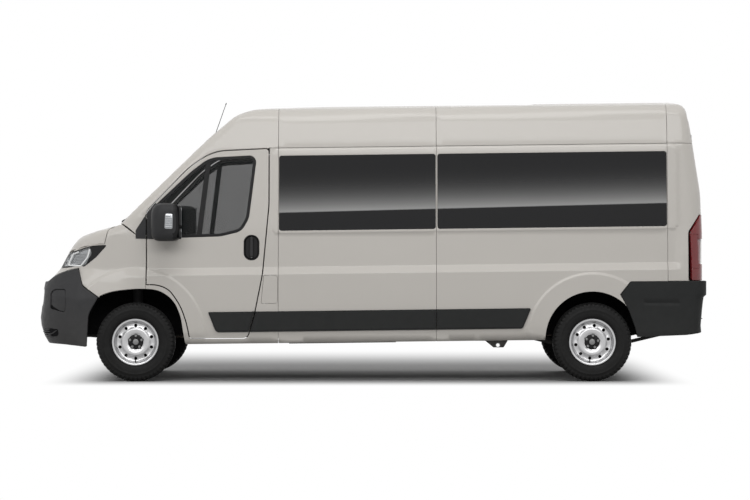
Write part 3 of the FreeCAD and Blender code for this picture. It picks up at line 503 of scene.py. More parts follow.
def panel(skin: "RaySkin", loops: Sequence[Array], rim: Rim = Rim(), pitch: float = 60.0,
          rows: Sequence[Array] = (), lift: float = 0.0) -> Shape:
    """Presses a panel: the part of a skin inside an outline, with round borders, walls and a back.

    Args:
        skin: The surface.
        loops: Closed polylines on the skin's coordinates, the outer one first, then the holes.
        rim: How the borders are finished.
        pitch: Spacing of the mesh.
        rows: Lines that the mesh follows, such as creases.
        lift: Distance by which the panel stands off the skin.

    Returns:
        The panel's shape, with shading directions.
    """
    inset = [grown(loop, -rim.radius if k == 0 else rim.radius) for k, loop in enumerate(loops)]
    flat, faces = triangulated(inset, pitch, rows)
    points = skin(flat)
    normals = skin.normals(points)
    made = Shape().add(points + normals * lift, faces, normals)
    for loop in border_loops(faces):
        line = flat[loop]
        out = -outward(line) if area_of(line) < 0 else outward(line)
        base, normal = points[loop] + normals[loop] * lift, normals[loop]
        edge = skin(line + out * 2.0) - points[loop]
        edge = unit(edge - normal * np.sum(edge * normal, axis=1, keepdims=True))
        reach = np.linalg.norm(out, axis=1, keepdims=True) * rim.radius
        levels, shades = [], []
        for out_by, down in ((0.0, 0.0), (0.707, 0.293), (1.0, 1.0)):
            levels.append(base + edge * reach * out_by - normal * rim.radius * down)
            shades.append(unit(normal * (1.0 - down) + edge * out_by))
        levels.append(base + edge * reach - normal * rim.depth)
        shades.append(edge)
        if rim.back:
            levels.append(base - normal * rim.depth)
            shades.append(-normal)
        walls = [wall[::-1] for wall in quads(len(levels), len(loop))]
        made.add(np.vstack(levels), walls, np.vstack(shades))
    if rim.back:
        made.add(points + normals * (lift - rim.depth), faces[:, ::-1], -normals)
    return made


def revolved(profile: Array, steps: int, waves: Optional[Callable[[Array, Array], Array]] = None) -> Shape:
    """Turns a profile of (y, radius) about the y axis.

    Args:
        profile: (n, 2) points from one end to the other.
        steps: Number of steps round.
        waves: Optional change of radius, from angles and profile rows.

    Returns:
        The turned shape.
    """
    angles = np.arange(steps) * 2 * math.pi / steps
    radius = np.repeat(profile[:, 1][:, None], steps, axis=1)
    if waves is not None:
        radius = radius + waves(angles[None, :], np.arange(len(profile))[:, None])
    y = np.repeat(profile[:, 0][:, None], steps, axis=1)
    points = np.stack([radius * np.cos(angles), y, radius * np.sin(angles)], axis=2).reshape(-1, 3)
    return Shape().add(points, quads(len(profile), steps))


def tube(path: Array, radius: float | Sequence[float], sides: int = 12, caps: bool = True) -> Shape:
    """Runs a round bar along a path.

    Args:
        path: Its (n, 3) points.
        radius: The bar's radius, or one for each point.
        sides: Number of sides.
        caps: Whether its ends are closed.

    Returns:
        The bar.
    """
    path = np.asarray(path, float)
    radii = np.broadcast_to(np.asarray(radius, float), (len(path),))
    along = unit(np.gradient(path, axis=0))
    up = np.array([0.0, 0.0, 1.0]) if abs(along[0][2]) < 0.9 else np.array([1.0, 0.0, 0.0])
    rings = []
    for spot, way, r in zip(path, along, radii):
        across = unit(np.cross(way, up))
        up = np.cross(across, way)
        turns = np.arange(sides) * 2 * math.pi / sides
        rings.append(spot + r * (np.cos(turns)[:, None] * across + np.sin(turns)[:, None] * up))
    return Shape().add(np.vstack(rings), (capped if caps else quads)(len(path), sides))


def block(loop: Array, low: float, high: float, axis: int = 1, bevel: float = 4.0) -> Shape:
    """Draws an outline out between two planes, with bevelled ends.

    Args:
        loop: Closed polyline in the two coordinates that are not the axis, in x, y, z order.
        low: Where it starts along the axis.
        high: Where it ends.
        axis: 0, 1 or 2.
        bevel: Size of the bevel at both ends.

    Returns:
        The closed shape.
    """
    loop = anticlockwise(loop)
    others = [k for k in range(3) if k != axis]
    rings = []
    for place, inset in ((low, bevel), (low + bevel * 0.3, bevel * 0.3), (low + bevel, 0.0),
                         (high - bevel, 0.0), (high - bevel * 0.3, bevel * 0.3), (high, bevel)):
        ring = np.zeros((len(loop), 3))
        ring[:, others] = grown(loop, -inset)
        ring[:, axis] = place
        rings.append(ring)
    faces = capped(len(rings), len(loop))
    return Shape().add(np.vstack(rings), [face[::-1] for face in faces] if axis == 1 else faces)


# ---- finishes ----------------------------------------------------------------------------------
Colour = tuple[float, float, float]


def linear(*srgb: float) -> Colour:
    """A colour written in 0 to 255 screen values, as linear light."""
    return tuple((c / 255 / 12.92 if c <= 10 else ((c / 255 + 0.055) / 1.055) ** 2.4) for c in srgb)


DUST_COLOUR = linear(128, 122, 112)
DUST_HEIGHTS = (0.1, 0.75)


class Nodes:
    """A material's or a world's node tree, with short ways to add and join nodes."""

    def __init__(self, owner: bpy.types.Material | bpy.types.World) -> None:
        """Takes over the tree that a material or a world starts with.

        Args:
            owner: The material or the world.
        """
        owner.use_nodes = True
        self.owner = owner
        self.tree = owner.node_tree
        self.shader = self.tree.nodes.get("Principled BSDF")

    def feed(self, socket: bpy.types.NodeSocket, value: object) -> None:
        """Links a socket to another one, or gives it a value.

        Args:
            socket: The input.
            value: A socket, a number, or a colour of three parts.
        """
        if isinstance(value, bpy.types.NodeSocket):
            self.tree.links.new(value, socket)
        elif socket.type == "RGBA":
            socket.default_value = (*value, 1)
        else:
            socket.default_value = value

    def add(self, kind: str, **values: object) -> bpy.types.Node:
        """Adds a node and sets its properties, or its inputs where the name is one.

        Args:
            kind: The node's type, without ShaderNode before it.
            values: Properties and inputs by name, with _ for a space.

        Returns:
            The node.
        """
        node = self.tree.nodes.new("ShaderNode" + kind)
        for key, value in values.items():
            if hasattr(node, key):
                setattr(node, key, value)
            else:
                self.feed(node.inputs[key.replace("_", " ")], value)
        return node

    def set(self, **values: object) -> None:
        """Sets the shader's inputs, by name with _ for a space."""
        for key, value in values.items():
            self.feed(self.shader.inputs[key.replace("_", " ")], value)

    @property
    def place(self) -> bpy.types.NodeSocket:
        """The object's own coordinates, in metres."""
        found = [node for node in self.tree.nodes if node.bl_idname == "ShaderNodeTexCoord"]
        return (found[0] if found else self.add("TexCoord")).outputs["Object"]

    def noise(self, scale: float, detail: float = 3.0, stretch: Sequence[float] = (1, 1, 1)) -> bpy.types.NodeSocket:
        """A noise value from 0 to 1 over the object's own coordinates.

        Args:
            scale: Features per metre.
            detail: Levels of finer noise.
            stretch: Scaling of each axis.

        Returns:
            The value's socket.
        """
        mapping = self.add("Mapping", Vector=self.place, Scale=stretch)
        return self.add("TexNoise", Vector=mapping.outputs[0], Scale=scale, Detail=detail).outputs[0]

    def ramp(self, value: bpy.types.NodeSocket, low: float, high: float, start: float, end: float,
             form: str = "LINEAR") -> bpy.types.NodeSocket:
        """Maps a value's range onto another range.

        Args:
            value: The value.
            low: Where the range starts.
            high: Where it ends.
            start: The result at the low value.
            end: The result at the high one.
            form: LINEAR, or SMOOTHSTEP for soft ends.

        Returns:
            The result's socket.
        """
        return self.add("MapRange", interpolation_type=form, Value=value, From_Min=low, From_Max=high,
                        To_Min=start, To_Max=end).outputs[0]

    def worked(self, operation: str, one: object, other: object = 0.0) -> bpy.types.NodeSocket:
        """Works out one value from two.

        Args:
            operation: What the maths node does.
            one: The first value or its socket.
            other: The second.

        Returns:
            The result's socket.
        """
        node = self.add("Math", operation=operation)
        self.feed(node.inputs[0], one)
        self.feed(node.inputs[1], other)
        return node.outputs[0]

    def mixed(self, amount: bpy.types.NodeSocket, one: object, other: object) -> bpy.types.NodeSocket:
        """Mixes two colours.

        Args:
            amount: 0 for the first colour, 1 for the other.
            one: The first colour or its socket.
            other: The other one.

        Returns:
            The mixed colour's socket.
        """
        node = self.add("Mix", data_type="RGBA")
        for socket, value in ((node.inputs[0], amount), (node.inputs[6], one), (node.inputs[7], other)):
            self.feed(socket, value)
        return node.outputs[2]

    def bump(self, height: bpy.types.NodeSocket, depth: float) -> bpy.types.NodeSocket:
        """A normal raised by a height, over a depth in metres."""
        return self.add("Bump", Height=height, Distance=depth, Strength=1.0).outputs[0]


@dataclass(frozen=True)
class Finish:
    """A surface finish with mottled colour, uneven gloss, fine grain, and dust that is thickest at the ground."""

    name: str
    colour: Colour
    slot: str
    rough: float = 0.5
    metal: float = 0.0
    coat: float = 0.0
    mottle: float = 0.06
    grain: float = 0.0
    grain_scale: float = 900.0
    sheen: float = 0.0
    dust: float = 0.0
    stretch: tuple[float, float, float] = (1.0, 1.0, 1.0)
    specular: float = 0.5

    def made(self) -> bpy.types.Material:
        """The finish as a material, made once."""
        found = bpy.data.materials.get(self.name)
        if found is not None:
            return found
        nodes = Nodes(bpy.data.materials.new(self.name))
        dark = tuple(c * (1 - self.mottle) for c in self.colour)
        light = tuple(min(1.0, c * (1 + self.mottle)) for c in self.colour)
        tone = nodes.mixed(nodes.noise(3.0, 4.0, self.stretch), dark, light)
        if self.dust > 0:
            height = nodes.add("SeparateXYZ", Vector=nodes.place).outputs[2]
            low = nodes.ramp(height, *DUST_HEIGHTS, self.dust, 0.0)
            cloud = nodes.ramp(nodes.noise(14.0, 6.0), 0.3, 0.7, 0.35, 1.0)
            tone = nodes.mixed(nodes.worked("MULTIPLY", low, cloud), tone, DUST_COLOUR)
        wear = nodes.ramp(nodes.noise(22.0, 5.0, self.stretch), 0.3, 0.7, self.rough * 0.88,
                          min(1.0, self.rough * 1.12))
        nodes.set(Base_Color=tone, Roughness=wear, Metallic=self.metal, Coat_Weight=self.coat,
                  Coat_Roughness=0.04, Sheen_Weight=self.sheen, Specular_IOR_Level=self.specular)
        if self.grain > 0:
            nodes.set(Normal=nodes.bump(nodes.noise(self.grain_scale, 2.0, self.stretch), self.grain))
        self.extras(nodes)
        return nodes.owner

    def extras(self, nodes: Nodes) -> None:
        """Adds what is special to a finish."""

    def dress(self, piece: bpy.types.Object) -> bpy.types.Object:
        """Gives a piece this finish alone.

        Args:
            piece: The piece.

        Returns:
            The same piece.
        """
        piece.data.materials.clear()
        piece.data.materials.append(self.made())
        return piece


@dataclass(frozen=True)
class Glass(Finish):
    """A tinted pane: how much it hides, and a painted reflection, a pale colour that fades upward from a level and
    stops short below it.

    The painted reflection is its colour, the level of its lower edge and that edge's softness, how far above it has
    faded, how fast it falls off, and the slope of its level along the van.
    """

    opacity: float = 0.6
    painted_reflection: Colour = (0.0, 0.0, 0.0)
    veil_foot: float = 0.0
    veil_edge: float = 0.006
    veil_height: float = 0.48
    veil_fall: float = 4.2
    slope: float = 0.0254

    def extras(self, nodes: Nodes) -> None:
        """Makes the pane see-through, and lays the painted reflection on it.

        Args:
            nodes: The finish's nodes.
        """
        nodes.set(Alpha=self.opacity)
        nodes.owner.surface_render_method = "BLENDED"
        if not any(self.painted_reflection):
            return
        # Painted reflection: a pale colour mixed into the pane's own, strongest just above its lower edge and fading
        # upward.
        parts = nodes.add("SeparateXYZ", Vector=nodes.place).outputs
        level = nodes.worked("ADD", nodes.worked("MULTIPLY", parts[0], -self.slope), parts[2])
        start = nodes.ramp(level, self.veil_foot, self.veil_foot + self.veil_height, 1.0, 0.0)
        edge = nodes.ramp(level, self.veil_foot - self.veil_edge, self.veil_foot + self.veil_edge, 0.0, 1.0,
                          "SMOOTHSTEP")
        amount = nodes.worked("MULTIPLY", nodes.worked("POWER", start, self.veil_fall), edge)
        cloud = nodes.ramp(nodes.noise(1.4, 3.0), 0.3, 0.7, 0.94, 1.0)
        nodes.set(Base_Color=nodes.mixed(nodes.worked("MULTIPLY", amount, cloud), self.colour, self.painted_reflection))


@dataclass(frozen=True)
class Woven(Finish):
    """A woven cloth: pitch of its threads in metres and their height."""

    thread: float = 0.0022
    relief: float = 0.0006

    def extras(self, nodes: Nodes) -> None:
        """Weaves threads along all three axes.

        Args:
            nodes: The finish's nodes.
        """
        height: object = 0.0
        for across in ("X", "Y", "Z"):
            wave = nodes.add("TexWave", Vector=nodes.place, wave_type="BANDS", bands_direction=across,
                             Scale=1.0 / self.thread / 6.2832 * 2, Distortion=0.6, Detail=1.0)
            height = nodes.worked("ADD", height, wave.outputs[1])
        nodes.set(Normal=nodes.bump(height, self.relief))


PAINT = Finish("warm_grey_paint", linear(189, 185, 179), "paint", rough=0.36, coat=0.3, mottle=0.012, grain=0.00004,
               grain_scale=260.0, dust=0.12, specular=0.3)
# The side panes carry a painted reflection: a pale band just above their lower edge that fades upward.
SIDE_GLASS = Glass("dark_side_glass", linear(17, 17, 19), "tinted_glass", rough=0.05, mottle=0.1, specular=0.3,
                   opacity=0.94, painted_reflection=linear(158, 158, 157), veil_foot=1.511)
REAR_GLASS = Glass("dark_rear_glass", linear(17, 18, 20), "tinted_glass", rough=0.05, mottle=0.1, specular=0.3,
                   opacity=0.85)
CAB_GLASS = Glass("cab_glass", linear(20, 23, 23), "clear_glass", rough=0.04, mottle=0.1, specular=0.3,
                  opacity=0.42)
GREY_PLASTIC = Finish("grained_grey_plastic", linear(54, 54, 55), "grey_plastic", rough=0.62, mottle=0.08,
                      grain=0.00035, grain_scale=650.0, dust=0.1, specular=0.2)
DARK_PLASTIC = Finish("dark_moulding_plastic", linear(39, 40, 40), "grey_plastic", rough=0.6, mottle=0.08,
                      grain=0.0003, grain_scale=650.0, dust=0.04, specular=0.12)
BLACK_PLASTIC = Finish("black_trim_plastic", linear(46, 46, 47), "black_plastic", rough=0.5, mottle=0.1, grain=0.0002,
                       grain_scale=700.0, specular=0.18)
GASKET = Finish("window_gasket", linear(16, 16, 17), "black_plastic", rough=0.42, mottle=0.1, grain=0.00008,
                specular=0.2)
TYRE = Finish("black_tyre_rubber", linear(21, 21, 21), "tyre_rubber", rough=0.62, mottle=0.2, grain=0.0002,
              grain_scale=420.0, dust=0.01, specular=0.16)
WHEEL_STEEL = Finish("silver_wheel_paint", linear(188, 188, 189), "wheel_steel", rough=0.3, metal=0.85, mottle=0.05,
                     grain=0.00006, grain_scale=300.0, dust=0.06)
DARK_METAL = Finish("bare_cast_metal", linear(92, 88, 84), "cast_metal", rough=0.62, metal=0.7, mottle=0.25,
                    grain=0.0006, grain_scale=160.0, dust=0.3)
CHASSIS = Finish("underbody_coating", linear(30, 30, 31), "chassis_steel", rough=0.72, mottle=0.2, grain=0.0007,
                 grain_scale=140.0, dust=0.15, specular=0.25)
# Near-black arch-liner plastic for the wheel housings; the same finish is also painted shade: the flat backs behind
# the grilles and the dark patches in the front bumper's recesses and openings.
LINER_AND_SHADE = Finish("arch_liner_plastic", linear(13, 13, 14), "chassis_steel", rough=0.85, mottle=0.2, grain=0.0005,
               grain_scale=240.0, specular=0.1)
EXHAUST = Finish("dull_exhaust_steel", linear(140, 128, 116), "exhaust_steel", rough=0.48, metal=0.9, mottle=0.25,
                 grain=0.0003, grain_scale=120.0)
DASH = Finish("grained_dash_plastic", linear(52, 52, 55), "dash_plastic", rough=0.66, mottle=0.08, grain=0.0004,
              grain_scale=800.0, specular=0.3)
LINING = Finish("pale_grey_lining", linear(122, 122, 122), "dash_plastic", rough=0.8, mottle=0.06, grain=0.0003,
                grain_scale=500.0, specular=0.25)
SEAT = Woven("charcoal_seat_cloth", linear(62, 62, 66), "seat_cloth", rough=0.9, mottle=0.12, sheen=0.25,
             specular=0.2)
LENS_RED = Glass("red_lens", linear(118, 8, 14), "lamp_red", rough=0.08, mottle=0.1, coat=0.6,
                 opacity=0.86)
LENS_CLEAR = Glass("clear_lens", linear(205, 207, 208), "lamp_clear", rough=0.03, mottle=0.02, specular=0.8,
                   opacity=0.12)
LAMP_BLACK = Finish("gloss_black_lamp", linear(9, 9, 10), "lamp_clear", rough=0.12, mottle=0.1, coat=0.1,
                    grain=0.00003, grain_scale=80.0, specular=0.25)
GUIDE = Finish("pale_light_guide", linear(232, 233, 233), "lamp_clear", rough=0.25, mottle=0.03, coat=0.4,
               grain=0.00005, grain_scale=300.0)
LAMP_GREY = Finish("lamp_fin_grey", linear(74, 75, 77), "lamp_clear", rough=0.3, mottle=0.08, grain=0.00004)
CHROME = Finish("lamp_reflector", linear(150, 152, 154), "lamp_clear", rough=0.14, metal=1.0, mottle=0.04,
                grain=0.00005, grain_scale=90.0)
MIRROR = Finish("mirror_glass", linear(205, 208, 210), "black_plastic", rough=0.03, metal=1.0, mottle=0.02)
PLATE = Finish("blank_plate_white", linear(214, 214, 210), "grey_plastic", rough=0.4, mottle=0.03, grain=0.00005)
LAMP_BACK = Finish("lamp_back", linear(120, 30, 34), "lamp_red", rough=0.4, mottle=0.25, grain=0.0006,
                   grain_scale=110.0, coat=0.3)
BOLT = Finish("bolt_steel", linear(120, 120, 120), "wheel_steel", rough=0.42, metal=0.85, mottle=0.2, grain=0.0002,
              grain_scale=300.0)
SLOT_FINISHES = {"paint": PAINT, "tinted_glass": SIDE_GLASS, "clear_glass": CAB_GLASS, "grey_plastic": GREY_PLASTIC,
                 "black_plastic": BLACK_PLASTIC, "lamp_clear": CHROME, "lamp_red": LENS_RED, "tyre_rubber": TYRE,
                 "wheel_steel": WHEEL_STEEL, "cast_metal": DARK_METAL, "chassis_steel": CHASSIS,
                 "exhaust_steel": EXHAUST, "dash_plastic": DASH, "seat_cloth": SEAT}


def ready(shape: Shape, name: str, finish: Finish, body: str = VAN, *nodes: str,
          sharp: float = 35.0) -> bpy.types.Object:
    """Builds, dresses and places a piece.

    Args:
        shape: Its mesh.
        name: Its name.
        finish: Its finish.
        body: The body that it moves with.
        nodes: The frame's nodes that it stands for.
        sharp: Turn of an edge, in degrees, above which it is sharp.

    Returns:
        The piece.
    """
    piece = finish.dress(shape.built(name, sharp))
    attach(piece, body)
    if nodes:
        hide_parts(*nodes)
    LOG.info("%s: %d faces", name, len(piece.data.polygons))
    return piece


def pair(shape: Shape, name: str, finish: Finish, bodies: Sequence[str] = (VAN, VAN), nodes: Sequence[str] = (),
         sharp: float = 35.0) -> None:
    """Builds a left-hand piece and its mirror image.

    Args:
        shape: The left piece's mesh.
        name: Name that left_ or right_ goes before.
        finish: Their finish.
        bodies: The left and right bodies.
        nodes: Nodes that each stands for, with {} for left or right.
        sharp: Turn of an edge above which it is sharp.
    """
    for side, body, made in zip(Side, bodies, (shape, shape.mirrored())):
        ready(made, "%s_%s" % (side.word, name), finish, body, *[node.format(side.word) for node in nodes],
              sharp=sharp)


# ---- the body's skin -----------------------------------------------------------------------------
SIDE_TABLE = ((940, 344), (992, 366), (1003, 451), (1006, 630), (1010, 957), (982, 1020), (972, 1341), (915, 2073),
              (858, 2341))
PLAIN_TABLE = ((940, 344), (992, 366), (1003, 451), (1006, 630), (1008, 900), (997, 1080), (972, 1341),
               (915, 2073), (858, 2341))
WING_TABLE = ((998, 200), (998, 790), (974, 930), (954, 1015), (943, 1341), (923, 1420), (850, 1900))
SECTION = ((-300, 200), (998, 200), (1010, 957), (982, 1020), (972, 1341), (915, 2073), (858, 2341, 45),
           (786, 2424, 150), (0, 2475, 4000), (-300, 2478))
FRONT_LINE = ((-3400, 240), (-2206, 1382), (-1400, 2165, 500), (-1180, 2352, 300), (-960, 2465, 250), (3400, 2750),
              (3400, 240))
REAR_LINE = ((-3400, 200), (2955, 200), (2964, 1300, 900), (2955, 1656, 900), (2869, 2226, 900), (2790, 2640),
             (-3400, 2640))
HOOD_LINE = ((-3300, -300), (-2785, 1040, 40), (-2728, 1170, 120), (-2620, 1252, 220), (-2424, 1322, 300),
             (-2290, 1356, 100), (-2200, 1404), (-1500, 1700), (-1500, -300))
NOSE_HEIGHTS = (300, 860, 990, 1170, 1400)
NOSE_FRONTS = (-2962, -2962, -2818, -2722, -2600)
NOSE_WIDTHS = (975, 962, 915, 890, 860)
NOSE_SWEEP = 105.0
BUMPER_HEIGHTS = (300, 330, 420, 541, 690, 800, 868, 1010)
BUMPER_FRONTS = (-2900, -2932, -2984, -2997, -2978, -2968, -2954, -2900)
STEP_HEIGHTS = (390, 412, 437, 490, 690, 745, 765, 888)
STEP_FACES = (2915, 2944, 2954, 2948, 2966, 2974, 2998, 2999)
FRONT_FLARE = (-2051.0, 385.0, 628.0)
REAR_FLARE = (1984.0, 380.0, 588.0)
PLATEAU = box(-840, 1320, 2742, 2052, 40, 20, 60, 60)


def ease(value: Array, low: float, high: float) -> Array:
    """Runs smoothly from 0 at the low value to 1 at the high one."""
    t = np.clip((value - low) / (high - low), 0.0, 1.0)
    return t * t * (3 - 2 * t)


def distance_to(points: Array, loop: Array) -> Array:
    """Measures how far points lie from a closed polyline.

    Args:
        points: (n, 2) points.
        loop: The polyline.

    Returns:
        The distances, negative inside it.
    """
    nearest = np.full(len(points), 1e12)
    for a, b in zip(loop, np.roll(loop, -1, axis=0)):
        run = b - a
        t = np.clip(((points - a) @ run) / max(float(run @ run), 1e-9), 0.0, 1.0)
        nearest = np.minimum(nearest, np.sum((points - a - t[:, None] * run) ** 2, axis=1))
    return np.where(inside_large(points, loop), -1.0, 1.0) * np.sqrt(nearest)


def inside_large(points: Array, loop: Array) -> Array:
    """Tells which of very many points lie inside a closed polyline.

    Args:
        points: (n, 2) points.
        loop: The polyline.

    Returns:
        A truth value for each point.
    """
    result = np.zeros(len(points), bool)
    for a, b in zip(loop, np.roll(loop, -1, axis=0)):
        if a[1] != b[1]:
            crosses = (a[1] > points[:, 1]) != (b[1] > points[:, 1])
            result ^= crosses & (points[:, 0] < (b[0] - a[0]) * (points[:, 1] - a[1]) / (b[1] - a[1]) + a[0])
    return result


@dataclass
class Field2D:
    """Distance to an outline, kept on a grid and read between its points."""

    outline: Outline
    low: tuple[float, float]
    high: tuple[float, float]
    cell: float = 6.0

    def __post_init__(self) -> None:
        """Fills the grid."""
        self.us = np.arange(self.low[0], self.high[0] + self.cell, self.cell)
        self.vs = np.arange(self.low[1], self.high[1] + self.cell, self.cell)
        grid = np.stack(np.meshgrid(self.us, self.vs, indexing="ij"), axis=-1).reshape(-1, 2)
        loop = rounded(self.outline, 8.0)
        self.values = distance_to(grid, loop).reshape(len(self.us), len(self.vs))

    def __call__(self, u: Array, v: Array) -> Array:
        """Reads the distance at some points.

        Args:
            u: Their first coordinates.
            v: Their second ones.

        Returns:
            The distances.
        """
        s = np.clip((u - self.us[0]) / self.cell, 0, len(self.us) - 1.001)
        t = np.clip((v - self.vs[0]) / self.cell, 0, len(self.vs) - 1.001)
        i, j = s.astype(int), t.astype(int)
        s, t = s - i, t - j
        near = self.values[i, j] * (1 - t) + self.values[i, j + 1] * t
        return near * (1 - s) + (self.values[i + 1, j] * (1 - t) + self.values[i + 1, j + 1] * t) * s


def softened(values: Array) -> Array:
    """A row of values with each the mean of nine."""
    return np.convolve(np.pad(values, 4, mode="edge"), np.ones(9) / 9, mode="valid")


def round_max(a: Array, b: Array, radius: Array | float) -> Array:
    """Distance to the overlap of two bodies, with the edge between them rounded."""
    return np.minimum(np.maximum(a, b), -radius) + np.hypot(np.maximum(a + radius, 0), np.maximum(b + radius, 0))


class Hull:
    """The whole body's outer form, as distances from its skin."""

    def __init__(self) -> None:
        """Prepares the outlines that the form is cut by."""
        self.section = Field2D(SECTION, (-20, 1900), (1100, 2640))
        self.front = Field2D(FRONT_LINE, (-2700, 1000), (-300, 2700))
        self.rear = Field2D(REAR_LINE, (2300, 250), (3050, 2700))
        self.hood = Field2D(HOOD_LINE, (-3100, 300), (-1850, 1500))
        self.plateau = distance_to_box(PLATEAU)
        self.levels = np.arange(200.0, 2400.0, 1.0)
        self.tables = [self.smoothed(table) for table in (SIDE_TABLE, PLAIN_TABLE, WING_TABLE)]

    def smoothed(self, table: Sequence[tuple[float, float]]) -> Array:
        """Spreads a table over the levels, with its corners slightly rounded.

        Args:
            table: Rows of half-width and level.

        Returns:
            The half-width at each level.
        """
        widths = np.interp(self.levels, [row[1] for row in table], [row[0] for row in table])
        return softened(widths)

    def half_width(self, x: Array, level: Array) -> Array:
        """Finds the side's half-width before its pressed features.

        Args:
            x: Places along the van.
            level: Levels at them.

        Returns:
            The half-widths.
        """
        body, plain, wing = (np.interp(level, self.levels, table) for table in self.tables)
        rear = ease(x, 2700.0, 2790.0)
        nose = 1.0 - ease(x, -2240.0, -1990.0)
        return body * (1 - rear) * (1 - nose) + plain * rear + (wing + 14.0) * nose

    @staticmethod
    def taper(x: Array) -> Array:
        """Finds how far the side runs inward.

        Args:
            x: Places along the van.

        Returns:
            The distances.
        """
        cab = np.clip((-873.0 - x) / 1083.0, 0.0, 1.0) * 14.0
        wing = np.maximum(-1960.0 - x, 0.0) ** 1.25 * 0.0125
        tail = np.maximum(x - 2560.0, 0.0) ** 1.4 * 0.006
        return cab + wing + tail

    def pressed(self, x: Array, z: Array) -> Array:
        """Finds how far the side's pressed features stand out.

        Args:
            x: Places along the van.
            z: Heights at them.

        Returns:
            The distances.
        """
        level = z - RAKE * x
        raised = 6.0 * ease(-self.plateau(x, level), -6.0, 4.0)
        channel = -3.0 * np.exp(-((level - 2073.0) / 11.0) ** 2) * ease(x, -830.0, -790.0)
        total = raised + channel
        for cx, cz, radius in (FRONT_FLARE, REAR_FLARE):
            out = np.hypot(x - cx, z - cz)
            face = 1.0 - ease(out, radius - 26.0, radius + 3.0)
            total = total + 13.0 * face * ease(z, 330.0, 430.0)
        return total

    def side(self, p: Array) -> Array:
        """Distance from the side's and roof's skin.

        Args:
            p: (n, 3) points.

        Returns:
            The distances, negative inside.
        """
        x, y, z = p[:, 0], np.abs(p[:, 1]), p[:, 2]
        level = z - RAKE * x
        width = y + self.taper(x)
        straight = (width - self.half_width(x, level) - self.pressed(x, z)) * 0.99
        high = self.section(width, level) + self.ribs(x, y)
        return np.where(level < 2240.0, straight, high)

    @staticmethod
    def ribs(x: Array, y: Array) -> Array:
        """Depth of the roof's long pressed ribs."""
        wave = ease(np.cos(y * 2 * math.pi / 190.0), 0.15, 0.85)
        return 6.0 * wave * (1 - ease(y, 640.0, 660.0)) * ease(x, -640.0, -560.0) * (1 - ease(x, 2560.0, 2640.0))

    def body(self, p: Array) -> Array:
        """Distance from the body's skin behind the bonnet.

        Args:
            p: (n, 3) points.

        Returns:
            The distances, negative inside.
        """
        x, z = p[:, 0], p[:, 2]
        level = z - RAKE * x
        corner = 115.0 - 45.0 * ease(level, 2000.0, 2420.0)
        tail = round_max(self.side(p), self.rear(x, z), corner)
        pillar = 6.0 + 64.0 * (1 - ease(x, -1300.0, -1000.0))
        flank, front = self.side(p), self.front(x, z)
        soft = np.maximum(flank, front) + np.maximum(60.0 - np.abs(flank - front), 0.0) ** 2 / 240.0
        ahead = round_max(flank, front, pillar)
        share = ease(x, -1330.0, -1120.0)
        return np.where(x > 1500.0, tail, ahead * (1 - share) + soft * share)

    def nose(self, p: Array) -> Array:
        """Distance from the skin of wings, bonnet and the panel between the lamps.

        Args:
            p: (n, 3) points.

        Returns:
            The distances, negative inside.
        """
        x, y, z = p[:, 0], np.abs(p[:, 1]), p[:, 2]
        flank = self.side(p)
        wide = np.interp(z, NOSE_HEIGHTS, NOSE_WIDTHS)
        face = np.interp(z, NOSE_HEIGHTS, NOSE_FRONTS) + NOSE_SWEEP * (np.hypot(y, 90.0) - 90.0) / (wide - 86.0)
        slope = np.interp(z, (800, 900, 990, 1100, 1300), (1.0, 0.85, 0.85, 0.88, 0.88))
        ends = (face - x) * slope * 0.975
        around = round_max(flank, ends, 300.0 - 60.0 * ease(z, 950.0, 1250.0))
        crowned = self.hood(x, z + 26.0 * (y / 900.0) ** 2 - 20.0)
        return round_max(around, crowned, 55.0)

    def bumper(self, p: Array) -> Array:
        """Distance from the front bumper's skin.

        Args:
            p: (n, 3) points.

        Returns:
            The distances, negative inside.
        """
        x, y, z = p[:, 0], np.abs(p[:, 1]), p[:, 2]
        half = np.interp(z, (200, 300, 745, 1010), (1000, 1008, 1010, 922)) - np.maximum(-2300.0 - x, 0.0) * 0.055
        flank = y - half
        face = np.interp(z, BUMPER_HEIGHTS, BUMPER_FRONTS) + 127.0 * (np.hypot(y, 90.0) - 90.0) / 880.0
        ends = (face - x) * 0.97
        return round_max(flank, ends, 300.0)

    def rear_bumper(self, p: Array) -> Array:
        """Distance from the rear bumper's skin.

        Args:
            p: (n, 3) points.

        Returns:
            The distances, negative inside.
        """
        x, y, z = p[:, 0], np.abs(p[:, 1]), p[:, 2]
        half = np.interp(z, (380, 440, 700, 880), (996, 1006, 1008, 1010)) - np.maximum(x - 2600.0, 0.0) * 0.02
        groove = 5.0 * np.exp(-((z - 694.0) / 7.0) ** 2) * ease(x, 2440.0, 2452.0) * (1 - ease(x, 2742.0, 2756.0))
        face = np.interp(z, STEP_HEIGHTS, STEP_FACES)
        return round_max(y - half + groove, x - face, 95.0)


def distance_to_box(outline: Outline) -> Callable[[Array, Array], Array]:
    """Makes the distance from a rounded box.

    Args:
        outline: Its corners, the first with their radius.

    Returns:
        A function of the two coordinates, negative inside.
    """
    xs, zs = [c[0] for c in outline], [c[1] for c in outline]
    middle = ((min(xs) + max(xs)) / 2, (min(zs) + max(zs)) / 2)
    half = ((max(xs) - min(xs)) / 2, (max(zs) - min(zs)) / 2)
    radius = outline[0][2]

    def measure(u: Array, v: Array) -> Array:
        """Measures how far points lie from the box.

        Args:
            u: Their first coordinates.
            v: Their second ones.

        Returns:
            The distances.
        """
        a = np.abs(u - middle[0]) - half[0] + radius
        b = np.abs(v - middle[1]) - half[1] + radius
        return np.hypot(np.maximum(a, 0), np.maximum(b, 0)) + np.minimum(np.maximum(a, b), 0) - radius

    return measure


Rays = Callable[[Array], tuple[Array, Array]]


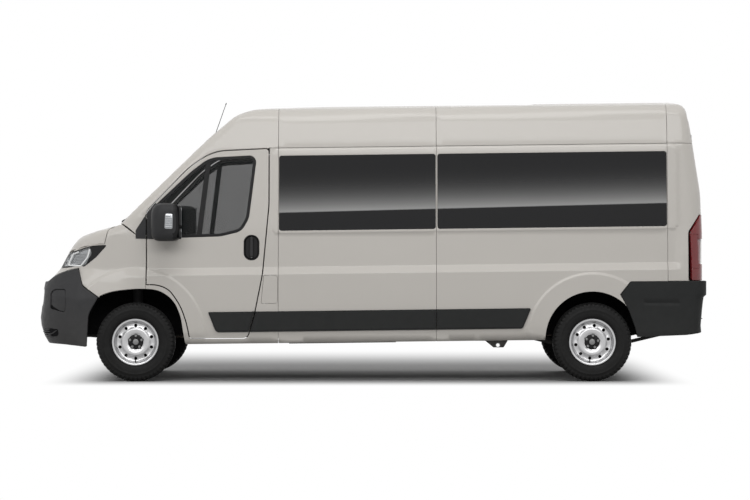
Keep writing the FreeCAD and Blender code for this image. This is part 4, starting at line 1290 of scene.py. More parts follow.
@dataclass
class RaySkin:
    """A skin found along rays: each drawing coordinate gives a ray that starts inside the form."""

    form: Callable[[Array], Array]
    rays: Rays
    reach: float = 1600.0
    offset: float = 0.0

    def __call__(self, flat: Array) -> Array:
        """Finds points of the skin.

        Args:
            flat: (n, 2) drawing coordinates.

        Returns:
            The (n, 3) points.
        """
        start, way = self.rays(np.asarray(flat, float))
        low, high = np.zeros(len(start)), np.full(len(start), self.reach)
        for _ in range(22):
            middle = (low + high) / 2
            outside = self.form(start + way * middle[:, None]) > self.offset
            high, low = np.where(outside, middle, high), np.where(outside, low, middle)
        return start + way * ((low + high) / 2)[:, None]

    def normals(self, points: Array) -> Array:
        """Finds which way the skin faces.

        Args:
            points: (n, 3) points of it.

        Returns:
            Outward unit normals.
        """
        slopes = []
        for axis in range(3):
            step = np.zeros(3)
            step[axis] = 3.0
            slopes.append(self.form(points + step) - self.form(points - step))
        return unit(np.stack(slopes, axis=1))

    def at(self, offset: float) -> "RaySkin":
        """The same skin moved outward by a distance."""
        return RaySkin(self.form, self.rays, self.reach, offset)

    def under(self, line: Array, back: float = 0.0) -> Array:
        """The coordinates under a line of the side view, first looked for a little further forward."""
        return located(self, line, View.SIDE, line - [back, 0.0])


def side_rays(flat: Array) -> tuple[Array, Array]:
    """Level rays to the left, for coordinates x and z."""
    start = np.stack([flat[:, 0], np.full(len(flat), -300.0), flat[:, 1]], axis=1)
    return start, np.tile([0.0, -1.0, 0.0], (len(flat), 1))


def fan_rays(x0: float, y0: float, sweep: float, back: bool) -> Rays:
    """Level rays that start on the left side and turn round an end of the van to the right side.

    Args:
        x0: Where along the van the turn starts.
        y0: Half-width of its centre.
        sweep: Length of drawing that each quarter turn takes.
        back: Whether it is the rear end.

    Returns:
        Rays for a first coordinate that is x on the left side, then runs round, across and round again.
    """
    sign = 1.0 if back else -1.0

    def rays(flat: Array) -> tuple[Array, Array]:
        """Finds the rays of drawing coordinates.

        Args:
            flat: (n, 2) coordinates.

        Returns:
            The rays' starts and directions.
        """
        past = (flat[:, 0] - x0) * sign
        again = past - sweep - 2 * y0
        turn = (np.clip(past / sweep, 0.0, 1.0) + np.clip(again / sweep, 0.0, 1.0)) * math.pi / 2
        x = x0 + sign * (np.minimum(past, 0.0) - np.maximum(again - sweep, 0.0))
        y = -y0 + np.clip(past - sweep, 0.0, 2 * y0)
        start = np.stack([x, y, flat[:, 1]], axis=1)
        return start, np.stack([np.sin(turn) * sign, -np.cos(turn), np.zeros(len(flat))], axis=1)

    return rays


def crown_rays(x0: float, z0: float, radius: float, rear: float = 1e9) -> Rays:
    """Rays from a line along the van's middle that lean forward ahead of x0 and backward behind rear.

    Args:
        x0: Where the rays start to lean forward, about a fixed point.
        z0: Height of the line.
        radius: Length of drawing for one radian.
        rear: Where they start to lean backward.

    Returns:
        Rays for coordinates along the van, and across it to the right.
    """

    def rays(flat: Array) -> tuple[Array, Array]:
        """Finds the rays of drawing coordinates.

        Args:
            flat: (n, 2) coordinates.

        Returns:
            The rays' starts and directions.
        """
        a, b = flat[:, 0], flat[:, 1] / radius
        lean = (np.minimum(a - x0, 0.0) + np.maximum(a - rear, 0.0)) / radius
        start = np.stack([np.clip(a, x0, rear), np.zeros(len(a)), np.full(len(a), z0)], axis=1)
        way = np.stack([np.sin(lean) * np.cos(b), np.sin(b), np.cos(lean) * np.cos(b)], axis=1)
        return start, way

    return rays


def fanned(form: Callable[[Array], Array], x0: float, y0: float, sweep: float, back: bool) -> tuple[RaySkin, float]:
    """Makes a skin whose drawing runs round an end of the van.

    Args:
        form: The form.
        x0: Where the rays start to turn.
        y0: Half the distance between the two turns.
        sweep: Length of drawing for each turn.
        back: Whether it is the rear end.

    Returns:
        The skin, and where the van's middle lies in its first coordinate.
    """
    return RaySkin(form, fan_rays(x0, y0, sweep, back)), x0 + (sweep + y0 if back else -sweep - y0)


HULL = Hull()
SIDE_SKIN = RaySkin(HULL.body, side_rays)
TAIL_TURN, TAIL_SWEEP = 2790.0, 230.0
TAIL_SKIN, TAIL_MIDDLE = fanned(HULL.body, TAIL_TURN, 780.0, TAIL_SWEEP, True)
NOSE_SKIN, NOSE_MIDDLE = fanned(HULL.nose, -2250.0, 500.0, 700.0, False)
WING_SKIN = fanned(HULL.nose, -2300.0, 720.0, 330.0, False)[0]
BUMPER_SKIN, BUMPER_MIDDLE = fanned(HULL.bumper, -2450.0, 600.0, 620.0, False)
STEP_SKIN, STEP_MIDDLE = fanned(HULL.rear_bumper, 2850.0, 860.0, 200.0, True)
ROOF_END = 2656.0
ROOF_CROWN = (-1150.0, 1500.0, 1000.0)
ROOF_SKIN = RaySkin(HULL.body, crown_rays(*ROOF_CROWN, ROOF_END), 2200.0)
HOOD_CROWN = (-2330.0, 900.0, 500.0)
HOOD_SKIN = RaySkin(HULL.nose, crown_rays(*HOOD_CROWN))


def crown_at(points: Array, x0: float, z0: float, radius: float) -> Array:
    """Finds the crown coordinates whose rays run through given points.

    Args:
        points: (n, 3) points.
        x0: Where the rays' fixed point stands.
        z0: Its height.
        radius: Length of drawing for one radian.

    Returns:
        The (n, 2) coordinates.
    """
    dx, dz = points[:, 0] - x0, points[:, 2] - z0
    lean = np.arctan2(dx, dz)
    return np.stack([x0 + lean * radius, np.arctan2(points[:, 1], np.hypot(dx, dz)) * radius], axis=1)


def crown_guess(targets: Array, x0: float, z0: float, radius: float, rear: float, wide: float) -> Array:
    """Makes first guesses on a crown skin for side-view targets.

    Args:
        targets: (n, 2) side-view coordinates.
        x0: Where the rays start to lean forward.
        z0: Height of the rays' start.
        radius: Length of drawing for one radian.
        rear: Where they start to lean backward.
        wide: About how far to the right the targets lie.

    Returns:
        The (n, 2) coordinates.
    """
    dx = targets[:, 0] - np.clip(targets[:, 0], x0, rear)
    lean = np.arctan2(dx, np.maximum(targets[:, 1] - z0, 1.0))
    a = np.clip(targets[:, 0], x0, rear) + lean * radius
    far = np.hypot(dx, targets[:, 1] - z0)
    return np.stack([a, np.arctan2(wide, far) * radius], axis=1)


# ---- outlines of the body's pieces, seen from the side -------------------------------------------
DOOR = ((-1956, 855, 4), (-1956, 1500, 90), (-1590, 1885, 700), (-1370, 2035, 400), (-873, 2060, 30),
        (-873, 1560, 900), (-931, 936, 900), (-1000, 594, 500), (-1062, 378, 60), (-1573, 378, 10),
        (-1600, 520, 1500), (-1655, 675, 700), (-1755, 815, 400), (-1860, 854, 400))
DOOR_WINDOW = ((-1868, 1262, 20), (-1868, 1568, 30), (-1560, 1858, 400), (-1400, 1978, 250), (-980, 2000, 60),
               (-1050, 1440, 160), (-1115, 1325, 120), (-1300, 1280, 300))
FRONT_ARCH = ((-2490, 200), (-2468, 598, 600), (-2388, 755, 600), (-2240, 802, 900), (-2020, 822, 2500),
              (-1845, 811, 600), (-1720, 728, 400), (-1653, 594, 700), (-1592, 200))
REAR_ARCH = (1984.0, 380.0, 415.0)
FUEL_FLAP = ((-940, 690, 8), (-918, 936, 8), (-797, 936, 25), (-797, 690, 25))
HEADLAMP = ((-2308, 1206, 8), (-2444, 1200, 200), (-2597, 1152, 60), (-2800, 1092), (-2800, 985), (-2560, 1024, 30),
            (-2515, 1014, 20), (-2403, 1101, 200))
TAIL_LAMP = ((2834, 890, 12), (2834, 1323, 80), (2936, 1475, 20), (3050, 1475), (3050, 890))
REAR_BUMPER = ((2226, 770), (2317, 884, 20), (2999, 888, 14), (2999, 765, 25), (2972, 700, 60), (2946, 490, 30),
               (2952, 437, 12), (2811, 409, 60), (2380, 390, 10), (2360, 477), (2303, 632))
BUMPER_SIDE = ((-2568, 998, 10), (-2700, 967, 300), (-2800, 925, 200), (-2866, 870, 60), (-3050, 868), (-3050, 300),
               (-2930, 326, 30), (-2714, 323), (-2484, 304, 10), (-2467, 595, 160), (-2380, 745), (-2525, 848, 60))
MOULDING = ((-1409, 613, 6), (1443, 648, 12), (1366, 468, 30), (-1340, 435, 40))
CAB_SEAM, MIDDLE_SEAM, REAR_SEAM = -790.0, 606.0, 2650.0
SLOT = 1.3
CREASE_LEVELS = (951, 963, 1014, 1026, 1316, 1327)


def circle(x: float, z: float, radius: float, steps: int = 96) -> Array:
    """A round outline."""
    turn = np.arange(steps) * 2 * math.pi / steps
    return np.stack([x + radius * np.cos(turn), z + radius * np.sin(turn)], axis=1)


def lined(corners: Outline, by: float = 0.0, pitch: float = 30.0) -> Array:
    """Makes a side-view outline into an evenly stepped loop.

    Args:
        corners: The outline.
        by: How far it moves outward.
        pitch: The longest step.

    Returns:
        The loop.
    """
    loop = anticlockwise(rounded(corners, 7.0))
    return stepped(grown(loop, by) if by else loop, pitch)


def raked(x0: float, x1: float, low: float, high: float, radius: float) -> Outline:
    """A box between two levels of the raked body."""
    return tuple((x, z + RAKE * x, radius) for x, z in box(x0, low, x1, high))


def overlap(one: Array, other: Array, keep: bool = True) -> Array:
    """The part of a loop's inside that another loop shares, or that it does not.

    Args:
        one: The first closed polyline.
        other: The second.
        keep: True for what both share, false for the first without the second.

    Returns:
        The largest closed polyline of the result.
    """
    loops = [one, other]
    points = [Vector(p) for loop in loops for p in loop]
    edges = [(k, (k + 1) % len(one)) for k in range(len(one))]
    edges += [(len(one) + k, len(one) + (k + 1) % len(other)) for k in range(len(other))]
    made = delaunay_2d_cdt(points, edges, [], 0, 1e-4)
    flat = np.array([v[:] for v in made[0]])
    faces = np.array([f for f in made[2] if len(f) == 3])
    spots = flat[faces].mean(axis=1)
    faces = faces[inside(spots, [one]) & (inside(spots, [other]) == keep)]
    faced_up(flat, faces)
    borders = [flat[loop] for loop in border_loops(faces)]
    best = anticlockwise(max(borders, key=lambda loop: abs(area_of(loop))))
    keepers = np.linalg.norm(best - np.roll(best, 1, axis=0), axis=1) > 0.8
    return stepped(best[keepers], 30.0)


def band(x0: float, x1: float, level: float) -> Array:
    """A level line of the raked body."""
    xs = np.arange(x0, x1, 30.0)
    return np.stack([xs, level + RAKE * xs], axis=1)


def arc_row(centre: Sequence[float], by: float, low: float = 440.0) -> Array:
    """Draws the part of a round crease about an arch that stands above a height.

    Args:
        centre: The arch's middle (x, z) and radius.
        by: How much larger than the arch the crease is.
        low: The height.

    Returns:
        The open polyline.
    """
    ring = circle(centre[0], centre[1], centre[2] + by, 120)
    ring = ring[ring[:, 1] > low]
    return ring[np.argsort(-ring[:, 0])]


def upright(x: float) -> Array:
    """An upright line beside the windows."""
    return np.stack([np.full(26, x), np.linspace(1304.0, 2068.0, 26) + RAKE * x], axis=1)


def side_rows(x0: float, x1: float) -> list[Array]:
    """Draws the lines that the side's mesh follows: crease, lips, channel and arch creases.

    Args:
        x0: Where the lines start along the van.
        x1: Where they end.

    Returns:
        The open polylines.
    """
    rows = [band(x0, x1, level) for level in (449, 632, *CREASE_LEVELS, 1341, 2010, 2047, 2056)]
    rows += [upright(x) for x in (-846.0, -836.0) if x0 < x < x1]
    rows += [arc_row(FRONT_FLARE, by) for by in (-28, -12, 4)] if x0 < -800 else []
    rows += [arc_row(REAR_FLARE, by) for by in (-28, -12, 4)] if x1 > 1300 else []
    return rows


@dataclass
class SidePanels:
    """The fixed sides: pillar, two long glazed panels, rear corner, with the fuel flap and the sliding door."""

    top: float = 2072.0
    foot: float = 344.0
    window: tuple[float, float] = (1341.0, 2003.0)
    panes: tuple[tuple[float, float], ...] = ((-784.0, 600.0), (617.0, 2643.0))
    wall: Rim = Rim(2.0, 24.0, False)

    def blank(self) -> Array:
        """The whole side's outline, before it is divided: sill, arches, bumper and lamp cut away."""
        foot = [(-1958, 700), (-1715, 700), (-1715, self.foot - RAKE * 1600), (2600, self.foot + RAKE * 2600)]
        outer = rounded(foot + [(3000, 600), (3150, 900), (3150, self.top + RAKE * 3150),
                                (-866, self.top - RAKE * 866), (-880, 1600), (-960, 1000), (-1100, 870),
                                (-1958, 862)])
        loop = stepped(outer, 60.0)
        loop = overlap(loop, lined(DOOR, 5.0), False)
        loop = overlap(loop, lined(FRONT_ARCH), False)
        loop = overlap(loop, circle(*REAR_ARCH), False)
        return overlap(loop, lined(REAR_BUMPER, 1.0), False)

    def stretch(self, blank: Array, x0: float, x1: float) -> Array:
        """The part of the side between two seams."""
        return overlap(blank, patch(x0, 200.0, x1, 2300.0, 60.0))

    def pane_loop(self, x0: float, x1: float, by: float = 0.0) -> Array:
        """A flush pane's outline."""
        return lined(raked(x0 - by, x1 + by, self.window[0] - by, self.window[1] + by, 22.0 + by))

    def build(self) -> None:
        """Presses every panel and fits the glass."""
        blank = self.blank()
        seams = (-2000.0, CAB_SEAM, MIDDLE_SEAM, REAR_SEAM)
        holes = [[lined(FUEL_FLAP, 2.2)]] + [[self.pane_loop(*pane, 1.5)] for pane in self.panes]
        for k, (hole, word) in enumerate(zip(holes, ("pillar", "middle", "rear"))):
            x0, x1 = seams[k] + (SLOT if k else 0), seams[k + 1] - SLOT
            loop = self.stretch(blank, x0, x1)
            shape = panel(SIDE_SKIN, [loop] + hole, self.wall, 55.0, side_rows(x0, x1))
            ready(shape, "left_side_%s_panel" % word, PAINT, VAN, *(["left_side_panel"] if k == 0 else []))
            if word == "pillar":
                plain = panel(SIDE_SKIN, [loop], self.wall, 55.0, side_rows(x0, x1)).mirrored()
                ready(plain, "right_side_pillar_panel", PAINT, VAN, "right_side_panel")
            if word == "rear":
                ready(shape.mirrored(), "right_side_rear_panel", PAINT)
            if word == "middle":
                self.add_sliding_door(loop, hole)
        self.add_corner()
        self.add_windows()
        flap = panel(SIDE_SKIN, [lined(FUEL_FLAP)], Rim(3.0, 16.0), 40.0)
        ready(flap, "fuel_flap_skin", PAINT, "fuel_flap_body", "fuel_flap")

    def add_sliding_door(self, loop: Array, hole: list[Array]) -> None:
        """Presses the sliding door, which is the right-hand middle panel, and the sill left under it.

        Args:
            loop: The middle panel's outline.
            hole: Its window opening.
        """
        split = np.array([(-1000, 398), (800, 412), (800, 2500), (-1000, 2500)], float)
        split = stepped(split, 40.0)
        door = overlap(loop, split)
        shape = panel(SIDE_SKIN, [door] + hole, Rim(4.0, 30.0, False), 55.0, side_rows(-800.0, MIDDLE_SEAM))
        ready(shape.mirrored(), "sliding_door_skin", PAINT, VAN, "sliding_door")
        sill = overlap(loop, split - [0.0, 6.0], False)
        ready(panel(SIDE_SKIN, [sill], self.wall, 55.0).mirrored(), "right_sill_panel", PAINT)

    def add_corner(self) -> None:
        """The rear corner post, which turns to the tail beside the rear doors."""
        edge = TAIL_MIDDLE - 788.0
        outer = patch(REAR_SEAM + SLOT, 889.0, edge, self.top + RAKE * TAIL_TURN)
        loop = overlap(outer, self.on_tail(lined(TAIL_LAMP, 1.5)), False)
        rows = [band(REAR_SEAM, edge, level) for level in (*CREASE_LEVELS, 2047, 2056)]
        rows += [upright(x) for x in (2738.0, 2748.0)]
        pair(panel(TAIL_SKIN, [loop], self.wall, 34.0, rows), "rear_corner_panel", PAINT)

    @staticmethod
    def on_tail(loop: Array) -> Array:
        """Takes a side-view loop to the tail skin's coordinates.

        Args:
            loop: The loop, which may run on past the corner.

        Returns:
            The loop in coordinates that run round the tail.
        """
        turned, past_turn = 2940.0, 3060.0
        past = loop[:, 0] > turned
        flat = loop.copy()
        spots = located(TAIL_SKIN, np.minimum(loop, [turned, math.inf]), View.SIDE,
                        np.minimum(loop, [turned - 40.0, math.inf]))
        flat[~past] = spots[~past]
        flat[past, 0] = past_turn
        return stepped(flat, 30.0)

    def add_windows(self) -> None:
        """Flush bonded panes, each with a black printed border."""
        for word, (x0, x1) in zip(("front", "rear"), self.panes):
            border = panel(SIDE_SKIN.at(-7.5), [self.pane_loop(x0, x1, 4.0), self.pane_loop(x0, x1, -34.0)],
                           Rim(1.5, 4.5), 200.0)
            pair(border, "side_%s_pane_border" % word, GASKET)
            clear = panel(SIDE_SKIN.at(-1.5), [self.pane_loop(x0, x1)], Rim(1.5, 4.5), 110.0)
            for side, made in zip(Side, (clear, clear.mirrored())):
                nodes = ("side_windows",) if side is Side.LEFT and word == "front" else ()
                ready(made, "%s_side_%s_pane" % (side.word, word), SIDE_GLASS, VAN, *nodes)


@dataclass
class Roof:
    """The roof behind the cab in three lengths, and the cab's own front roof, pillars and header."""

    edge_level: float = 2074.4
    rib_pitch: float = 190.0

    def gutter(self, x0: float, x1: float, left: bool) -> Array:
        """Draws the roof's lower edge on one side.

        Args:
            x0: Where it starts along the van.
            x1: Where it ends.
            left: Whether it is the left side.

        Returns:
            The line in the crown skin's coordinates.
        """
        xs = np.linspace(x0, x1, max(2, int((x1 - x0) / 40)))
        z = self.edge_level + RAKE * xs
        flat = located(ROOF_SKIN, np.stack([xs, z], axis=1), View.SIDE,
                       np.stack([xs, np.full(len(xs), -1010.0)], axis=1))
        flat[:, 1] = -np.abs(flat[:, 1]) if left else np.abs(flat[:, 1])
        return flat

    def length(self, x0: float, x1: float) -> list[Array]:
        """The outline of one length of roof."""
        near, far = self.gutter(x0, x1, True), self.gutter(x0, x1, False)[::-1]
        return [stepped(np.vstack([near, far]), 40.0)]

    def build(self) -> None:
        """Presses the roof's lengths, its rear end and the cab roof."""
        rows = [np.stack([np.arange(-700.0, 2800.0, 30.0), np.full(117, y)], axis=1)
                for centre in range(-3, 4) for y in self.rib_rows(centre * self.rib_pitch)]
        ends = ((CAB_SEAM + SLOT, MIDDLE_SEAM - SLOT), (MIDDLE_SEAM + SLOT, REAR_SEAM - SLOT))
        for word, (x0, x1) in zip(("front", "rear"), ends):
            shape = panel(ROOF_SKIN, self.length(x0, x1), Rim(2.0, 20.0, False), 55.0, rows)
            ready(shape, "roof_%s_length" % word, PAINT, VAN, *(["roof_panels"] if word == "front" else []))
        self.add_tail()
        self.add_cab()

    @staticmethod
    def rib_rows(centre: float) -> list[float]:
        """Places across the roof where a rib's slopes start and end, as crown coordinates."""
        return [math.atan2(centre + by, 975.0) * 1000.0 for by in (-43.0, -19.0, 19.0, 43.0)]

    def add_tail(self) -> None:
        """The rear length of the roof, turned down round its edge to the rear doors' header."""
        side = self.gutter(REAR_SEAM + SLOT, TAIL_TURN, True)
        corner = np.linspace(0.08, 0.96, 12)[:, None] * [TAIL_SWEEP, 0.0]
        corner = TAIL_SKIN(corner + [TAIL_TURN, self.edge_level + RAKE * TAIL_TURN])
        line = np.vstack([corner, self.header()])
        left = np.vstack([side, self.crown_of(line)])
        loop = stepped(np.vstack([left, left[::-1] * [1.0, -1.0]]), 40.0)
        ready(panel(ROOF_SKIN, [loop], Rim(2.0, 20.0, False), 34.0), "roof_rear_end", PAINT)

    @staticmethod
    def header() -> Array:
        """Points of the roof's rear edge over the left rear door, from the outside to the middle."""
        door = rounded(((-788, 2000), (-788, 2341, 108), (0, 2341)), 12.0, False)
        door = stepped(door[door[:, 1] > 2118.0], 30.0, False)
        return np.stack([np.full(len(door), 2830.0), door[:, 0], door[:, 1]], axis=1)

    @staticmethod
    def crown_of(points: Array) -> Array:
        """The roof skin's coordinates for points at its rear end."""
        return located(ROOF_SKIN, points[:, 1:], View.FRONT, crown_at(points, ROOF_END, *ROOF_CROWN[1:]))

    def add_cab(self) -> None:
        """The cab's pillars, header and front roof, round the windscreen and over the doors."""
        front = grown(anticlockwise(rounded(DOOR, 7.0)), 5.0)
        front = front[front[:, 1] > 1345.0]
        front = front[(front[:, 0] < -900) | (front[:, 1] > 2050)]
        front = front[np.argsort(front[:, 0] * 0.6 + front[:, 1] * 0.8)]
        front = front[front[:, 0] < -882.0]
        seam = CAB_SEAM - SLOT
        foot = [(-2166.0, 1392.0), (-2120.0, 1358.0), (-2053.0, 1304.0), (-1995.0, 1330.0), (-1966.0, 1352.0)]
        tail = [(-868.0, 2065.4), (-830.0, self.edge_level - RAKE * 830), (seam, self.edge_level + RAKE * seam)]
        side = stepped(np.vstack([foot, front, tail]), 25.0, False)
        flat = located(ROOF_SKIN, side, View.SIDE, crown_guess(side, *ROOF_CROWN, ROOF_END, -930.0))
        flat[:, 1] = -np.abs(flat[:, 1])
        cowl = np.array([(-2196.0 - 8.0 * (1 - (y / 840.0) ** 2), y, 1394.0) for y in np.linspace(0.0, -800.0, 22)])
        left = np.vstack([crown_at(cowl, *ROOF_CROWN)[1:], flat])
        loop = anticlockwise(stepped(np.vstack([left, left[::-1] * [1.0, -1.0]]), 25.0))
        shape = panel(ROOF_SKIN, [loop, self.screen_loop(0.0)], Rim(3.0, 34.0, False), 38.0)
        ready(shape, "cab_frame_skin", PAINT, VAN, "cab_frame")
        border = panel(ROOF_SKIN.at(-3.0), [self.screen_loop(-2.0), self.screen_loop(-42.0)], Rim(1.5, 5.0), 200.0)
        ready(border, "windscreen_border", GASKET)
        clear = panel(ROOF_SKIN.at(-3.0), [self.screen_loop(-42.0)], Rim(0.2, 5.0), 90.0)
        ready(clear, "windscreen_glass", CAB_GLASS, VAN, "windscreen")

    @staticmethod
    def screen_loop(by: float) -> Array:
        """Draws the windscreen's outline.

        Args:
            by: How far it moves outward.

        Returns:
            The outline in crown coordinates, from its shape seen from the front.
        """
        shape = rounded(((-795, 1398, 60), (795, 1398, 60), (671, 2112, 90), (-671, 2112, 90)), 12.0)
        loop = stepped(grown(shape, by), 30.0)
        plane = -2190.0 + (loop[:, 1] - 1390.0) * (795.0 / 772.0)
        guess = crown_at(np.stack([plane, loop[:, 0], loop[:, 1]], axis=1), *ROOF_CROWN)
        return located(ROOF_SKIN, loop, View.FRONT, guess)


@dataclass
class Nose:
    """Wings, bonnet, lamps, the painted panel between them, both grilles, the cowl and the front bumper."""

    lamp_inner: float = 505.0
    wall: Rim = Rim(3.0, 22.0, False)
    upper_grille: tuple[float, float, float, float] = (455.0, 480.0, 1000.0, 1062.0)
    lower_grille: tuple[float, float, float, float] = (400.0, 440.0, 650.0, 800.0)
    intake: tuple[float, float, float, float] = (872.0, 896.0, 388.0, 462.0)

    def build(self) -> None:
        """Builds the nose from the wings forward."""
        self.add_wings()
        self.add_bonnet()
        self.add_cowl()
        self.add_front_panel()
        self.add_grille(NOSE_SKIN, NOSE_MIDDLE, self.upper_grille, "upper_grille", "grille")
        self.add_bumper()
        self.add_grille(BUMPER_SKIN, BUMPER_MIDDLE, self.lower_grille, "lower_grille")
        self.add_grille(BUMPER_SKIN, BUMPER_MIDDLE, self.intake, "intake_grille")
        self.add_lamps()

    def add_wings(self) -> None:
        """The wings over the front wheels, with their rolled arch flanges."""
        outer = np.array([(-1960.5, 600), (-1960.5, 1290), (-2050, 1292), (-2176, 1386), (-2206, 1384),
                          (-2296, 1341), (-2329, 1211), (-2444, 1204), (-2620, 1160), (-2620, 600)], float)
        loop = overlap(stepped(outer, 60.0), lined(HEADLAMP, 2.0), False)
        loop = overlap(loop, lined(BUMPER_SIDE, 2.0), False)
        loop = overlap(loop, lined(FRONT_ARCH), False)
        rows = [WING_SKIN.under(arc_row(FRONT_FLARE, by, 700.0)) for by in (-28, -12, 4)]
        shape = panel(WING_SKIN, [WING_SKIN.under(loop)], Rim(3.0, 26.0, False), 40.0, rows)
        pair(shape, "front_wing", PAINT, nodes=("front_wings",))

    @staticmethod
    def hood_point(targets: Sequence[Sequence[float]], view: View, other: float) -> Array:
        """Finds points of a view on the bonnet's skin.

        Args:
            targets: Their two coordinates in the view.
            view: The view.
            other: About where they lie in the third coordinate.

        Returns:
            Their coordinates on the skin.
        """
        points = np.array(targets, float)
        if view is View.SIDE:
            guess = crown_guess(points, *HOOD_CROWN, 1e9, other)
        else:
            full = np.full((len(points), 3), other)
            full[:, list(view.value)] = points
            guess = crown_at(full, *HOOD_CROWN)
        return located(HOOD_SKIN, points, view, guess)

    def add_bonnet(self) -> None:
        """The short clamshell bonnet, down to the lamps' top edges."""
        back = [(-2286.0 - 7.0 * (1 - (y / 850.0) ** 2), y) for y in np.linspace(0.0, -850.0, 18)]
        side = rounded(((-2301, 1338), (-2331, 1209), (-2444, 1204, 200), (-2590, 1158)), 12.0, False)
        front = [(-y, 1165.0 - 47.0 * (1 - (y / 770.0) ** 2)) for y in np.linspace(770.0, 0.0, 20)]
        left = np.vstack([self.hood_point(back, View.TOP, 1320.0), self.hood_point(side, View.SIDE, -900.0),
                          self.hood_point(front, View.FRONT, -2650.0)])
        loop = anticlockwise(stepped(np.vstack([left, left[::-1] * [1.0, -1.0]]), 25.0))
        shape = panel(HOOD_SKIN, [loop], Rim(4.0, 20.0, True), 30.0)
        ready(shape, "bonnet_skin", PAINT, "bonnet_body", "bonnet")

    def add_cowl(self) -> None:
        """The black cowl that the wipers stand on, with its slots."""
        profile = rounded(((-2281, 1305), (-2283, 1338, 8), (-2212, 1374, 10), (-2186, 1372, 6), (-2168, 1350),
                           (-2168, 1305)))
        shape = block(profile, -816.0, 816.0, 1, 3.0)
        for k in range(43):
            y = -767.0 + k * 36.0
            slat = rounded(box(y, -2268, y + 22, -2224))
            ridge = block(slat[:, ::-1], 0.0, 4.0, 2, 1.5)
            ridge.points[:, 2] += 1338.0 + (ridge.points[:, 0] + 2283.0) * 0.507
            shape.join(ridge)
        ready(shape, "cowl", BLACK_PLASTIC, VAN, "cowl_panel")

    @staticmethod
    def both(left: Array, middle: float) -> Array:
        """Closes a loop from its left half.

        Args:
            left: The half, in coordinates that run round the nose.
            middle: The van's middle in them.

        Returns:
            The whole loop.
        """
        right = left[::-1] * [-1.0, 1.0] + [2 * middle, 0.0]
        return anticlockwise(stepped(np.vstack([left, right]), 25.0))

    def add_front_panel(self) -> None:
        """The painted panel over the bumper, between and below the lamps."""
        under = stepped(np.array([(-2700, 1001), (-2640, 1008), (-2563, 1022), (-2563, 1006)], float), 20.0, False)
        outer = NOSE_SKIN.under(under, 40.0)
        inner_x = NOSE_MIDDLE + self.lamp_inner
        top = [(NOSE_MIDDLE + t * (self.lamp_inner - 8.0), 1112.0 + 16.0 * t * t) for t in np.linspace(0.0, 1.0, 14)]
        beside = [(inner_x - 10.0, 1100.0), (inner_x + 6.0, 1000.0), (inner_x + 60.0, 992.0)]
        loop = self.both(np.vstack([top, beside, outer, self.panel_foot()]), NOSE_MIDDLE)
        hole = self.grille_loop(NOSE_MIDDLE, self.upper_grille, 0.0)
        shape = panel(NOSE_SKIN, [loop, hole], self.wall, 34.0)
        ready(shape, "front_centre_panel", PAINT, VAN, "front_panel")

    @staticmethod
    def grille_loop(middle: float, sizes: Sequence[float], by: float) -> Array:
        """Draws a grille's outline.

        Args:
            middle: The van's middle, in coordinates that run round the nose.
            sizes: Half-widths at the bottom and top, and their heights.
            by: How far the outline moves outward.

        Returns:
            The outline in the same coordinates.
        """
        low, high, bottom, top = sizes
        shape = rounded(((middle - low, bottom, 20), (middle + low, bottom, 20), (middle + high, top, 20),
                         (middle - high, top, 20)))
        return stepped(grown(shape, by), 25.0)

    def add_grille(self, skin: RaySkin, middle: float, sizes: Sequence[float], name: str, *nodes: str) -> None:
        """Builds a black insert: a frame, level bars and upright ribs before a dark back that is painted shade, a
        flat near-black sheet in place of the shaded space behind the grille.

        Args:
            skin: The surface that it is let into.
            middle: The van's middle in the surface's coordinates.
            sizes: Half-widths at the bottom and top, and their heights.
            name: The piece's name.
            nodes: The frame's nodes that it stands for.
        """
        shape = panel(skin.at(-3.0), [self.grille_loop(middle, sizes, -1.0), self.grille_loop(middle, sizes, -13.0)],
                      Rim(3.0, 24.0), 60.0)
        low, high, bottom, top = sizes
        count = max(1, int((top - bottom - 26.0) / 24.0))
        for k in range(count):
            z = bottom + 13.0 + (top - bottom - 26.0) * (k + 0.5) / count
            reach = low + (high - low) * (z - bottom) / (top - bottom) - 11.0
            bar = patch(middle - reach, z - 4.5, middle + reach, z + 4.5, 25.0)
            shape.join(panel(skin.at(-5.0), [bar], Rim(3.0, 14.0), 60.0))
        for k in range(-4, 5):
            x = middle + k * low / 4.5
            rib = patch(x - 3, bottom + 10, x + 3, top - 10, 25.0)
            shape.join(panel(skin.at(-13.0), [rib], Rim(1.5, 12.0), 60.0))
        ready(shape, name, BLACK_PLASTIC, VAN, *nodes)
        # Painted shade: a flat near-black sheet behind the bars, in place of the shaded space behind the grille.
        back = panel(skin.at(-25.0), [self.grille_loop(middle, sizes, -6.0)], Rim(1.0, 4.0), 60.0)
        ready(back, name + "_back", LINER_AND_SHADE)

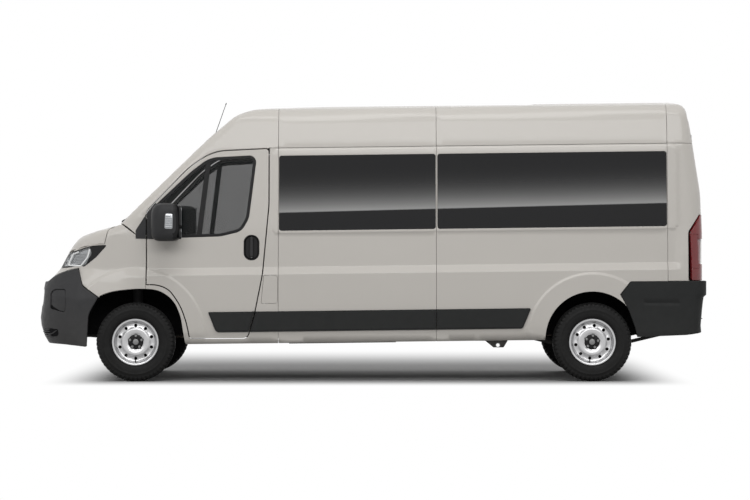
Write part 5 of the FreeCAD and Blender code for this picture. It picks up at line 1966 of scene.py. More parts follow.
    def add_bumper(self) -> None:
        """The grey bumper round the nose, with fog-lamp recesses, and painted shade in the recesses and openings."""
        side = rounded(((-2700, 324), (-2484, 305, 10), (-2467, 595, 160), (-2382, 743, 6), (-2525, 846, 60),
                        (-2568, 996, 10), (-2700, 965, 300), (-2800, 923, 150), (-2842, 892)), 8.0, False)
        flat = BUMPER_SKIN.under(stepped(side, 20.0, False), 20.0)
        low = [(BUMPER_MIDDLE + 780.0 * t, 328.0) for t in np.linspace(0.0, 1.0, 14)]
        top = [(BUMPER_MIDDLE + 640.0 * t, 868.0) for t in np.linspace(1.0, 0.0, 14)]
        loop = self.both(np.vstack([low, flat, top]), BUMPER_MIDDLE)
        recess = stepped(rounded(((-2822, 640, 24), (-2676, 606, 24), (-2672, 815, 24), (-2822, 812, 60))), 20.0)
        fog = BUMPER_SKIN.under(recess, 40.0)
        other = (fog * [-1.0, 1.0] + [2 * BUMPER_MIDDLE, 0.0])[::-1]
        holes = [self.grille_loop(BUMPER_MIDDLE, self.lower_grille, 0.0),
                 self.grille_loop(BUMPER_MIDDLE, self.intake, 0.0), fog, other]
        rows = [np.stack([np.arange(BUMPER_MIDDLE - 1200, BUMPER_MIDDLE + 1200, 40.0), np.full(60, z)], axis=1)
                for z in (345, 541, 700, 800)]
        shape = panel(BUMPER_SKIN, [loop] + holes, Rim(6.0, 30.0, False), 40.0, rows)
        for pocket in (fog, other):
            shape.join(panel(BUMPER_SKIN.at(-10.0), [grown(pocket, -5.0)], Rim(3.0, 10.0), 30.0))
        shape.join(self.ledge(flat, top))
        ready(shape, "front_bumper_skin", GREY_PLASTIC, VAN, "front_bumper")
        # Painted shade: a near-black ring deep round each fog-lamp recess, and flat near-black patches standing for
        # the shaded insides of the openings in and below the recesses.
        dark = panel(BUMPER_SKIN.at(-13.0), [grown(fog, 2.0), grown(fog, -5.0)], Rim(1.0, 12.0), 40.0)
        for lift, depth, corners in (
                (-7.0, 10.0, ((-2826, 690, 10), (-2792, 656, 20), (-2716, 618, 8), (-2822, 614, 8))),
                (1.5, 8.0, ((-2832, 462, 10), (-2742, 462, 16), (-2738, 400, 20), (-2806, 392, 14)))):
            opening = BUMPER_SKIN.under(stepped(rounded(corners), 12.0), 40.0)
            dark.join(panel(BUMPER_SKIN.at(lift), [opening], Rim(2.0, depth), 20.0))
        pair(dark, "bumper_openings", LINER_AND_SHADE)
        fin = BUMPER_SKIN.under(np.array([(-2826.0, 408.0), (-2790.0, 424.0), (-2752.0, 448.0)]), 40.0)
        fin = BUMPER_SKIN.at(3.0)(stepped(fin, 12.0, False))
        pair(tube(fin, 5.0, 8), "bumper_fin", GREY_PLASTIC)

    def ledge(self, side: Array, top: Sequence[Sequence[float]]) -> Shape:
        """The bumper's top face, from its upper edge back under the painted panel.

        Args:
            side: The bumper's left outline, in coordinates that run round it.
            top: The rest of its upper edge, to the middle.

        Returns:
            The face, on both sides.
        """
        count = 60
        rise = side[int(np.argmax(side[:, 1])):]
        front = resampled(BUMPER_SKIN.at(-4.0)(np.vstack([rise, top])), count)
        back = resampled(NOSE_SKIN.at(-9.0)(self.panel_foot()), count) + [0.0, 0.0, 4.0]
        middle = front * 0.45 + back * 0.55 + [0.0, 0.0, 2.0]
        half = Shape().add(np.vstack([front, middle, back]), quads(3, count, False))
        return half.join(half.mirrored())

    @staticmethod
    def panel_foot() -> Array:
        """The painted panel's lower edge, from the left wing to the middle, round the nose."""
        line = [(-2563, 1002), (-2640, 987), (-2700, 971), (-2760, 948), (-2800, 929)]
        beside = NOSE_SKIN.under(stepped(np.array(line, float), 20.0, False), 40.0)
        front = [(NOSE_MIDDLE + reach, z) for reach, z in ((590, 908), (545, 889), (490, 877), (430, 871), (300, 870),
                                                           (150, 870), (0, 870))]
        return np.vstack([beside, front])

    def lamp_loop(self, by: float) -> Array:
        """Draws the headlamp's outline.

        Args:
            by: How far it moves outward.

        Returns:
            The outline, in coordinates that run round the nose.
        """
        side = rounded(((-2308, 1205, 8), (-2444, 1199, 200), (-2597, 1151, 60), (-2660, 1136)), 8.0, False)
        low = rounded(((-2690, 1002), (-2560, 1024, 30), (-2515, 1014, 20), (-2403, 1101, 200), (-2308, 1205)),
                      8.0, False)[:-1]
        inner = NOSE_MIDDLE + self.lamp_inner
        ends = np.array([(inner + 60.0, 1128.0), (inner, 1116.0), (inner + 12.0, 1014.0), (inner + 70.0, 1000.0)])
        loop = np.vstack([NOSE_SKIN.under(side, 20.0), ends, NOSE_SKIN.under(low, 40.0)])
        return stepped(grown(anticlockwise(loop), by), 14.0)

    @staticmethod
    def nose_path(corners: Outline, depth: float, pitch: float = 12.0) -> Array:
        """Runs a path under the nose's skin.

        Args:
            corners: The path in the side view.
            depth: How far under the skin it runs.
            pitch: The longest step.

        Returns:
            The (n, 3) points.
        """
        points = NOSE_SKIN(NOSE_SKIN.under(stepped(rounded(corners, 6.0, False), pitch, False), 40.0))
        return points - NOSE_SKIN.normals(points) * depth

    def add_lamps(self) -> None:
        """Headlamps: black rear wedge, bright reflectors with two barrels, a light guide and a clear lens."""
        outer, inner = self.lamp_loop(-1.5), self.lamp_loop(-6.0)
        border = panel(NOSE_SKIN.at(-1.0), [outer, inner], Rim(1.5, 30.0), 60.0)
        border.join(panel(NOSE_SKIN.at(-34.0), [grown(inner, 3.0)], Rim(1.0, 6.0), 40.0))
        pair(border, "headlamp_housing", LAMP_BLACK, nodes=("headlamps",))
        cut = stepped(np.array([(-2463, 1230), (-2463, 1173), (-2450, 1128), (-2526, 990), (-2280, 990),
                                (-2280, 1230)], float), 25.0)
        rear = NOSE_SKIN.under(cut, 20.0)
        wedge = overlap(grown(inner, 1.0), rear)
        shape = panel(NOSE_SKIN.at(-4.0), [wedge], Rim(2.0, 24.0), 24.0)
        trim = self.nose_path(((-2452, 1176), (-2442, 1130, 40), (-2500, 1030)), 3.0, 8.0)
        shape.join(tube(trim, 3.0, 8))
        pair(shape, "headlamp_black_wedge", LAMP_BLACK)
        front = overlap(grown(inner, -1.0), rear, False)
        pair(panel(NOSE_SKIN, [front], Rim(1.0, 3.0), 30.0), "headlamp_lens", LENS_CLEAR)
        bowl = panel(NOSE_SKIN.at(-17.0), [grown(front, -5.0)], Rim(8.0, 14.0), 14.0)
        middle = NOSE_MIDDLE + self.lamp_inner
        for reach, height, size in ((110.0, 1066.0, 34.0), (208.0, 1076.0, 32.0)):
            spot = circle(middle + reach, height, size, 40)
            bowl.join(panel(NOSE_SKIN.at(-9.0), [spot, circle(middle + reach, height, size - 5.0, 40)],
                            Rim(2.0, 14.0), 30.0))
        pair(bowl, "headlamp_reflector", CHROME)
        fins = Shape()
        for k in range(6):
            z = 1052.0 + 14.0 * k
            fins.join(tube(self.nose_path(((-2640 + 6 * k, z), (-2530 + 8 * k, z + 4)), 13.0), 2.2, 6))
        pair(fins, "headlamp_fins", LAMP_GREY)
        guide = self.nose_path(((-2466, 1166), (-2484, 1096, 40), (-2546, 1020, 16), (-2672, 1024, 12),
                                (-2628, 1122, 16), (-2574, 1142)), 5.0, 8.0)
        pair(tube(guide, 8.0, 12), "headlamp_light_guide", GUIDE)


@dataclass
class FrontDoors:
    """Both cab doors: skin, glass in its black border, handle, mirror, moulding and inner card."""

    gap: float = 4.5
    handle: tuple[float, float, float, float] = (-1027.0, 1182.0, 67.0, 110.0)
    mirror_split: float = -1702.0
    bodies: tuple[str, str] = ("left_front_door_body", "right_front_door_body")

    def build(self) -> None:
        """Builds both doors from the left one's pieces."""
        self.add_skin()
        self.add_glass()
        self.add_handle()
        self.add_card()
        self.add_mirror_foot()
        self.add_mirror()
        strip = overlap(lined(MOULDING), lined(DOOR, -self.gap - 1.0))
        shape = Moulding.pressed(strip)
        pair(shape, "door_moulding_strip", DARK_PLASTIC, self.bodies, ["{}_door_moulding"])

    def oval(self, by: float) -> Array:
        """The handle's upright oval outline."""
        x, z, half, tall = self.handle
        return stepped(grown(rounded(box(x - half, z - tall, x + half, z + tall, half)), by), 14.0)

    def add_skin(self) -> None:
        """The pressed skin and the door's hollow body behind it."""
        rows = side_rows(-1950.0, -880.0)
        shape = panel(SIDE_SKIN, [lined(DOOR, -self.gap), lined(DOOR_WINDOW), self.oval(0.0)], Rim(4.0, 26.0, False),
                      45.0, rows)
        inner = lined(DOOR, -self.gap - 20.0)
        shape.join(panel(SIDE_SKIN.at(-22.0), [lined(DOOR, -self.gap), lined(DOOR_WINDOW, 3.0)], Rim(2.0, 4.0), 60.0))
        shape.join(panel(SIDE_SKIN.at(-26.0), [inner, lined(DOOR_WINDOW, 2.0)], Rim(6.0, 26.0), 60.0))
        pair(shape, "front_door_skin", PAINT, self.bodies, ["{}_front_door"])

    def add_glass(self) -> None:
        """Fixed quarter light and drop glass, in a broad black border with a bar between them."""
        loops = [lined(DOOR_WINDOW, -0.5), lined(DOOR_WINDOW, -27.0)]
        border = panel(SIDE_SKIN.at(-2.5), loops, Rim(3.0, 24.0), 60.0)
        bar = np.array([(-1430, 1960), (-1384, 1970), (-1474, 1250), (-1519, 1250)], float)
        post = overlap(lined(DOOR_WINDOW, -12.0), stepped(bar, 40.0))
        border.join(panel(SIDE_SKIN.at(-3.5), [post], Rim(3.0, 20.0), 60.0))
        pair(border, "door_window_border", GASKET, self.bodies)
        shape = panel(SIDE_SKIN.at(-8.0), [lined(DOOR_WINDOW, -24.0)], Rim(0.3, 4.0), 70.0)
        pair(shape, "door_window_glass", CAB_GLASS, self.bodies, ["{}_door_glass"])

    def add_handle(self) -> None:
        """An upright grip in an oval bowl, with a lock under it."""
        bowl = panel(SIDE_SKIN.at(2.0), [self.oval(3.0), self.oval(-6.0)], Rim(3.0, 22.0), 60.0)
        bowl.join(panel(SIDE_SKIN.at(-16.0), [self.oval(-4.0)], Rim(12.0, 6.0), 12.0))
        x, z, _, tall = self.handle
        grip = rounded(((x - 17, z - tall + 24, 17), (x + 17, z - tall + 24, 17), (x + 14, z + tall - 12, 14),
                        (x - 14, z + tall - 12, 14)))
        pair(bowl, "door_handle_bowl", GASKET, self.bodies)
        pair(panel(SIDE_SKIN.at(11.0), [stepped(grip, 14.0)], Rim(10.0, 26.0), 12.0), "door_handle_grip",
             BLACK_PLASTIC, self.bodies)
        lock = panel(SIDE_SKIN.at(-4.0), [circle(x, z - tall + 26.0, 9.0, 24)], Rim(2.0, 14.0), 20.0)
        pair(lock, "door_lock", BOLT, self.bodies)

    def add_card(self) -> None:
        """The door's inner card with its armrest, pocket and speaker ring."""
        low = np.array(box(-1900, 400, -880, 1250), float)
        outline = overlap(lined(DOOR, -self.gap - 34.0), stepped(low, 40.0))
        shape = panel(SIDE_SKIN.at(-52.0), [outline], Rim(6.0, 10.0), 60.0)
        speaker = [circle(-1480.0, 560.0, r, 48) for r in (86.0, 74.0)]
        shape.join(panel(SIDE_SKIN.at(-56.0), speaker, Rim(3.0, 12.0), 40.0))
        pocket = stepped(rounded(((-1380, 440, 30), (-1130, 440, 30), (-1090, 600, 30), (-1380, 600, 30))), 25.0)
        shape.join(panel(SIDE_SKIN.at(-56.0), [pocket, grown(pocket, -12.0)], Rim(4.0, 24.0), 40.0))
        rest = stepped(rounded(((-1560, 905, 20), (-1080, 905, 30), (-1060, 985, 30), (-1500, 970, 30))), 25.0)
        shape.join(panel(SIDE_SKIN.at(-56.0), [rest], Rim(14.0, 44.0), 25.0))
        pair(shape, "door_card", DASH, self.bodies)

    def add_mirror_foot(self) -> None:
        """Black corner plates that the mirror stands on: one on the door, one ahead of it on the body."""
        plate = rounded(((-2053, 1262, 6), (-1850, 1256, 14), (-1852, 1560, 20), (-1880, 1580, 14), (-1962, 1475, 60),
                         (-2053, 1335, 6)))
        for name, x0, x1, bodies in (("mirror_plate", -1951.0, -1800.0, self.bodies),
                                     ("corner_plate", -2100.0, -1961.0, (VAN, VAN))):
            loop = overlap(stepped(plate, 25.0), patch(x0, 1200, x1, 1700))
            pair(panel(SIDE_SKIN.at(5.0), [loop], Rim(3.0, 8.0), 25.0), name, BLACK_PLASTIC, bodies)
        seal = rounded(box(-1980, 1296, -1953, 1372, 6))
        pair(panel(SIDE_SKIN.at(-26.0), [seal], Rim(2.0, 3.0), 25.0), "mirror_plate_seal", GASKET, (VAN, VAN))

    def add_mirror(self) -> None:
        """The tall mirror: rounded housing, two glasses, side lamp and double arm."""
        rings, count, sides = [], 26, 56
        x1, z0, z1 = -1632.0, 1238.0, 1572.0
        turn = np.arange(sides) * 2 * math.pi / sides
        power = 2.0 / 4.2
        for k in range(count):
            t = k / (count - 1)
            y = -1040.0 - 210.0 * t
            swell = math.sqrt(max(0.0, 1.0 - abs(2 * t - 0.92) ** 3.2 / 1.16 ** 3.2))
            x0 = -1904.0 + 8.0 * (1 - swell) + 52.0 * max(0.0, t - 0.45) ** 1.4
            middle = ((x0 + x1) / 2, (z0 + z1) / 2)
            a, b = (x1 - x0) / 2 * (0.35 + 0.65 * swell), (z1 - z0) / 2 * (0.3 + 0.7 * swell)
            cx = np.sign(np.cos(turn)) * np.abs(np.cos(turn)) ** power * a
            cz = np.sign(np.sin(turn)) * np.abs(np.sin(turn)) ** power * b
            cx = cx * (1.0 - 0.10 * np.clip(cz / b, 0, 1) ** 2)
            ring = np.stack([middle[0] + cx, np.full(sides, y), middle[1] + cz], axis=1)
            rings.append(np.where(ring[:, :1] > x1 - 14.0, ring * [0, 1, 1] + [x1 - 14.0, 0, 0], ring))
        whole = Shape().add(np.vstack(rings), [face[::-1] for face in capped(count, sides)])
        pair(whole.chosen(lambda spot: spot[0] > self.mirror_split), "mirror_rim", GASKET, self.bodies, sharp=50.0)
        shape = whole.chosen(lambda spot: spot[0] <= self.mirror_split)
        for z, y in ((1325.0, -965.0), (1470.0, -950.0)):
            shape.join(tube([(-1893, y, z), (-1885, y - 40, z), (-1862, -1030, z), (-1835, -1085, z)], 21.0, 20))
        pair(shape, "mirror_housing", BLACK_PLASTIC, self.bodies, ["{}_mirror"], sharp=50.0)
        lens = rounded(((-1777, 1348, 14), (-1704, 1345, 14), (-1701, 1480, 18), (-1770, 1482, 18)))
        lamp = block(lens, -1253.0, -1240.0, 1, 4.0)
        for k in range(6):
            rib = rounded(box(-1768, 1362 + 19 * k, -1712, 1370 + 19 * k, 3), 3.0)
            lamp.join(block(rib, -1256.0, -1252.0, 1, 1.5))
        pair(lamp, "mirror_side_lamp", CHROME, self.bodies)
        for word, z0, z1 in (("main", 1372.0, 1545.0), ("wide", 1262.0, 1358.0)):
            glass = rounded(((-1232, z0, 22), (-1062, z0, 22), (-1062, z1, 26), (-1225, z1, 40)))
            frame = block(grown(glass, 5.0), -1652.0, -1643.5, 0, 2.0)
            pane = block(glass, -1645.0, -1642.5, 0, 0.6)
            for part, name, finish in ((frame, "frame", GASKET), (pane, "glass", MIRROR)):
                lean = np.maximum(-1062.0 - part.points[:, 1], 0.0) * 0.08
                part.points[:, 0] += np.where(part.points[:, 0] > -1650.0, lean, 0.0)
                pair(part, "mirror_%s_%s" % (word, name), finish, self.bodies)


@dataclass
class Moulding:
    """The protective mouldings along the fixed sides and the sliding door."""

    def build(self) -> None:
        """Fits the strips, stopped at each seam."""
        behind = overlap(lined(MOULDING), lined(DOOR, 5.5), False)
        for word, x0, x1 in (("middle", -1040.0, MIDDLE_SEAM - 2.0), ("rear", MIDDLE_SEAM + 2.0, 1500.0)):
            shape = self.pressed(overlap(behind, patch(x0, 300, x1, 900)))
            pair(shape, "side_moulding_%s" % word, DARK_PLASTIC, nodes=("side_mouldings",) if word == "rear" else ())

    @staticmethod
    def pressed(loop: Array) -> Shape:
        """A strip that stands off the side, with a raised field inside its edge."""
        shape = panel(SIDE_SKIN.at(15.0), [loop], Rim(5.0, 15.0), 60.0)
        return shape.join(panel(SIDE_SKIN.at(18.5), [grown(loop, -12.0)], Rim(3.0, 6.0), 60.0))


@dataclass
class Rear:
    """Rear doors, tail lamps and the rear bumper with its step."""

    hinges: tuple[float, ...] = (760.0, 1270.0, 2150.0)

    def build(self) -> None:
        """Builds the tail from the doors outward."""
        self.add_doors()
        self.add_lamps()
        self.add_bumper()

    @staticmethod
    def face(corners: Outline, by: float = 0.0) -> Array:
        """An outline seen from behind (y, z), in coordinates that run round the tail."""
        shape = rounded(tuple((c[0] + TAIL_MIDDLE,) + tuple(c[1:]) for c in corners), 8.0)
        return stepped(grown(shape, by), 30.0)

    def add_doors(self) -> None:
        """Two doors with flush windows, swaged skins, inner frames, hinges, handle and blank plate."""
        outline = box(-784, 558, -5.5, 2337, 6, 6, 6, 104)
        window = box(-690, 1365, -95, 2090, 50)
        bodies = ("left_rear_door_body", "right_rear_door_body")
        shape = panel(TAIL_SKIN, [self.face(outline), self.face(window, 1.0)], Rim(4.0, 20.0), 60.0)
        inner = box(-764, 580, -30, 2315, 20, 20, 20, 90)
        shape.join(panel(TAIL_SKIN.at(-19.0), [self.face(inner), self.face(window, -12.0)], Rim(6.0, 28.0), 70.0))
        for low, high in ((640.0, 900.0), (1010.0, 1240.0)):
            swage = self.face(box(-700, low, -90, high, 30))
            shape.join(panel(TAIL_SKIN.at(4.0), [swage, grown(swage, -16.0)], Rim(5.0, 6.0), 40.0))
        pair(shape, "rear_door_skin", PAINT, bodies, ["{}_rear_door"])
        border = panel(TAIL_SKIN.at(-1.5), [self.face(window, -0.5), self.face(window, -34.0)], Rim(2.0, 6.0), 60.0)
        pair(border, "rear_window_border", GASKET, bodies)
        pane = panel(TAIL_SKIN.at(-2.0), [self.face(window, -33.0)], Rim(0.3, 5.0), 90.0)
        pair(pane, "rear_window_pane", REAR_GLASS, bodies, ["{}_rear_window"])
        card = self.face(box(-740, 640, -60, 1290, 30))
        pair(panel(TAIL_SKIN.at(-48.0), [card], Rim(6.0, 10.0), 70.0), "rear_door_card", LINING, bodies)
        for k, z in enumerate(self.hinges):
            strap = self.face(((-776, z - 32, 8), (-690, z - 22, 12), (-690, z + 22, 12), (-776, z + 32, 8)))
            pair(panel(TAIL_SKIN.at(3.0), [strap], Rim(2.0, 4.0), 40.0), "rear_hinge_strap_%d" % k, PAINT, bodies)
            lean = float(TAIL_SKIN(np.array([[TAIL_MIDDLE - 700.0, z]]))[0, 0])
            pin = tube([(lean - 7.0, -792.0, z - 34.0), (lean - 7.0, -792.0, z + 34.0)], 6.0, 16)
            pair(pin, "rear_hinge_pin_%d" % k, BOLT, bodies)
        for side, body, start, depth in zip(Side, bodies, (-28.0, -3.0), (-23.0, -31.0)):
            lip = panel(TAIL_SKIN.at(depth), [self.face(box(start, 575, start + 31, 2320))], Rim(1.5, 4.0), 60.0)
            ready(lip, "%s_rear_door_seal" % side.word, GASKET, body)
        self.add_door_trim()

    def add_door_trim(self) -> None:
        """Handle on the left door, blank plate on the right one, and the brake lamp over them."""
        grip = self.face(box(-150, 1090, -32, 1160, 20, 12, 12, 20))
        handle = panel(TAIL_SKIN.at(5.0), [grip, grown(grip, -9.0)], Rim(3.0, 12.0), 30.0)
        bar = self.face(box(-140, 1136, -42, 1152, 8))
        handle.join(panel(TAIL_SKIN.at(9.0), [bar], Rim(5.0, 16.0), 20.0))
        ready(handle, "rear_door_handle", GASKET, "left_rear_door_body")
        frame = self.face(box(100, 1045, 640, 1185, 14))
        shape = panel(TAIL_SKIN.at(6.0), [frame, grown(frame, -14.0)], Rim(4.0, 10.0), 40.0)
        ready(shape, "plate_frame", GASKET, "right_rear_door_body")
        plate = panel(TAIL_SKIN.at(3.0), [grown(frame, -12.0)], Rim(2.0, 4.0), 60.0)
        ready(plate, "blank_plate", PLATE, "right_rear_door_body")
        brake = self.face(((-150, 2362, 8), (150, 2362, 8), (140, 2390, 8), (-140, 2390, 8)))
        ready(panel(TAIL_SKIN.at(6.0), [brake], Rim(4.0, 8.0), 30.0), "high_brake_lamp", LENS_RED)

    def add_lamps(self) -> None:
        """Tall lamps round the corners: red lower and upper parts with a red strip beside the window, a clear window,
        and a red housing behind.
        """
        edge = TAIL_MIDDLE - 791.0
        shape = np.array(rounded(((2836, 892, 14), (2836, 1322, 90), (2934, 1474, 24), (edge, 1474, 10),
                                  (edge, 892, 10)), 6.0))[::-1]
        whole = stepped(shape, 16.0)
        splits = (("red_low", 880.0, 1036.0, LENS_RED), ("window", 1040.0, 1252.0, LENS_CLEAR),
                  ("red_high", 1256.0, 1500.0, LENS_RED))
        inner = 2893.0
        strip = overlap(whole, np.array(box(2800, 1000, inner - 2, 1300), float))
        pair(panel(TAIL_SKIN.at(4.0), [strip], Rim(4.0, 12.0), 20.0), "tail_lamp_red_side", LENS_RED)
        for word, low, high, finish in splits:
            cut = np.array(box(2700, low, 3200, high), float)
            part = overlap(whole, stepped(cut, 40.0))
            if word == "window":
                part = overlap(part, np.array(box(inner, 900, 3300, 1400), float))
            else:
                part = overlap(part, strip, False)
            pair(panel(TAIL_SKIN.at(4.0), [part], Rim(4.0, 12.0), 20.0), "tail_lamp_%s" % word, finish,
                 nodes=("tail_lamps",) if word == "window" else ())
        back = panel(TAIL_SKIN.at(-14.0), [grown(whole, -3.0)], Rim(4.0, 40.0), 24.0)
        pair(back, "tail_lamp_housing", LAMP_BACK)

    def add_bumper(self) -> None:
        """The bumper's corner caps and the low bar with the step between them."""
        post = STEP_MIDDLE - 800.0
        top = [(2303, 634), (2226, 772), (2317, 884), (2600, 886), (2850, 888), (post, 888)]
        inner = [(post, 546), (STEP_MIDDLE, 546)]
        bottom = [(STEP_MIDDLE, 434), (3060, 434), (2960, 426), (2811, 409), (2380, 391), (2360, 477)]
        ring = np.array(bottom + top + inner, float)
        half = stepped(ring[1:], 25.0, False)
        start = np.array([[STEP_MIDDLE, 434.0]])
        loop = np.vstack([start, half])
        right = loop[::-1] * [-1.0, 1.0] + [2 * STEP_MIDDLE, 0.0]
        whole = stepped(np.vstack([loop, right[1:-1]]), 25.0)
        whole = whole if area_of(whole) > 0 else whole[::-1]
        rows = [np.stack([np.linspace(2230.0, 2 * STEP_MIDDLE - 2230.0, 120), np.full(120, z)], axis=1)
                for z in (492, 686, 694, 702, 745, 765)]
        shape = panel(STEP_SKIN, [whole], Rim(7.0, 44.0), 40.0, rows)
        ready(shape, "rear_bumper_skin", DARK_PLASTIC, VAN, "rear_bumper")
        steps = Shape()
        for k in range(14):
            y = -720.0 + 104.0 * k
            steps.join(block(rounded(box(2950, y, 2986, y + 88, 4)), 545.0, 551.0, 2, 2.0))
        ready(steps, "rear_step_treads", BLACK_PLASTIC)


@dataclass
class RoadWheel:
    """A tyre with block tread on a pressed steel rim with vents, bolts and a cap, drawn at the left front."""

    tyre_r: float = 348.0
    blocks_round: int = 54
    vents: int = 10
    vent_r: float = 14.5
    vent_circle: float = 146.0
    bolts: int = 5
    bolt_circle: float = 54.0
    steps: int = 216

    def tyre(self) -> Shape:
        """The tyre: beads, walls with raised rings, shoulder blocks and tread ribs."""
        half = [(83.5, 190.5), (84.0, 206.0), (88.0, 211.0), (94.0, 216.0), (103.0, 226.0), (104.5, 229.0),
                (106.0, 229.5), (111.0, 245.0), (112.4, 262.0), (112.0, 276.0), (113.2, 279.0), (113.2, 284.0),
                (111.5, 287.0), (109.5, 300.0), (107.0, 310.0), (107.5, 313.0), (103.5, 326.0), (97.0, 336.0),
                (89.0, 341.0), (78.0, 344.5), (66.0, 346.5), (64.0, 346.8), (62.0, 338.5), (54.0, 338.5),
                (52.0, 347.4), (30.0, 347.9), (28.0, 339.0), (20.0, 339.0), (18.0, 348.0)]
        profile = np.array([(-y, r) for y, r in half] + [(y, r) for y, r in half[::-1]])
        rows = len(profile)
        depth = np.zeros(rows)
        for k, (y, r) in enumerate(profile):
            depth[k] = 9.0 if 64.0 <= abs(y) <= 104.0 and r > 318 else 4.0 if abs(y) > 104 and r > 309 else 0.0
            depth[k] += 2.2 if abs(y) < 53.0 and r > 345 else 0.0

        def blocks(angles: Array, row: Array) -> Array:
            """Cuts the grooves between the tread's blocks.

            Args:
                angles: Turns about the axis.
                row: Numbers of the profile's points.

            Returns:
                How far the tyre stands out there, negative in a groove.
            """
            lag = np.where(profile[row[:, 0], 0] > 0, 0.5, 0.0)[:, None]
            return -depth[row] * (np.cos(angles * self.blocks_round + lag * 2 * math.pi) > 0.45)

        return revolved(profile, self.steps * 2, blocks)

    def rim(self) -> Shape:
        """The rim's barrel, outer lip and back."""
        section = [(-88, 206), (-90, 200), (-88, 190), (-60, 188), (-30, 176), (20, 176), (60, 187), (84, 189),
                   (86, 198), (86, 206.5), (89, 207), (91.5, 204), (91.5, 198), (89, 190), (82, 184), (72, 178),
                   (66, 174), (58, 171), (20, 168), (-60, 170), (-84, 184), (-88, 206)]
        return revolved(np.array([(-y, r) for y, r in section], float)[::-1], 144)

    @staticmethod
    def dish_height(r: Array) -> Array:
        """Finds how far the rim's disc stands out.

        Args:
            r: Radii.

        Returns:
            The distances at them.
        """
        rows = ((0, 47), (62, 47), (72, 49), (84, 55), (102, 58), (116, 57), (124, 52), (134, 46), (158, 42),
                (168, 46), (174, 58))
        dense = np.arange(0.0, 180.0, 1.0)
        return np.interp(r, dense, softened(np.interp(dense, *zip(*rows))))

    def disc(self) -> Shape:
        """The pressed disc with its vents, raised ring and bolt seats."""

        def form(p: Array) -> Array:
            """Measures how far points lie outward from the disc.

            Args:
                p: (n, 3) points.

            Returns:
                The distances.
            """
            r, turn = np.hypot(p[:, 0], p[:, 2]), np.arctan2(p[:, 2], p[:, 0])
            seats = 2.5 * np.exp(-((r - self.vent_circle) / 16.0) ** 2) * np.cos(turn * self.vents + math.pi)
            return -p[:, 1] - self.dish_height(r) - seats

        skin = RaySkin(form, lambda flat: (np.stack([flat[:, 0], np.zeros(len(flat)), flat[:, 1]], axis=1),
                                           np.tile([0.0, -1.0, 0.0], (len(flat), 1))), 200.0)
        holes = []
        for k in range(self.vents):
            a = 2 * math.pi * k / self.vents + math.pi / 2
            holes.append(circle(self.vent_circle * math.cos(a), self.vent_circle * math.sin(a), self.vent_r, 24))
        rings = [circle(0, 0, r, 72) for r in (76, 86, 100, 112, 120, 128, 164)]
        rings = [np.vstack([ring, ring[:1]]) for ring in rings]
        return panel(skin, [circle(0, 0, 173.0, 96), circle(0, 0, 30.0, 40)] + holes, Rim(1.5, 9.0), 14.0, rings)

    def hub(self) -> Shape:
        """The black hub centre with its spider."""
        shape = revolved(np.array([(-52, 0.1), (-53, 24), (-54, 27), (-53, 29), (-50, 31), (-49, 68), (-47, 73),
                                   (-40, 74)], float)[::-1], 72)
        for k in range(self.bolts):
            a = 2 * math.pi * k / self.bolts + math.pi / 2
            spot = (self.bolt_circle * math.cos(a), self.bolt_circle * math.sin(a))
            cup = revolved(np.array([(-49, 17), (-52.5, 16.5), (-53, 14.5), (-50, 13.0)], float)[::-1], 24)
            shape.join(cup.moved((spot[0], 0, spot[1])))
        return shape

    def fasteners(self) -> Shape:
        """Wheel bolts round the hub, and the plain cap in the middle."""
        shape = revolved(np.array([(-61, 0.1), (-61, 18), (-59.5, 24), (-56, 27), (-50, 27.5)], float)[::-1], 48)
        for k in range(self.bolts):
            a = 2 * math.pi * k / self.bolts + math.pi / 2
            bolt = revolved(np.array([(-64, 0.1), (-64, 8), (-62.5, 9.6), (-52, 9.6), (-51, 12.5), (-49, 12.5)],
                                     float)[::-1], 6)
            shape.join(bolt.moved((self.bolt_circle * math.cos(a), 0, self.bolt_circle * math.sin(a))))
        return shape

    def valve(self) -> Shape:
        """The tyre valve, through the rim's edge."""
        return tube([(0, -60, -172), (0, -74, -166), (0, -90, -160)], (5.0, 4.5, 3.4), 10)

    def fit(self, name: str, x: float, y: float, turn: float) -> None:
        """Places one wheel.

        Args:
            name: The wheel's name, with its side.
            x: The axle's place.
            y: The wheel's middle across the van, negative on the left.
            turn: How far the wheel stands turned about its axle, in degrees.
        """
        body = name + "_wheel"
        parts = (("tyre_tread", self.tyre(), TYRE, (name + "_tyre",)), ("rim_barrel", self.rim(), WHEEL_STEEL, ()),
                 ("rim_disc", self.disc(), WHEEL_STEEL, (name + "_rim",)), ("hub_centre", self.hub(), GASKET, ()),
                 ("wheel_bolts", self.fasteners(), BOLT, ()), ("tyre_valve", self.valve(), GASKET, ()))
        for word, shape, finish, nodes in parts:
            shape = shape.turned("y", turn)
            shape = shape if y < 0 else shape.mirrored()
            ready(shape.moved((x, y, self.tyre_r)), "%s_%s" % (name, word), finish, body, *nodes, sharp=28.0)


@dataclass
class Wheels:
    """The four road wheels at their hubs."""

    front_x: float = -2051.0
    rear_x: float = 1984.0
    front_y: float = 905.0
    rear_y: float = 895.0

    def build(self) -> None:
        """Fits all four."""
        wheel = RoadWheel()
        for end, x, y in (("front", self.front_x, self.front_y), ("rear", self.rear_x, self.rear_y)):
            for side in Side:
                wheel.fit("%s_%s" % (end, side.word), x, side.value * y, 0.0 if end == "front" else 8.0)


@dataclass(frozen=True)
class Groove:
    """A sewn line in a padded piece: a straight run between two points of a drawing view, and how it pulls in."""

    start: tuple[float, float]
    end: tuple[float, float]
    depth: float = 9.0
    width: float = 9.0

    def distance(self, flat: Array) -> Array:
        """Measures how far points lie from the line.

        Args:
            flat: (n, 2) points of the view.

        Returns:
            The distances.
        """
        start, end = np.array(self.start), np.array(self.end)
        way = end - start
        along = np.clip((flat - start) @ way / float(way @ way), 0.0, 1.0)
        return np.linalg.norm(flat - start - along[:, None] * way, axis=1)


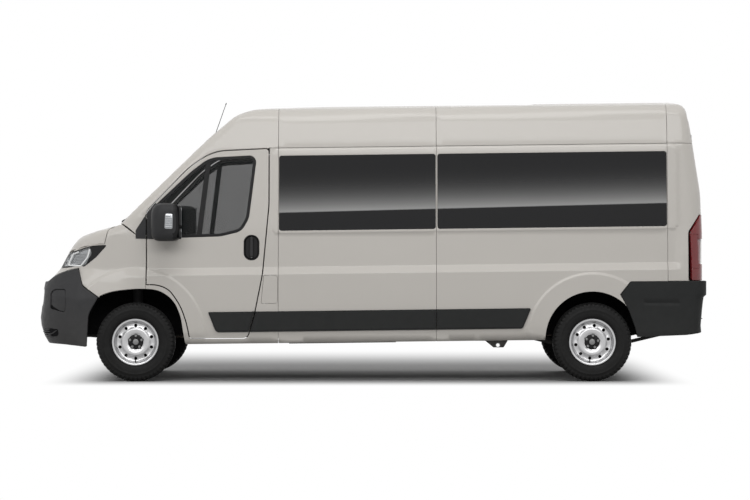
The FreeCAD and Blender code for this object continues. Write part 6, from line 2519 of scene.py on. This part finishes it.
@dataclass
class Cushion:
    """A stuffed seat piece.

    Its side profile is drawn out across the seat, blown up as cloth, and pulled in along its seams. The grooves
    lie in the view whose two coordinates are across the seat and along the given axis.
    """

    name: str
    profile: Outline
    middle: float
    width: float
    grooves: Sequence[Groove] = ()
    along: int = 0
    voxel: float = 10.0
    swell: float = 24.0
    rest: Optional[float] = None
    fill: float = 0.7
    piece: Optional[bpy.types.Object] = None
    start: Array = field(default_factory=lambda: np.zeros((0, 3)))

    def cut(self) -> None:
        """Cuts the stuffing a little small, and adds the cloth that will swell."""
        half = self.width / 2 - 9.0
        loop = stepped(grown(rounded(self.profile, 9.0), -9.0), 16.0)
        rows = np.linspace(-half, half, max(6, int(self.width / 16.0)))
        rings = []
        for y in rows:
            edge = min(1.0, (half - abs(y)) / 34.0)
            inset = 26.0 * (1.0 - math.sqrt(max(0.0, 1.0 - (1.0 - edge) ** 2)))
            ring = grown(loop, -inset)
            rings.append(np.stack([ring[:, 0], np.full(len(ring), self.middle + y), ring[:, 1]], axis=1))
        size = len(loop)
        faces: list = [(i * size + j, (i + 1) * size + j, (i + 1) * size + (j + 1) % size, i * size + (j + 1) % size)
                       for i in range(len(rings) - 1) for j in range(size)]
        faces += [list(range(size)), [(len(rings) - 1) * size + j for j in range(size)][::-1]]
        if area_of(loop) < 0:
            faces = [face[::-1] for face in faces]
        self.piece = Shape().add(np.vstack(rings), faces).built(self.name, 180.0)
        remesh = self.piece.modifiers.new("even_mesh", "REMESH")
        remesh.mode, remesh.voxel_size, remesh.use_smooth_shade = "VOXEL", self.voxel * MM, True
        self.settle()
        self.start = self.points()
        cloth = self.piece.modifiers.new("stuffing", "CLOTH")
        cloth.settings.use_pressure = True
        cloth.settings.uniform_pressure_force = 4.0
        cloth.settings.effector_weights.gravity = 0.0
        cloth.settings.quality = 4
        cloth.point_cache.frame_start, cloth.point_cache.frame_end = 1, 20

    def settle(self) -> None:
        """Replaces the mesh with what its modifiers make of it, and takes them off."""
        seen = self.piece.evaluated_get(bpy.context.evaluated_depsgraph_get())
        mesh = bpy.data.meshes.new_from_object(seen)
        old = self.piece.data
        self.piece.modifiers.clear()
        self.piece.data = mesh
        bpy.data.meshes.remove(old)
        mesh.name = self.name

    def points(self) -> Array:
        """The mesh's points in millimetres."""
        flat = np.zeros(len(self.piece.data.vertices) * 3)
        self.piece.data.vertices.foreach_get("co", flat)
        return flat.reshape(-1, 3) / MM

    def normals(self) -> Array:
        """The mesh's outward directions at its points."""
        flat = np.zeros(len(self.piece.data.vertices) * 3)
        self.piece.data.vertices.foreach_get("normal", flat)
        return flat.reshape(-1, 3)

    def place(self, points: Array) -> None:
        """Moves the mesh's points."""
        self.piece.data.vertices.foreach_set("co", (points * MM).ravel())
        self.piece.data.update()

    def sewn(self) -> None:
        """Limits the swelling, flattens the underside that rests, smooths once and pulls the seams in."""
        self.settle()
        swollen = self.points()
        move = swollen - self.start
        far = np.linalg.norm(move, axis=1, keepdims=True)
        self.place(self.start + move * np.minimum(1.0, self.swell / np.maximum(far, 1e-6)))
        finer = self.piece.modifiers.new("finer", "SUBSURF")
        finer.levels = finer.render_levels = 1
        self.settle()
        points, normals = self.points(), self.normals()
        across = points[:, [1, self.along]]
        facing = np.clip(-normals[:, 0] if self.along == 2 else normals[:, 2], 0.0, 1.0) ** 0.5
        for groove in self.grooves:
            pull = groove.depth * np.exp(-(groove.distance(across) / groove.width) ** 2) * facing
            points = points - normals * pull[:, None]
        if self.rest is not None:
            points[:, 2] = np.maximum(points[:, 2], self.rest)
        self.place(points)
        mesh = self.piece.data
        mesh.polygons.foreach_set("use_smooth", [True] * len(mesh.polygons))
        SEAT.dress(self.piece)
        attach(self.piece, VAN)
        LOG.info("%s: %d faces", self.name, len(mesh.polygons))


@dataclass
class Seats:
    """The driver's seat and the double passenger seat: boxes, padded cushions and backs, head rests."""

    driver: tuple[float, float] = (-450.0, 500.0)
    bench: tuple[float, float] = (330.0, 900.0)
    cushion: Outline = ((-1480, 800, 40), (-1490, 935, 60), (-1004, 905, 40), (-1004, 797, 20))
    back: Outline = ((-1083, 909, 30), (-985, 1480, 60), (-890, 1470, 60), (-957, 905, 40))
    rest: Outline = ((-985, 1488, 20), (-965, 1650, 50), (-885, 1650, 40), (-895, 1484, 20))

    def build(self) -> None:
        """Cuts every cushion, blows them all up together, sews them and stands them on their boxes."""
        cushions: list[Cushion] = []
        for name, (middle, width) in (("driver_seat", self.driver), ("passenger_seat", self.bench)):
            places = [middle] if width < 600 else [middle - 220.0, middle + 220.0]
            cushions += self.pads(name, middle, width, places)
            self.add_base(name, middle, width, places)
        for cushion in cushions:
            cushion.cut()
        scene = bpy.context.scene
        scene.frame_start, scene.frame_end = 1, 20
        for frame in range(1, 21):
            scene.frame_set(frame)
        for cushion in cushions:
            cushion.sewn()
        bpy.context.scene.frame_set(1)

    def pads(self, name: str, middle: float, width: float, places: Sequence[float]) -> list[Cushion]:
        """The stuffed pieces of one seat.

        Args:
            name: The seat's name.
            middle: Its middle across the van.
            width: Its width.
            places: The middles of its sitting places.

        Returns:
            The cushion, the back and the head rests, not yet cut.
        """
        low, high = middle - width / 2, middle + width / 2
        seat_seams, back_seams = [], []
        for y in places:
            for edge in (-135.0, 135.0):
                seat_seams.append(Groove((y + edge, -1440.0), (y + edge, -1010.0)))
                back_seams.append(Groove((y + edge, 930.0), (y + edge * 0.9, 1440.0)))
            for k in range(4):
                x, z = -1400.0 + 85.0 * k, 1010.0 + 95.0 * k
                seat_seams.append(Groove((y - 135.0, x), (y + 135.0, x), 6.0, 7.0))
                back_seams.append(Groove((y - 132.0, z), (y + 132.0, z), 6.0, 7.0))
        if len(places) > 1:
            seat_seams.append(Groove((middle, -1500.0), (middle, -1000.0), 12.0, 10.0))
            back_seams.append(Groove((middle, 900.0), (middle, 1500.0), 12.0, 10.0))
        for seams, near, far in ((seat_seams, -1462.0, -1020.0), (back_seams, 925.0, 1452.0)):
            seams.append(Groove((low + 20.0, near), (high - 20.0, near), 7.0, 7.0))
            seams.append(Groove((low + 22.0, near), (low + 22.0, far), 6.0, 7.0))
            seams.append(Groove((high - 22.0, near), (high - 22.0, far), 6.0, 7.0))
        wide = width > 600
        made = [Cushion(name + "_cushion", self.cushion, middle, width, seat_seams, 0, 12.0 if wide else 10.0,
                        rest=801.0, fill=0.75),
                Cushion(name + "_back", self.back, middle, width, back_seams, 2, 12.0 if wide else 10.0, fill=0.7)]
        for k, y in enumerate(places):
            seam = [Groove((y - 100.0, 1515.0), (y + 100.0, 1515.0), 5.0, 6.0),
                    Groove((y - 100.0, 1618.0), (y + 100.0, 1618.0), 5.0, 6.0)]
            made.append(Cushion("%s_head_rest_%d" % (name, k + 1), self.rest, y, 260.0, seam, 2, 7.0, 12.0,
                                fill=0.8))
        return made

    @staticmethod
    def add_base(name: str, middle: float, width: float, places: Sequence[float]) -> None:
        """Builds a seat's box with its moulded shell, slides, levers and head-rest stays.

        Args:
            name: The seat's name.
            middle: Where it stands across the van.
            width: Its width.
            places: Where its people sit.
        """
        start, end = middle - width / 2, middle + width / 2
        low, high = start + 42.0, end - 42.0
        section = rounded(((-1448, 532, 12), (-1440, 700, 20), (-1425, 778, 20), (-1015, 778, 20), (-1012, 532, 12)))
        base = block(section, low, high, 1, 8.0)
        for x in (-1380.0, -1080.0):
            foot = rounded(((x - 40, 531), (x + 40, 531), (x + 36, 545, 5), (x - 36, 545, 5)))
            base.join(block(foot, low - 16.0, high + 16.0, 1, 3.0))
        ready(base, name + "_box", DASH, VAN, name, sharp=40.0)
        trim = rounded(((-1478, 792, 20), (-1470, 852, 30), (-1030, 850, 40), (-1012, 792, 20)))
        shell = block(trim, start - 12.0, start + 3.0, 1, 5.0)
        shell.join(block(trim, end - 3.0, end + 12.0, 1, 5.0))
        rail = rounded(((-1440, 778), (-1020, 778), (-1020, 796, 4), (-1440, 796, 4)))
        for y in (low + 40.0, high - 52.0):
            shell.join(block(rail, y, y + 12.0, 1, 2.0))
        for y in places:
            shell.join(tube([(-1446.0, y - 90.0, 778.0), (-1492.0, y - 90.0, 776.0), (-1496.0, y - 70.0, 776.0),
                             (-1496.0, y + 70.0, 776.0), (-1492.0, y + 90.0, 776.0), (-1446.0, y + 90.0, 778.0)],
                            6.0, 10))
        hinge = revolved(np.array([(-14, 0.1), (-14, 30), (-9, 36), (9, 36), (14, 30), (14, 0.1)], float), 32)
        for y in (start - 8.0, end + 8.0):
            shell.join(hinge.moved((-1030.0, y, 876.0)))
        ready(shell, name + "_shell", BLACK_PLASTIC, sharp=40.0)
        stays = Shape()
        for y in places:
            for side in (-62.0, 62.0):
                stays.join(tube([(-932.0, y + side, 1440.0), (-930.0, y + side, 1560.0)], 6.0, 12))
        ready(stays, name + "_head_rest_stays", BOLT)


@dataclass
class Dashboard:
    """The dashboard with its binnacle, vents, screen, glove box and gear lever."""

    section: Outline = ((-1890, 800, 30), (-1890, 1268, 12), (-1780, 1262, 60), (-1690, 1180, 60), (-1716, 990, 60),
                        (-1800, 800, 30))
    half: float = 848.0
    clear: float = 552.0
    step: float = 906.0

    def build(self) -> None:
        """Builds the dashboard and everything fixed to it."""
        whole = rounded(self.section, 10.0)
        shape = block(whole, -self.clear, self.clear, 1, 4.0)
        upper = overlap(stepped(whole, 30.0), np.array(box(-2000.0, self.step, -1600.0, 1400.0)))
        for side in (-1, 1):
            low, high = sorted((side * (self.clear - 4.0), side * self.half))
            shape.join(block(upper, low, high, 1, 6.0))
        shape.join(block(rounded(((-1852, 1240), (-1848, 1306, 14), (-1790, 1326, 30), (-1726, 1320, 5),
                                  (-1728, 1308, 5), (-1792, 1297, 6), (-1758, 1214)), 8.0), -598.0, -262.0, 1, 14.0))
        shape.join(block(rounded(((-1800, 1000, 20), (-1790, 1236, 20), (-1700, 1215, 20), (-1655, 1075, 40),
                                  (-1700, 985, 30))), -150.0, 190.0, 1, 14.0))
        ready(shape, "dashboard_moulding", DASH, VAN, "dashboard", sharp=40.0)
        self.add_dials()
        self.add_vents()
        self.add_storage()

    @staticmethod
    def leaned(shape: Shape, x: float, z: float, lean: float = 24.0) -> Shape:
        """A flat piece drawn across and up, tipped back and put at a place on the dashboard's face."""
        return shape.turned("y", -lean).moved((x, 0.0, z))

    def add_dials(self) -> None:
        """The instrument dials, plain discs with rings, and the blank screen."""
        faces, rings = Shape(), Shape()
        for y, size in ((-510.0, 37.0), (-430.0, 28.0), (-350.0, 37.0)):
            ring = revolved(np.array([(0, size), (7, size + 3), (9, size), (7, size - 3), (0, size - 3)], float),
                            48).turned("z", -90)
            rings.join(self.leaned(ring, 0.0, 0.0, 22.0).moved((-1775.0, y, 1256.0)))
            disc = revolved(np.array([(0, size), (3, size - 2), (3, 0.1)], float), 48).turned("z", -90)
            faces.join(self.leaned(disc, 0.0, 0.0, 22.0).moved((-1775.0, y, 1256.0)))
        screen = rounded(box(-118, -62, 158, 62, 10))
        faces.join(self.leaned(block(screen, 0.0, 10.0, 0, 2.0), -1681.0, 1150.0, 18.0))
        ready(faces, "dashboard_glass_faces", LAMP_BLACK)
        bezel = rounded(box(-130, -74, 170, 74, 14))
        rings.join(self.leaned(block(bezel, -6.0, 6.0, 0, 3.0), -1681.0, 1150.0, 18.0))
        for k, y in enumerate((-84.0, -32.0, 20.0, 72.0, 124.0)):
            knob = revolved(np.array([(0, 0.1), (0, 17), (16, 15), (19, 11), (19, 0.1)], float), 28,
                            lambda a, row: 0.5 * np.cos(a * 14)).turned("z", -90)
            rings.join(self.leaned(knob, 0.0, 0.0).moved((-1668.0 - 3.0 * (k % 2), y, 1040.0)))
        ready(rings, "dashboard_bezels", BLACK_PLASTIC, sharp=40.0)

    def add_vents(self) -> None:
        """Air vents: frames with slats at both ends and over the screen."""
        vents = Shape()
        for y, wide in ((-772.0, 110.0), (772.0, 110.0), (-218.0, 84.0), (262.0, 84.0)):
            loop = rounded(box(-wide / 2, -38, wide / 2, 38, 12))
            frame = block(loop, 0.0, 12.0, 0, 3.0)
            for k in range(4):
                z = -24.0 + 16.0 * k
                slat = rounded(box(-wide / 2 + 8, z - 3.5, wide / 2 - 8, z + 3.5))
                frame.join(block(slat, 9.0, 17.0, 0, 2.0))
            vents.join(self.leaned(frame, -1712.0, 1200.0, 34.0).moved((0.0, y, 0.0)))
        ready(vents, "dashboard_vents", BLACK_PLASTIC, sharp=40.0)

    def add_storage(self) -> None:
        """The glove-box lid with its latch, and the gear lever with its gaiter."""
        lid = rounded(box(250, -80, 780, 86, 16))
        shape = self.leaned(block(lid, 0.0, 12.0, 0, 5.0), -1706.0, 1072.0, -9.0)
        latch = rounded(box(480, 40, 550, 62, 6))
        shape.join(self.leaned(block(latch, 10.0, 20.0, 0, 3.0), -1706.0, 1072.0, -9.0))
        ready(shape, "glove_box_lid", DASH, sharp=40.0)
        lever = revolved(np.array([(0, 34), (10, 30), (26, 20), (44, 13), (60, 9)], float), 28,
                         lambda a, row: 1.5 * np.cos(row * 3.0) + 0 * a).turned("x", 90)
        lever.join(tube([(0, 0, 56), (4, 0, 96)], 7.0, 12))
        knob = revolved(np.array([(88, 0.1), (90, 12), (104, 21), (122, 22), (136, 15), (139, 0.1)], float),
                        28).turned("x", 90)
        lever.join(knob)
        ready(lever.turned("y", 40.0).moved((-1668.0, -110.0, 1010.0)), "gear_lever", BLACK_PLASTIC, sharp=40.0)


@dataclass
class SteeringWheel:
    """The steering wheel on its column, and the stalks behind it."""

    hub: tuple[float, float, float] = (-1560.0, -430.0, 1150.0)
    tilt: float = 32.0

    def set_up(self, shape: Shape) -> Shape:
        """Tips a piece drawn about the y axis onto the column."""
        return shape.turned("z", -90.0).turned("y", -self.tilt).moved(self.hub)

    def build(self) -> None:
        """Builds the rim, the boss, the spokes, the column and the stalks."""
        turns = np.linspace(0.0, 2 * math.pi, 21)
        ring = np.stack([14.0 * np.sin(turns), 188.0 + 15.0 * np.cos(turns)], axis=1)
        rim = revolved(ring, 128, lambda a, row: 0.7 * np.cos(a * 64) * (np.sin(a * 1.5) ** 2 > 0.3))
        ready(self.set_up(rim), "steering_wheel_rim", BLACK_PLASTIC, "steering_wheel_body", "steering_wheel")
        boss = revolved(np.array([(-36, 24), (-34, 44), (-6, 56), (8, 52), (15, 36), (17, 0.1)], float), 64)
        boss.join(revolved(np.array([(-138, 0.1), (-138, 22), (-34, 24)], float), 40))
        ready(self.set_up(boss), "steering_wheel_boss", DASH, "steering_wheel_body")
        spokes = Shape()
        for turn in (180.0, 300.0, 60.0):
            loop = rounded(((-26, 40), (26, 40), (15, 120, 30), (19, 186), (-19, 186), (-15, 120, 30)))
            spokes.join(block(loop, 1.0, 15.0, 2, 5.0).turned("x", 90.0).turned("y", turn))
        ready(self.set_up(spokes), "steering_wheel_spokes", BLACK_PLASTIC, "steering_wheel_body", sharp=45.0)
        shroud = revolved(np.array([(-170, 0.1), (-170, 52), (-120, 50), (-66, 40), (-62, 34), (-62, 28)], float), 40)
        for side in (-1, 1):
            shroud.join(tube([(side * 34.0, -84, 0), (side * 110.0, -80, 10), (side * 158.0, -74, 14)],
                             [7.0, 7.0, 10.0], 14))
        ready(self.set_up(shroud), "steering_column_shroud", DASH)


@dataclass(frozen=True)
class Wall:
    """The left inner side of the body: a wall whose distance from the middle follows its height, drawn in x and z."""

    heights: tuple[float, ...] = (500.0, 1020.0, 1341.0, 1700.0, 2073.0)
    halves: tuple[float, ...] = (930.0, 930.0, 925.0, 902.0, 866.0)
    lift: float = 0.0

    def at(self, lift: float) -> "Wall":
        """The same wall, moved into the van by a distance."""
        return Wall(self.heights, self.halves, self.lift + lift)

    def __call__(self, flat: Array) -> Array:
        """The points of the wall at (x, z)."""
        half = np.interp(flat[:, 1] - RAKE * flat[:, 0], self.heights, self.halves) - self.lift
        return np.stack([flat[:, 0], -half, flat[:, 1]], axis=1)

    def normals(self, points: Array) -> Array:
        """Finds the directions into the van.

        Args:
            points: (n, 3) points of the wall.

        Returns:
            Unit vectors.
        """
        level = points[:, 2] - RAKE * points[:, 0]
        slope = (np.interp(level + 20.0, self.heights, self.halves)
                 - np.interp(level - 20.0, self.heights, self.halves)) / 40.0
        return unit(np.stack([np.zeros(len(points)), np.ones(len(points)), slope], axis=1))


@dataclass
class Inside:
    """Linings of the load space: sides with window frames and ribs, roof with hoops, and a ribbed floor."""

    ends: tuple[float, float] = (-790.0, 2735.0)
    floor: float = 541.0
    top: float = 2040.0
    openings: tuple[tuple[float, float], ...] = ((-700.0, 520.0), (700.0, 1600.0), (1680.0, 2560.0))
    skin: Wall = Wall()

    def build(self) -> None:
        """Builds the linings, the roof hoops and the floor."""
        self.add_sides()
        self.add_roof()
        self.add_floor()

    def frame(self, x0: float, x1: float, by: float) -> Array:
        """A window frame's outline, grown by a distance."""
        return lined(raked(x0 - by, x1 + by, 1400.0 - by, 1960.0 + by, 60.0 + by))

    def add_sides(self) -> None:
        """Side linings: a panel under the windows, pillars, a header and a raised frame round each window."""
        x0, x1 = self.ends
        arch = (1985.0, 395.0)
        loop = stepped(np.array([(x0, self.floor + 6), (x1, self.floor + 6), (x1, self.top + RAKE * x1),
                                 (x0, self.top + RAKE * x0)], float), 120.0)
        loop = overlap(loop, circle(*arch, 432.0, 60), False)
        holes = [self.frame(*opening, 0.0) for opening in self.openings]
        shape = panel(self.skin, [loop] + holes, Rim(2.0, 5.0), 130.0)
        for opening in self.openings:
            shape.join(panel(self.skin.at(7.0), [self.frame(*opening, 22.0), self.frame(*opening, -6.0)],
                             Rim(4.0, 9.0), 130.0))
        for x in (-560.0, -80.0, 400.0, 900.0, 1350.0, 2470.0):
            rib = rounded(box(x - 120, 700, x + 120, 1290, 40))
            rib = overlap(stepped(rib, 30.0), circle(*arch, 470.0, 60), False)
            shape.join(panel(self.skin.at(5.0), [rib], Rim(5.0, 6.0), 110.0))
        pair(shape, "side_lining", LINING)
        rail = Shape()
        for z in (1330.0, 600.0):
            line = stepped(np.array([(x0 + 60, z), (x1 - 60 if z > 1000 else 1480.0, z)], float), 100.0, False)
            rail.join(tube(self.skin.at(13.0)(line), 8.0, 10))
        pair(rail, "lashing_rail", BOLT)

    def add_roof(self) -> None:
        """The roof lining with its pressed hoops."""
        low, high = -1000.0, 2640.0
        half = 690.0
        loop = patch(low, -half, high, half, 120.0)
        shape = panel(ROOF_SKIN.at(-52.0), [loop], Rim(2.0, 6.0), 150.0)
        for x in np.arange(-760.0, 2600.0, 560.0):
            hoop = patch(x - 45, -half + 10, x + 45, half - 10, 60.0)
            shape.join(panel(ROOF_SKIN.at(-62.0), [hoop], Rim(6.0, 12.0), 90.0))
        ready(shape, "roof_lining", LINING)

    def add_floor(self) -> None:
        """The load floor: a ribbed mat cut round the wheel housings, with lashing rings, and the cab's floor mat with
        its pedals.
        """
        x0, x1 = self.ends
        left = [(x0, 0.0), (x0, -905.0), (1560.0, -905.0), (1560.0, -585.0), (2410.0, -585.0), (2410.0, -905.0),
                (x1, -905.0), (x1, 0.0)]
        right = [(x, -y) for x, y in left[::-1]][1:-1]
        loop = np.array(left + right, float)
        mat = block(stepped(loop, 200.0), self.floor, self.floor + 7.0, 2, 2.0)
        ridge = rounded(((-8, 0), (8, 0), (5, 4, 2), (-5, 4, 2)))
        for y in np.arange(-540.0, 541.0, 60.0):
            mat.join(block(ridge, x0 + 30.0, x1 - 30.0, 0, 2.0).moved((0.0, y, self.floor + 6.0)))
        for side in (-1, 1):
            for y in (640.0, 700.0, 760.0, 820.0):
                for a, b in ((x0 + 30.0, 1520.0), (2440.0, x1 - 30.0)):
                    mat.join(block(ridge, a, b, 0, 2.0).moved((0.0, side * y, self.floor + 6.0)))
        ready(mat, "load_floor_mat", BLACK_PLASTIC)
        rings = Shape()
        pan = revolved(np.array([(0, 34), (4, 32), (5, 26), (1, 22), (1, 0.1)], float), 32).turned("x", 90)
        turns = np.linspace(0, 2 * math.pi, 25)
        hoop = tube(np.stack([18 * np.cos(turns), 18 * np.sin(turns), np.full(25, 4.0)], axis=1), 3.0, 8, False)
        for x in (-560.0, 300.0, 1180.0, 2560.0):
            for y in (-860.0, 860.0):
                rings.join(pan.moved((x, y, self.floor + 7.0)))
                rings.join(hoop.moved((x, y, self.floor + 7.0)))
        ready(rings, "lashing_rings", BOLT)
        cab = rounded(((-1890, -545), (-1560, -545), (-1560, -880, 30), (-800, -880), (-800, 880), (-1560, 880, 30),
                       (-1560, 545), (-1890, 545)))
        mat = block(stepped(cab, 150.0), self.floor, self.floor + 8.0, 2, 2.0)
        pedal = rounded(box(-26, 0, 26, 60, 6))
        for y in (-540.0, -440.0, -340.0):
            mat.join(block(pedal, 0.0, 9.0, 0, 2.0).turned("y", -35.0).moved((-1830.0, y, 640.0)))
            mat.join(tube([(-1850.0, y, 790.0), (-1832.0, y, 670.0)], 6.0, 8))
        ready(mat, "cab_floor_mat", TYRE)


@dataclass
class SmallParts:
    """The wipers, the antenna and the jacking brackets."""

    antenna_foot: tuple[float, float, float] = (-1421.0, 0.0, 2160.0)
    antenna_lean: float = 19.4
    jack_hole: tuple[float, float, float] = (1151.0, 319.0, 15.0)

    def build(self) -> None:
        """Builds the small outside parts."""
        self.add_wipers()
        self.add_antenna()
        self.add_jack_brackets()

    @staticmethod
    def add_wipers() -> None:
        """Two arms with spindle caps, each with its blade and claws."""
        arms, blades = Shape(), Shape()
        for y0, y1 in ((-560.0, -40.0), (60.0, 580.0)):
            cap = revolved(np.array([(0, 15), (10, 15), (20, 11), (23, 0.1)], float), 28).turned("x", 90)
            arms.join(cap.moved((-2196.0, y0, 1402.0)))
            path = [(-2196.0, y0, 1420.0), (-2182.0, y0 + 90.0, 1432.0), (-2150.0, y0 + 270.0, 1458.0),
                    (-2122.0, y1 - 64.0, 1482.0)]
            arms.join(tube(path, [9.0, 8.0, 6.0, 4.5], 10))
            start, end = np.array([-2125.0, y0 + 152.0, 1475.0]), np.array([-2111.0, y1 + 118.0, 1488.0])
            spine = [start + (end - start) * t + np.array([0.0, 0.0, 3.0 * math.sin(math.pi * t)])
                     for t in np.linspace(0.0, 1.0, 15)]
            blades.join(tube(spine, [2.5] + [5.0] * 13 + [2.5], 8))
            blades.join(tube([point + np.array([-3.0, 0.0, -4.0]) for point in spine], 2.2, 6))
            blades.join(block(rounded(((y1 - 84, -6, 2), (y1 - 40, -6, 2), (y1 - 46, 7, 2), (y1 - 78, 7, 2))),
                              -7.0, 7.0, 0, 2.0).moved((-2120.0, 0.0, 1482.0)))
        ready(arms, "wiper_arms", BLACK_PLASTIC, VAN, "wipers")
        ready(blades, "wiper_blades", GASKET)

    def add_antenna(self) -> None:
        """The rod antenna with its rubber foot."""
        foot = revolved(np.array([(-12, 10.5), (6, 10.0), (18, 7.5), (30, 4.5), (34, 0.1)], float), 24,
                        lambda a, row: 0.4 * np.cos(row * 3.1) + 0 * a)
        rod = revolved(np.array([(22, 3.4), (60, 3.2), (200, 2.9), (345, 2.6), (347, 4.0), (358, 4.4), (364, 3.4),
                                 (365, 0.1)], float), 16)
        for shape, name, finish in ((foot, "antenna_foot", TYRE), (rod, "antenna_rod", GASKET)):
            placed = shape.turned("x", 90.0).turned("y", self.antenna_lean).moved(self.antenna_foot)
            ready(placed, name, finish, VAN, *(["antenna"] if name == "antenna_foot" else []))

    def add_jack_brackets(self) -> None:
        """Pressed brackets under the sills, with the jack's hole and a folded flange."""
        x, z, radius = self.jack_hole
        outline = rounded(((1111, 299, 10), (1202, 299, 10), (1238, 360, 6),
                           (1229, 370), (1046, 370), (1037, 360, 6)))
        flat, faces = triangulated([stepped(outline, 20.0), circle(x, z, radius, 32)], 24.0)
        size = len(flat)
        front = np.stack([flat[:, 0], np.full(size, -938.0), flat[:, 1]], axis=1)
        back = front + [0.0, 7.0, 0.0]
        shape = Shape().add(front, faces).add(back, faces[:, ::-1])
        for loop in border_loops(faces):
            count = len(loop)
            ring = np.vstack([front[loop], back[loop]])
            shape.add(ring, [face[::-1] for face in quads(2, count)])
        flange = block(rounded(((1050, -934), (1225, -934), (1225, -906, 6), (1050, -906, 6))), 352.0, 356.0, 2, 1.0)
        shape.join(flange)
        pair(shape, "jack_bracket", CHASSIS)
        for side, word in ((1, "left"), (-1, "right")):
            collar = revolved(np.array([(-3, radius), (-3, radius + 5), (0, radius + 6), (0, radius)], float), 32)
            turned = collar.moved((x, -938.0, z))
            ready(turned if side > 0 else turned.mirrored(), word + "_jack_collar", BOLT, VAN,
                  *(["jack_brackets"] if side > 0 else []))


# ---- studio ------------------------------------------------------------------------------------
@dataclass
class Studio:
    """A floor, grey round the van and running into white further out, soft lights and a long lens.

    The grey round the van is a painted shadow laid under the van's real shadow from the lamps; it reaches given
    distances along the van, in front and behind, and fades into white past them.
    """

    camera: Vector = field(default_factory=lambda: Vector((0.064, -26.0, 1.30)))
    lens: float = 136.0
    shift: float = -0.021
    floor_half: float = 60.0
    # Extents of the floor's grey painted shadow: along the van, in front and behind.
    ends: tuple[float, float] = (2.2, 2.9)
    front: tuple[float, float] = (-1.8, -0.9)
    rear: tuple[float, float] = (2.0, 6.0)
    sky: float = 0.34
    aim: Vector = field(default_factory=lambda: Vector((0.0, 0.0, 1.0)))
    lamps: tuple[tuple[str, tuple[float, float, float], tuple[float, float], float], ...] = (
        ("key", (-1.0, -18.5, 9.8), (26.0, 5.5), 1620.0), ("top", (0.5, -5.0, 9.5), (8.0, 4.0), 360.0),
        ("back", (4.0, 17.0, 7.0), (14.0, 5.0), 1000.0), ("nose", (-16.0, -2.0, 6.5), (6.0, 5.0), 500.0),
        ("tail", (16.0, 2.0, 6.5), (6.0, 5.0), 500.0))

    def build(self) -> None:
        """Lays the floor, hangs the lights and sets the camera."""
        self.lay_floor()
        self.light_world()
        self.hang_lights()
        data = bpy.data.cameras.new("camera")
        data.lens, data.shift_y, data.clip_end = self.lens, self.shift, 200.0
        eye = bpy.data.objects.new("camera", data)
        eye.location = self.camera
        eye.rotation_euler = (math.radians(90), 0.0, 0.0)
        bpy.context.scene.collection.objects.link(eye)
        bpy.context.scene.camera = eye

    def lay_floor(self) -> None:
        """A large floor, grey round the van as a painted shadow under the lamps' real shadow, that runs into white
        further out.
        """
        half = self.floor_half / MM
        corners = [(x, y, 0.0) for x, y in box(-half, -half, half, half)]
        floor = Shape().add(corners, [(0, 1, 2, 3)]).built("studio_floor")
        nodes = Nodes(bpy.data.materials.new("studio_floor_white"))
        # Grey where the painted shadow lies, so that the lamps' shadow round and behind the van reads darker.
        tone = nodes.mixed(nodes.noise(0.6), (0.4, 0.4, 0.4), (0.42, 0.42, 0.42))
        nodes.set(Base_Color=tone, Roughness=0.9, Specular_IOR_Level=0.05)
        along, across, _ = nodes.add("SeparateXYZ", Vector=nodes.place).outputs
        # near is the painted shadow's mask: 1 round the van, falling to 0 past the extents.
        near = nodes.ramp(nodes.worked("ABSOLUTE", along), *self.ends, 1.0, 0.0, "SMOOTHSTEP")
        near = nodes.worked("MULTIPLY", near, nodes.ramp(across, *self.front, 0.0, 1.0, "SMOOTHSTEP"))
        near = nodes.worked("MULTIPLY", near, nodes.ramp(across, *self.rear, 1.0, 0.0, "SMOOTHSTEP"))
        path = nodes.add("LightPath").outputs
        seen = nodes.worked("MAXIMUM", path["Is Camera Ray"], path["Is Glossy Ray"])
        both = nodes.add("MixShader", Fac=nodes.worked("MULTIPLY", seen, nodes.worked("SUBTRACT", 1.0, near)))
        nodes.feed(both.inputs[1], nodes.shader.outputs[0])
        nodes.feed(both.inputs[2], nodes.add("Emission", Strength=1.0).outputs[0])
        nodes.feed(nodes.tree.nodes["Material Output"].inputs[0], both.outputs[0])
        floor.data.materials.append(nodes.owner)

    def light_world(self) -> None:
        """Even sky light, seen as white by the camera, in reflections and through glass."""
        world = bpy.data.worlds.new("studio_world")
        bpy.context.scene.world = world
        nodes = Nodes(world)
        path = nodes.add("LightPath").outputs
        seen = nodes.worked("MAXIMUM", path["Is Glossy Ray"], path["Is Transmission Ray"])
        seen = nodes.worked("MAXIMUM", path["Is Camera Ray"], seen)
        back = nodes.tree.nodes["Background"].inputs
        nodes.feed(back[0], (1.0, 1.0, 1.0))
        nodes.feed(back[1], nodes.ramp(seen, 0.0, 1.0, self.sky, 1.0))

    def hang_lights(self) -> None:
        """A broad key beside the camera, a soft light overhead, one behind and one at each end."""
        for name, place, size, power in self.lamps:
            data = bpy.data.lights.new(name, "AREA")
            data.shape, data.size, data.size_y, data.energy = "RECTANGLE", *size, power
            lamp = bpy.data.objects.new(name, data)
            lamp.location = place
            lamp.rotation_euler = (self.aim - Vector(place)).to_track_quat("-Z", "Y").to_euler()
            lamp.visible_glossy = name in ("key", "top")
            bpy.context.scene.collection.objects.link(lamp)


def dress_frame(frame: dict) -> None:
    """Gives every piece of the frame the finish of its material slot."""
    for part in frame["record"]["subparts"]:
        finish = LINER_AND_SHADE if part["node"] == "wheel_housings" else SLOT_FINISHES[part["material_slot"]]
        finish.dress(frame["nodes"][part["node"]])


def main() -> None:
    """Builds every sub-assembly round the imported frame."""
    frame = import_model()
    bpy.context.scene.view_settings.view_transform = "Standard"
    dress_frame(frame)
    for assembly in (Studio(), SidePanels(), Roof(), Nose(), Wheels(), FrontDoors(), Moulding(), Rear(),
                     Dashboard(), SteeringWheel(), Seats(), Inside(), SmallParts()):
        assembly.build()


if __name__ == "__main__":
    logging.basicConfig(level=logging.INFO, format="%(message)s")
    main()
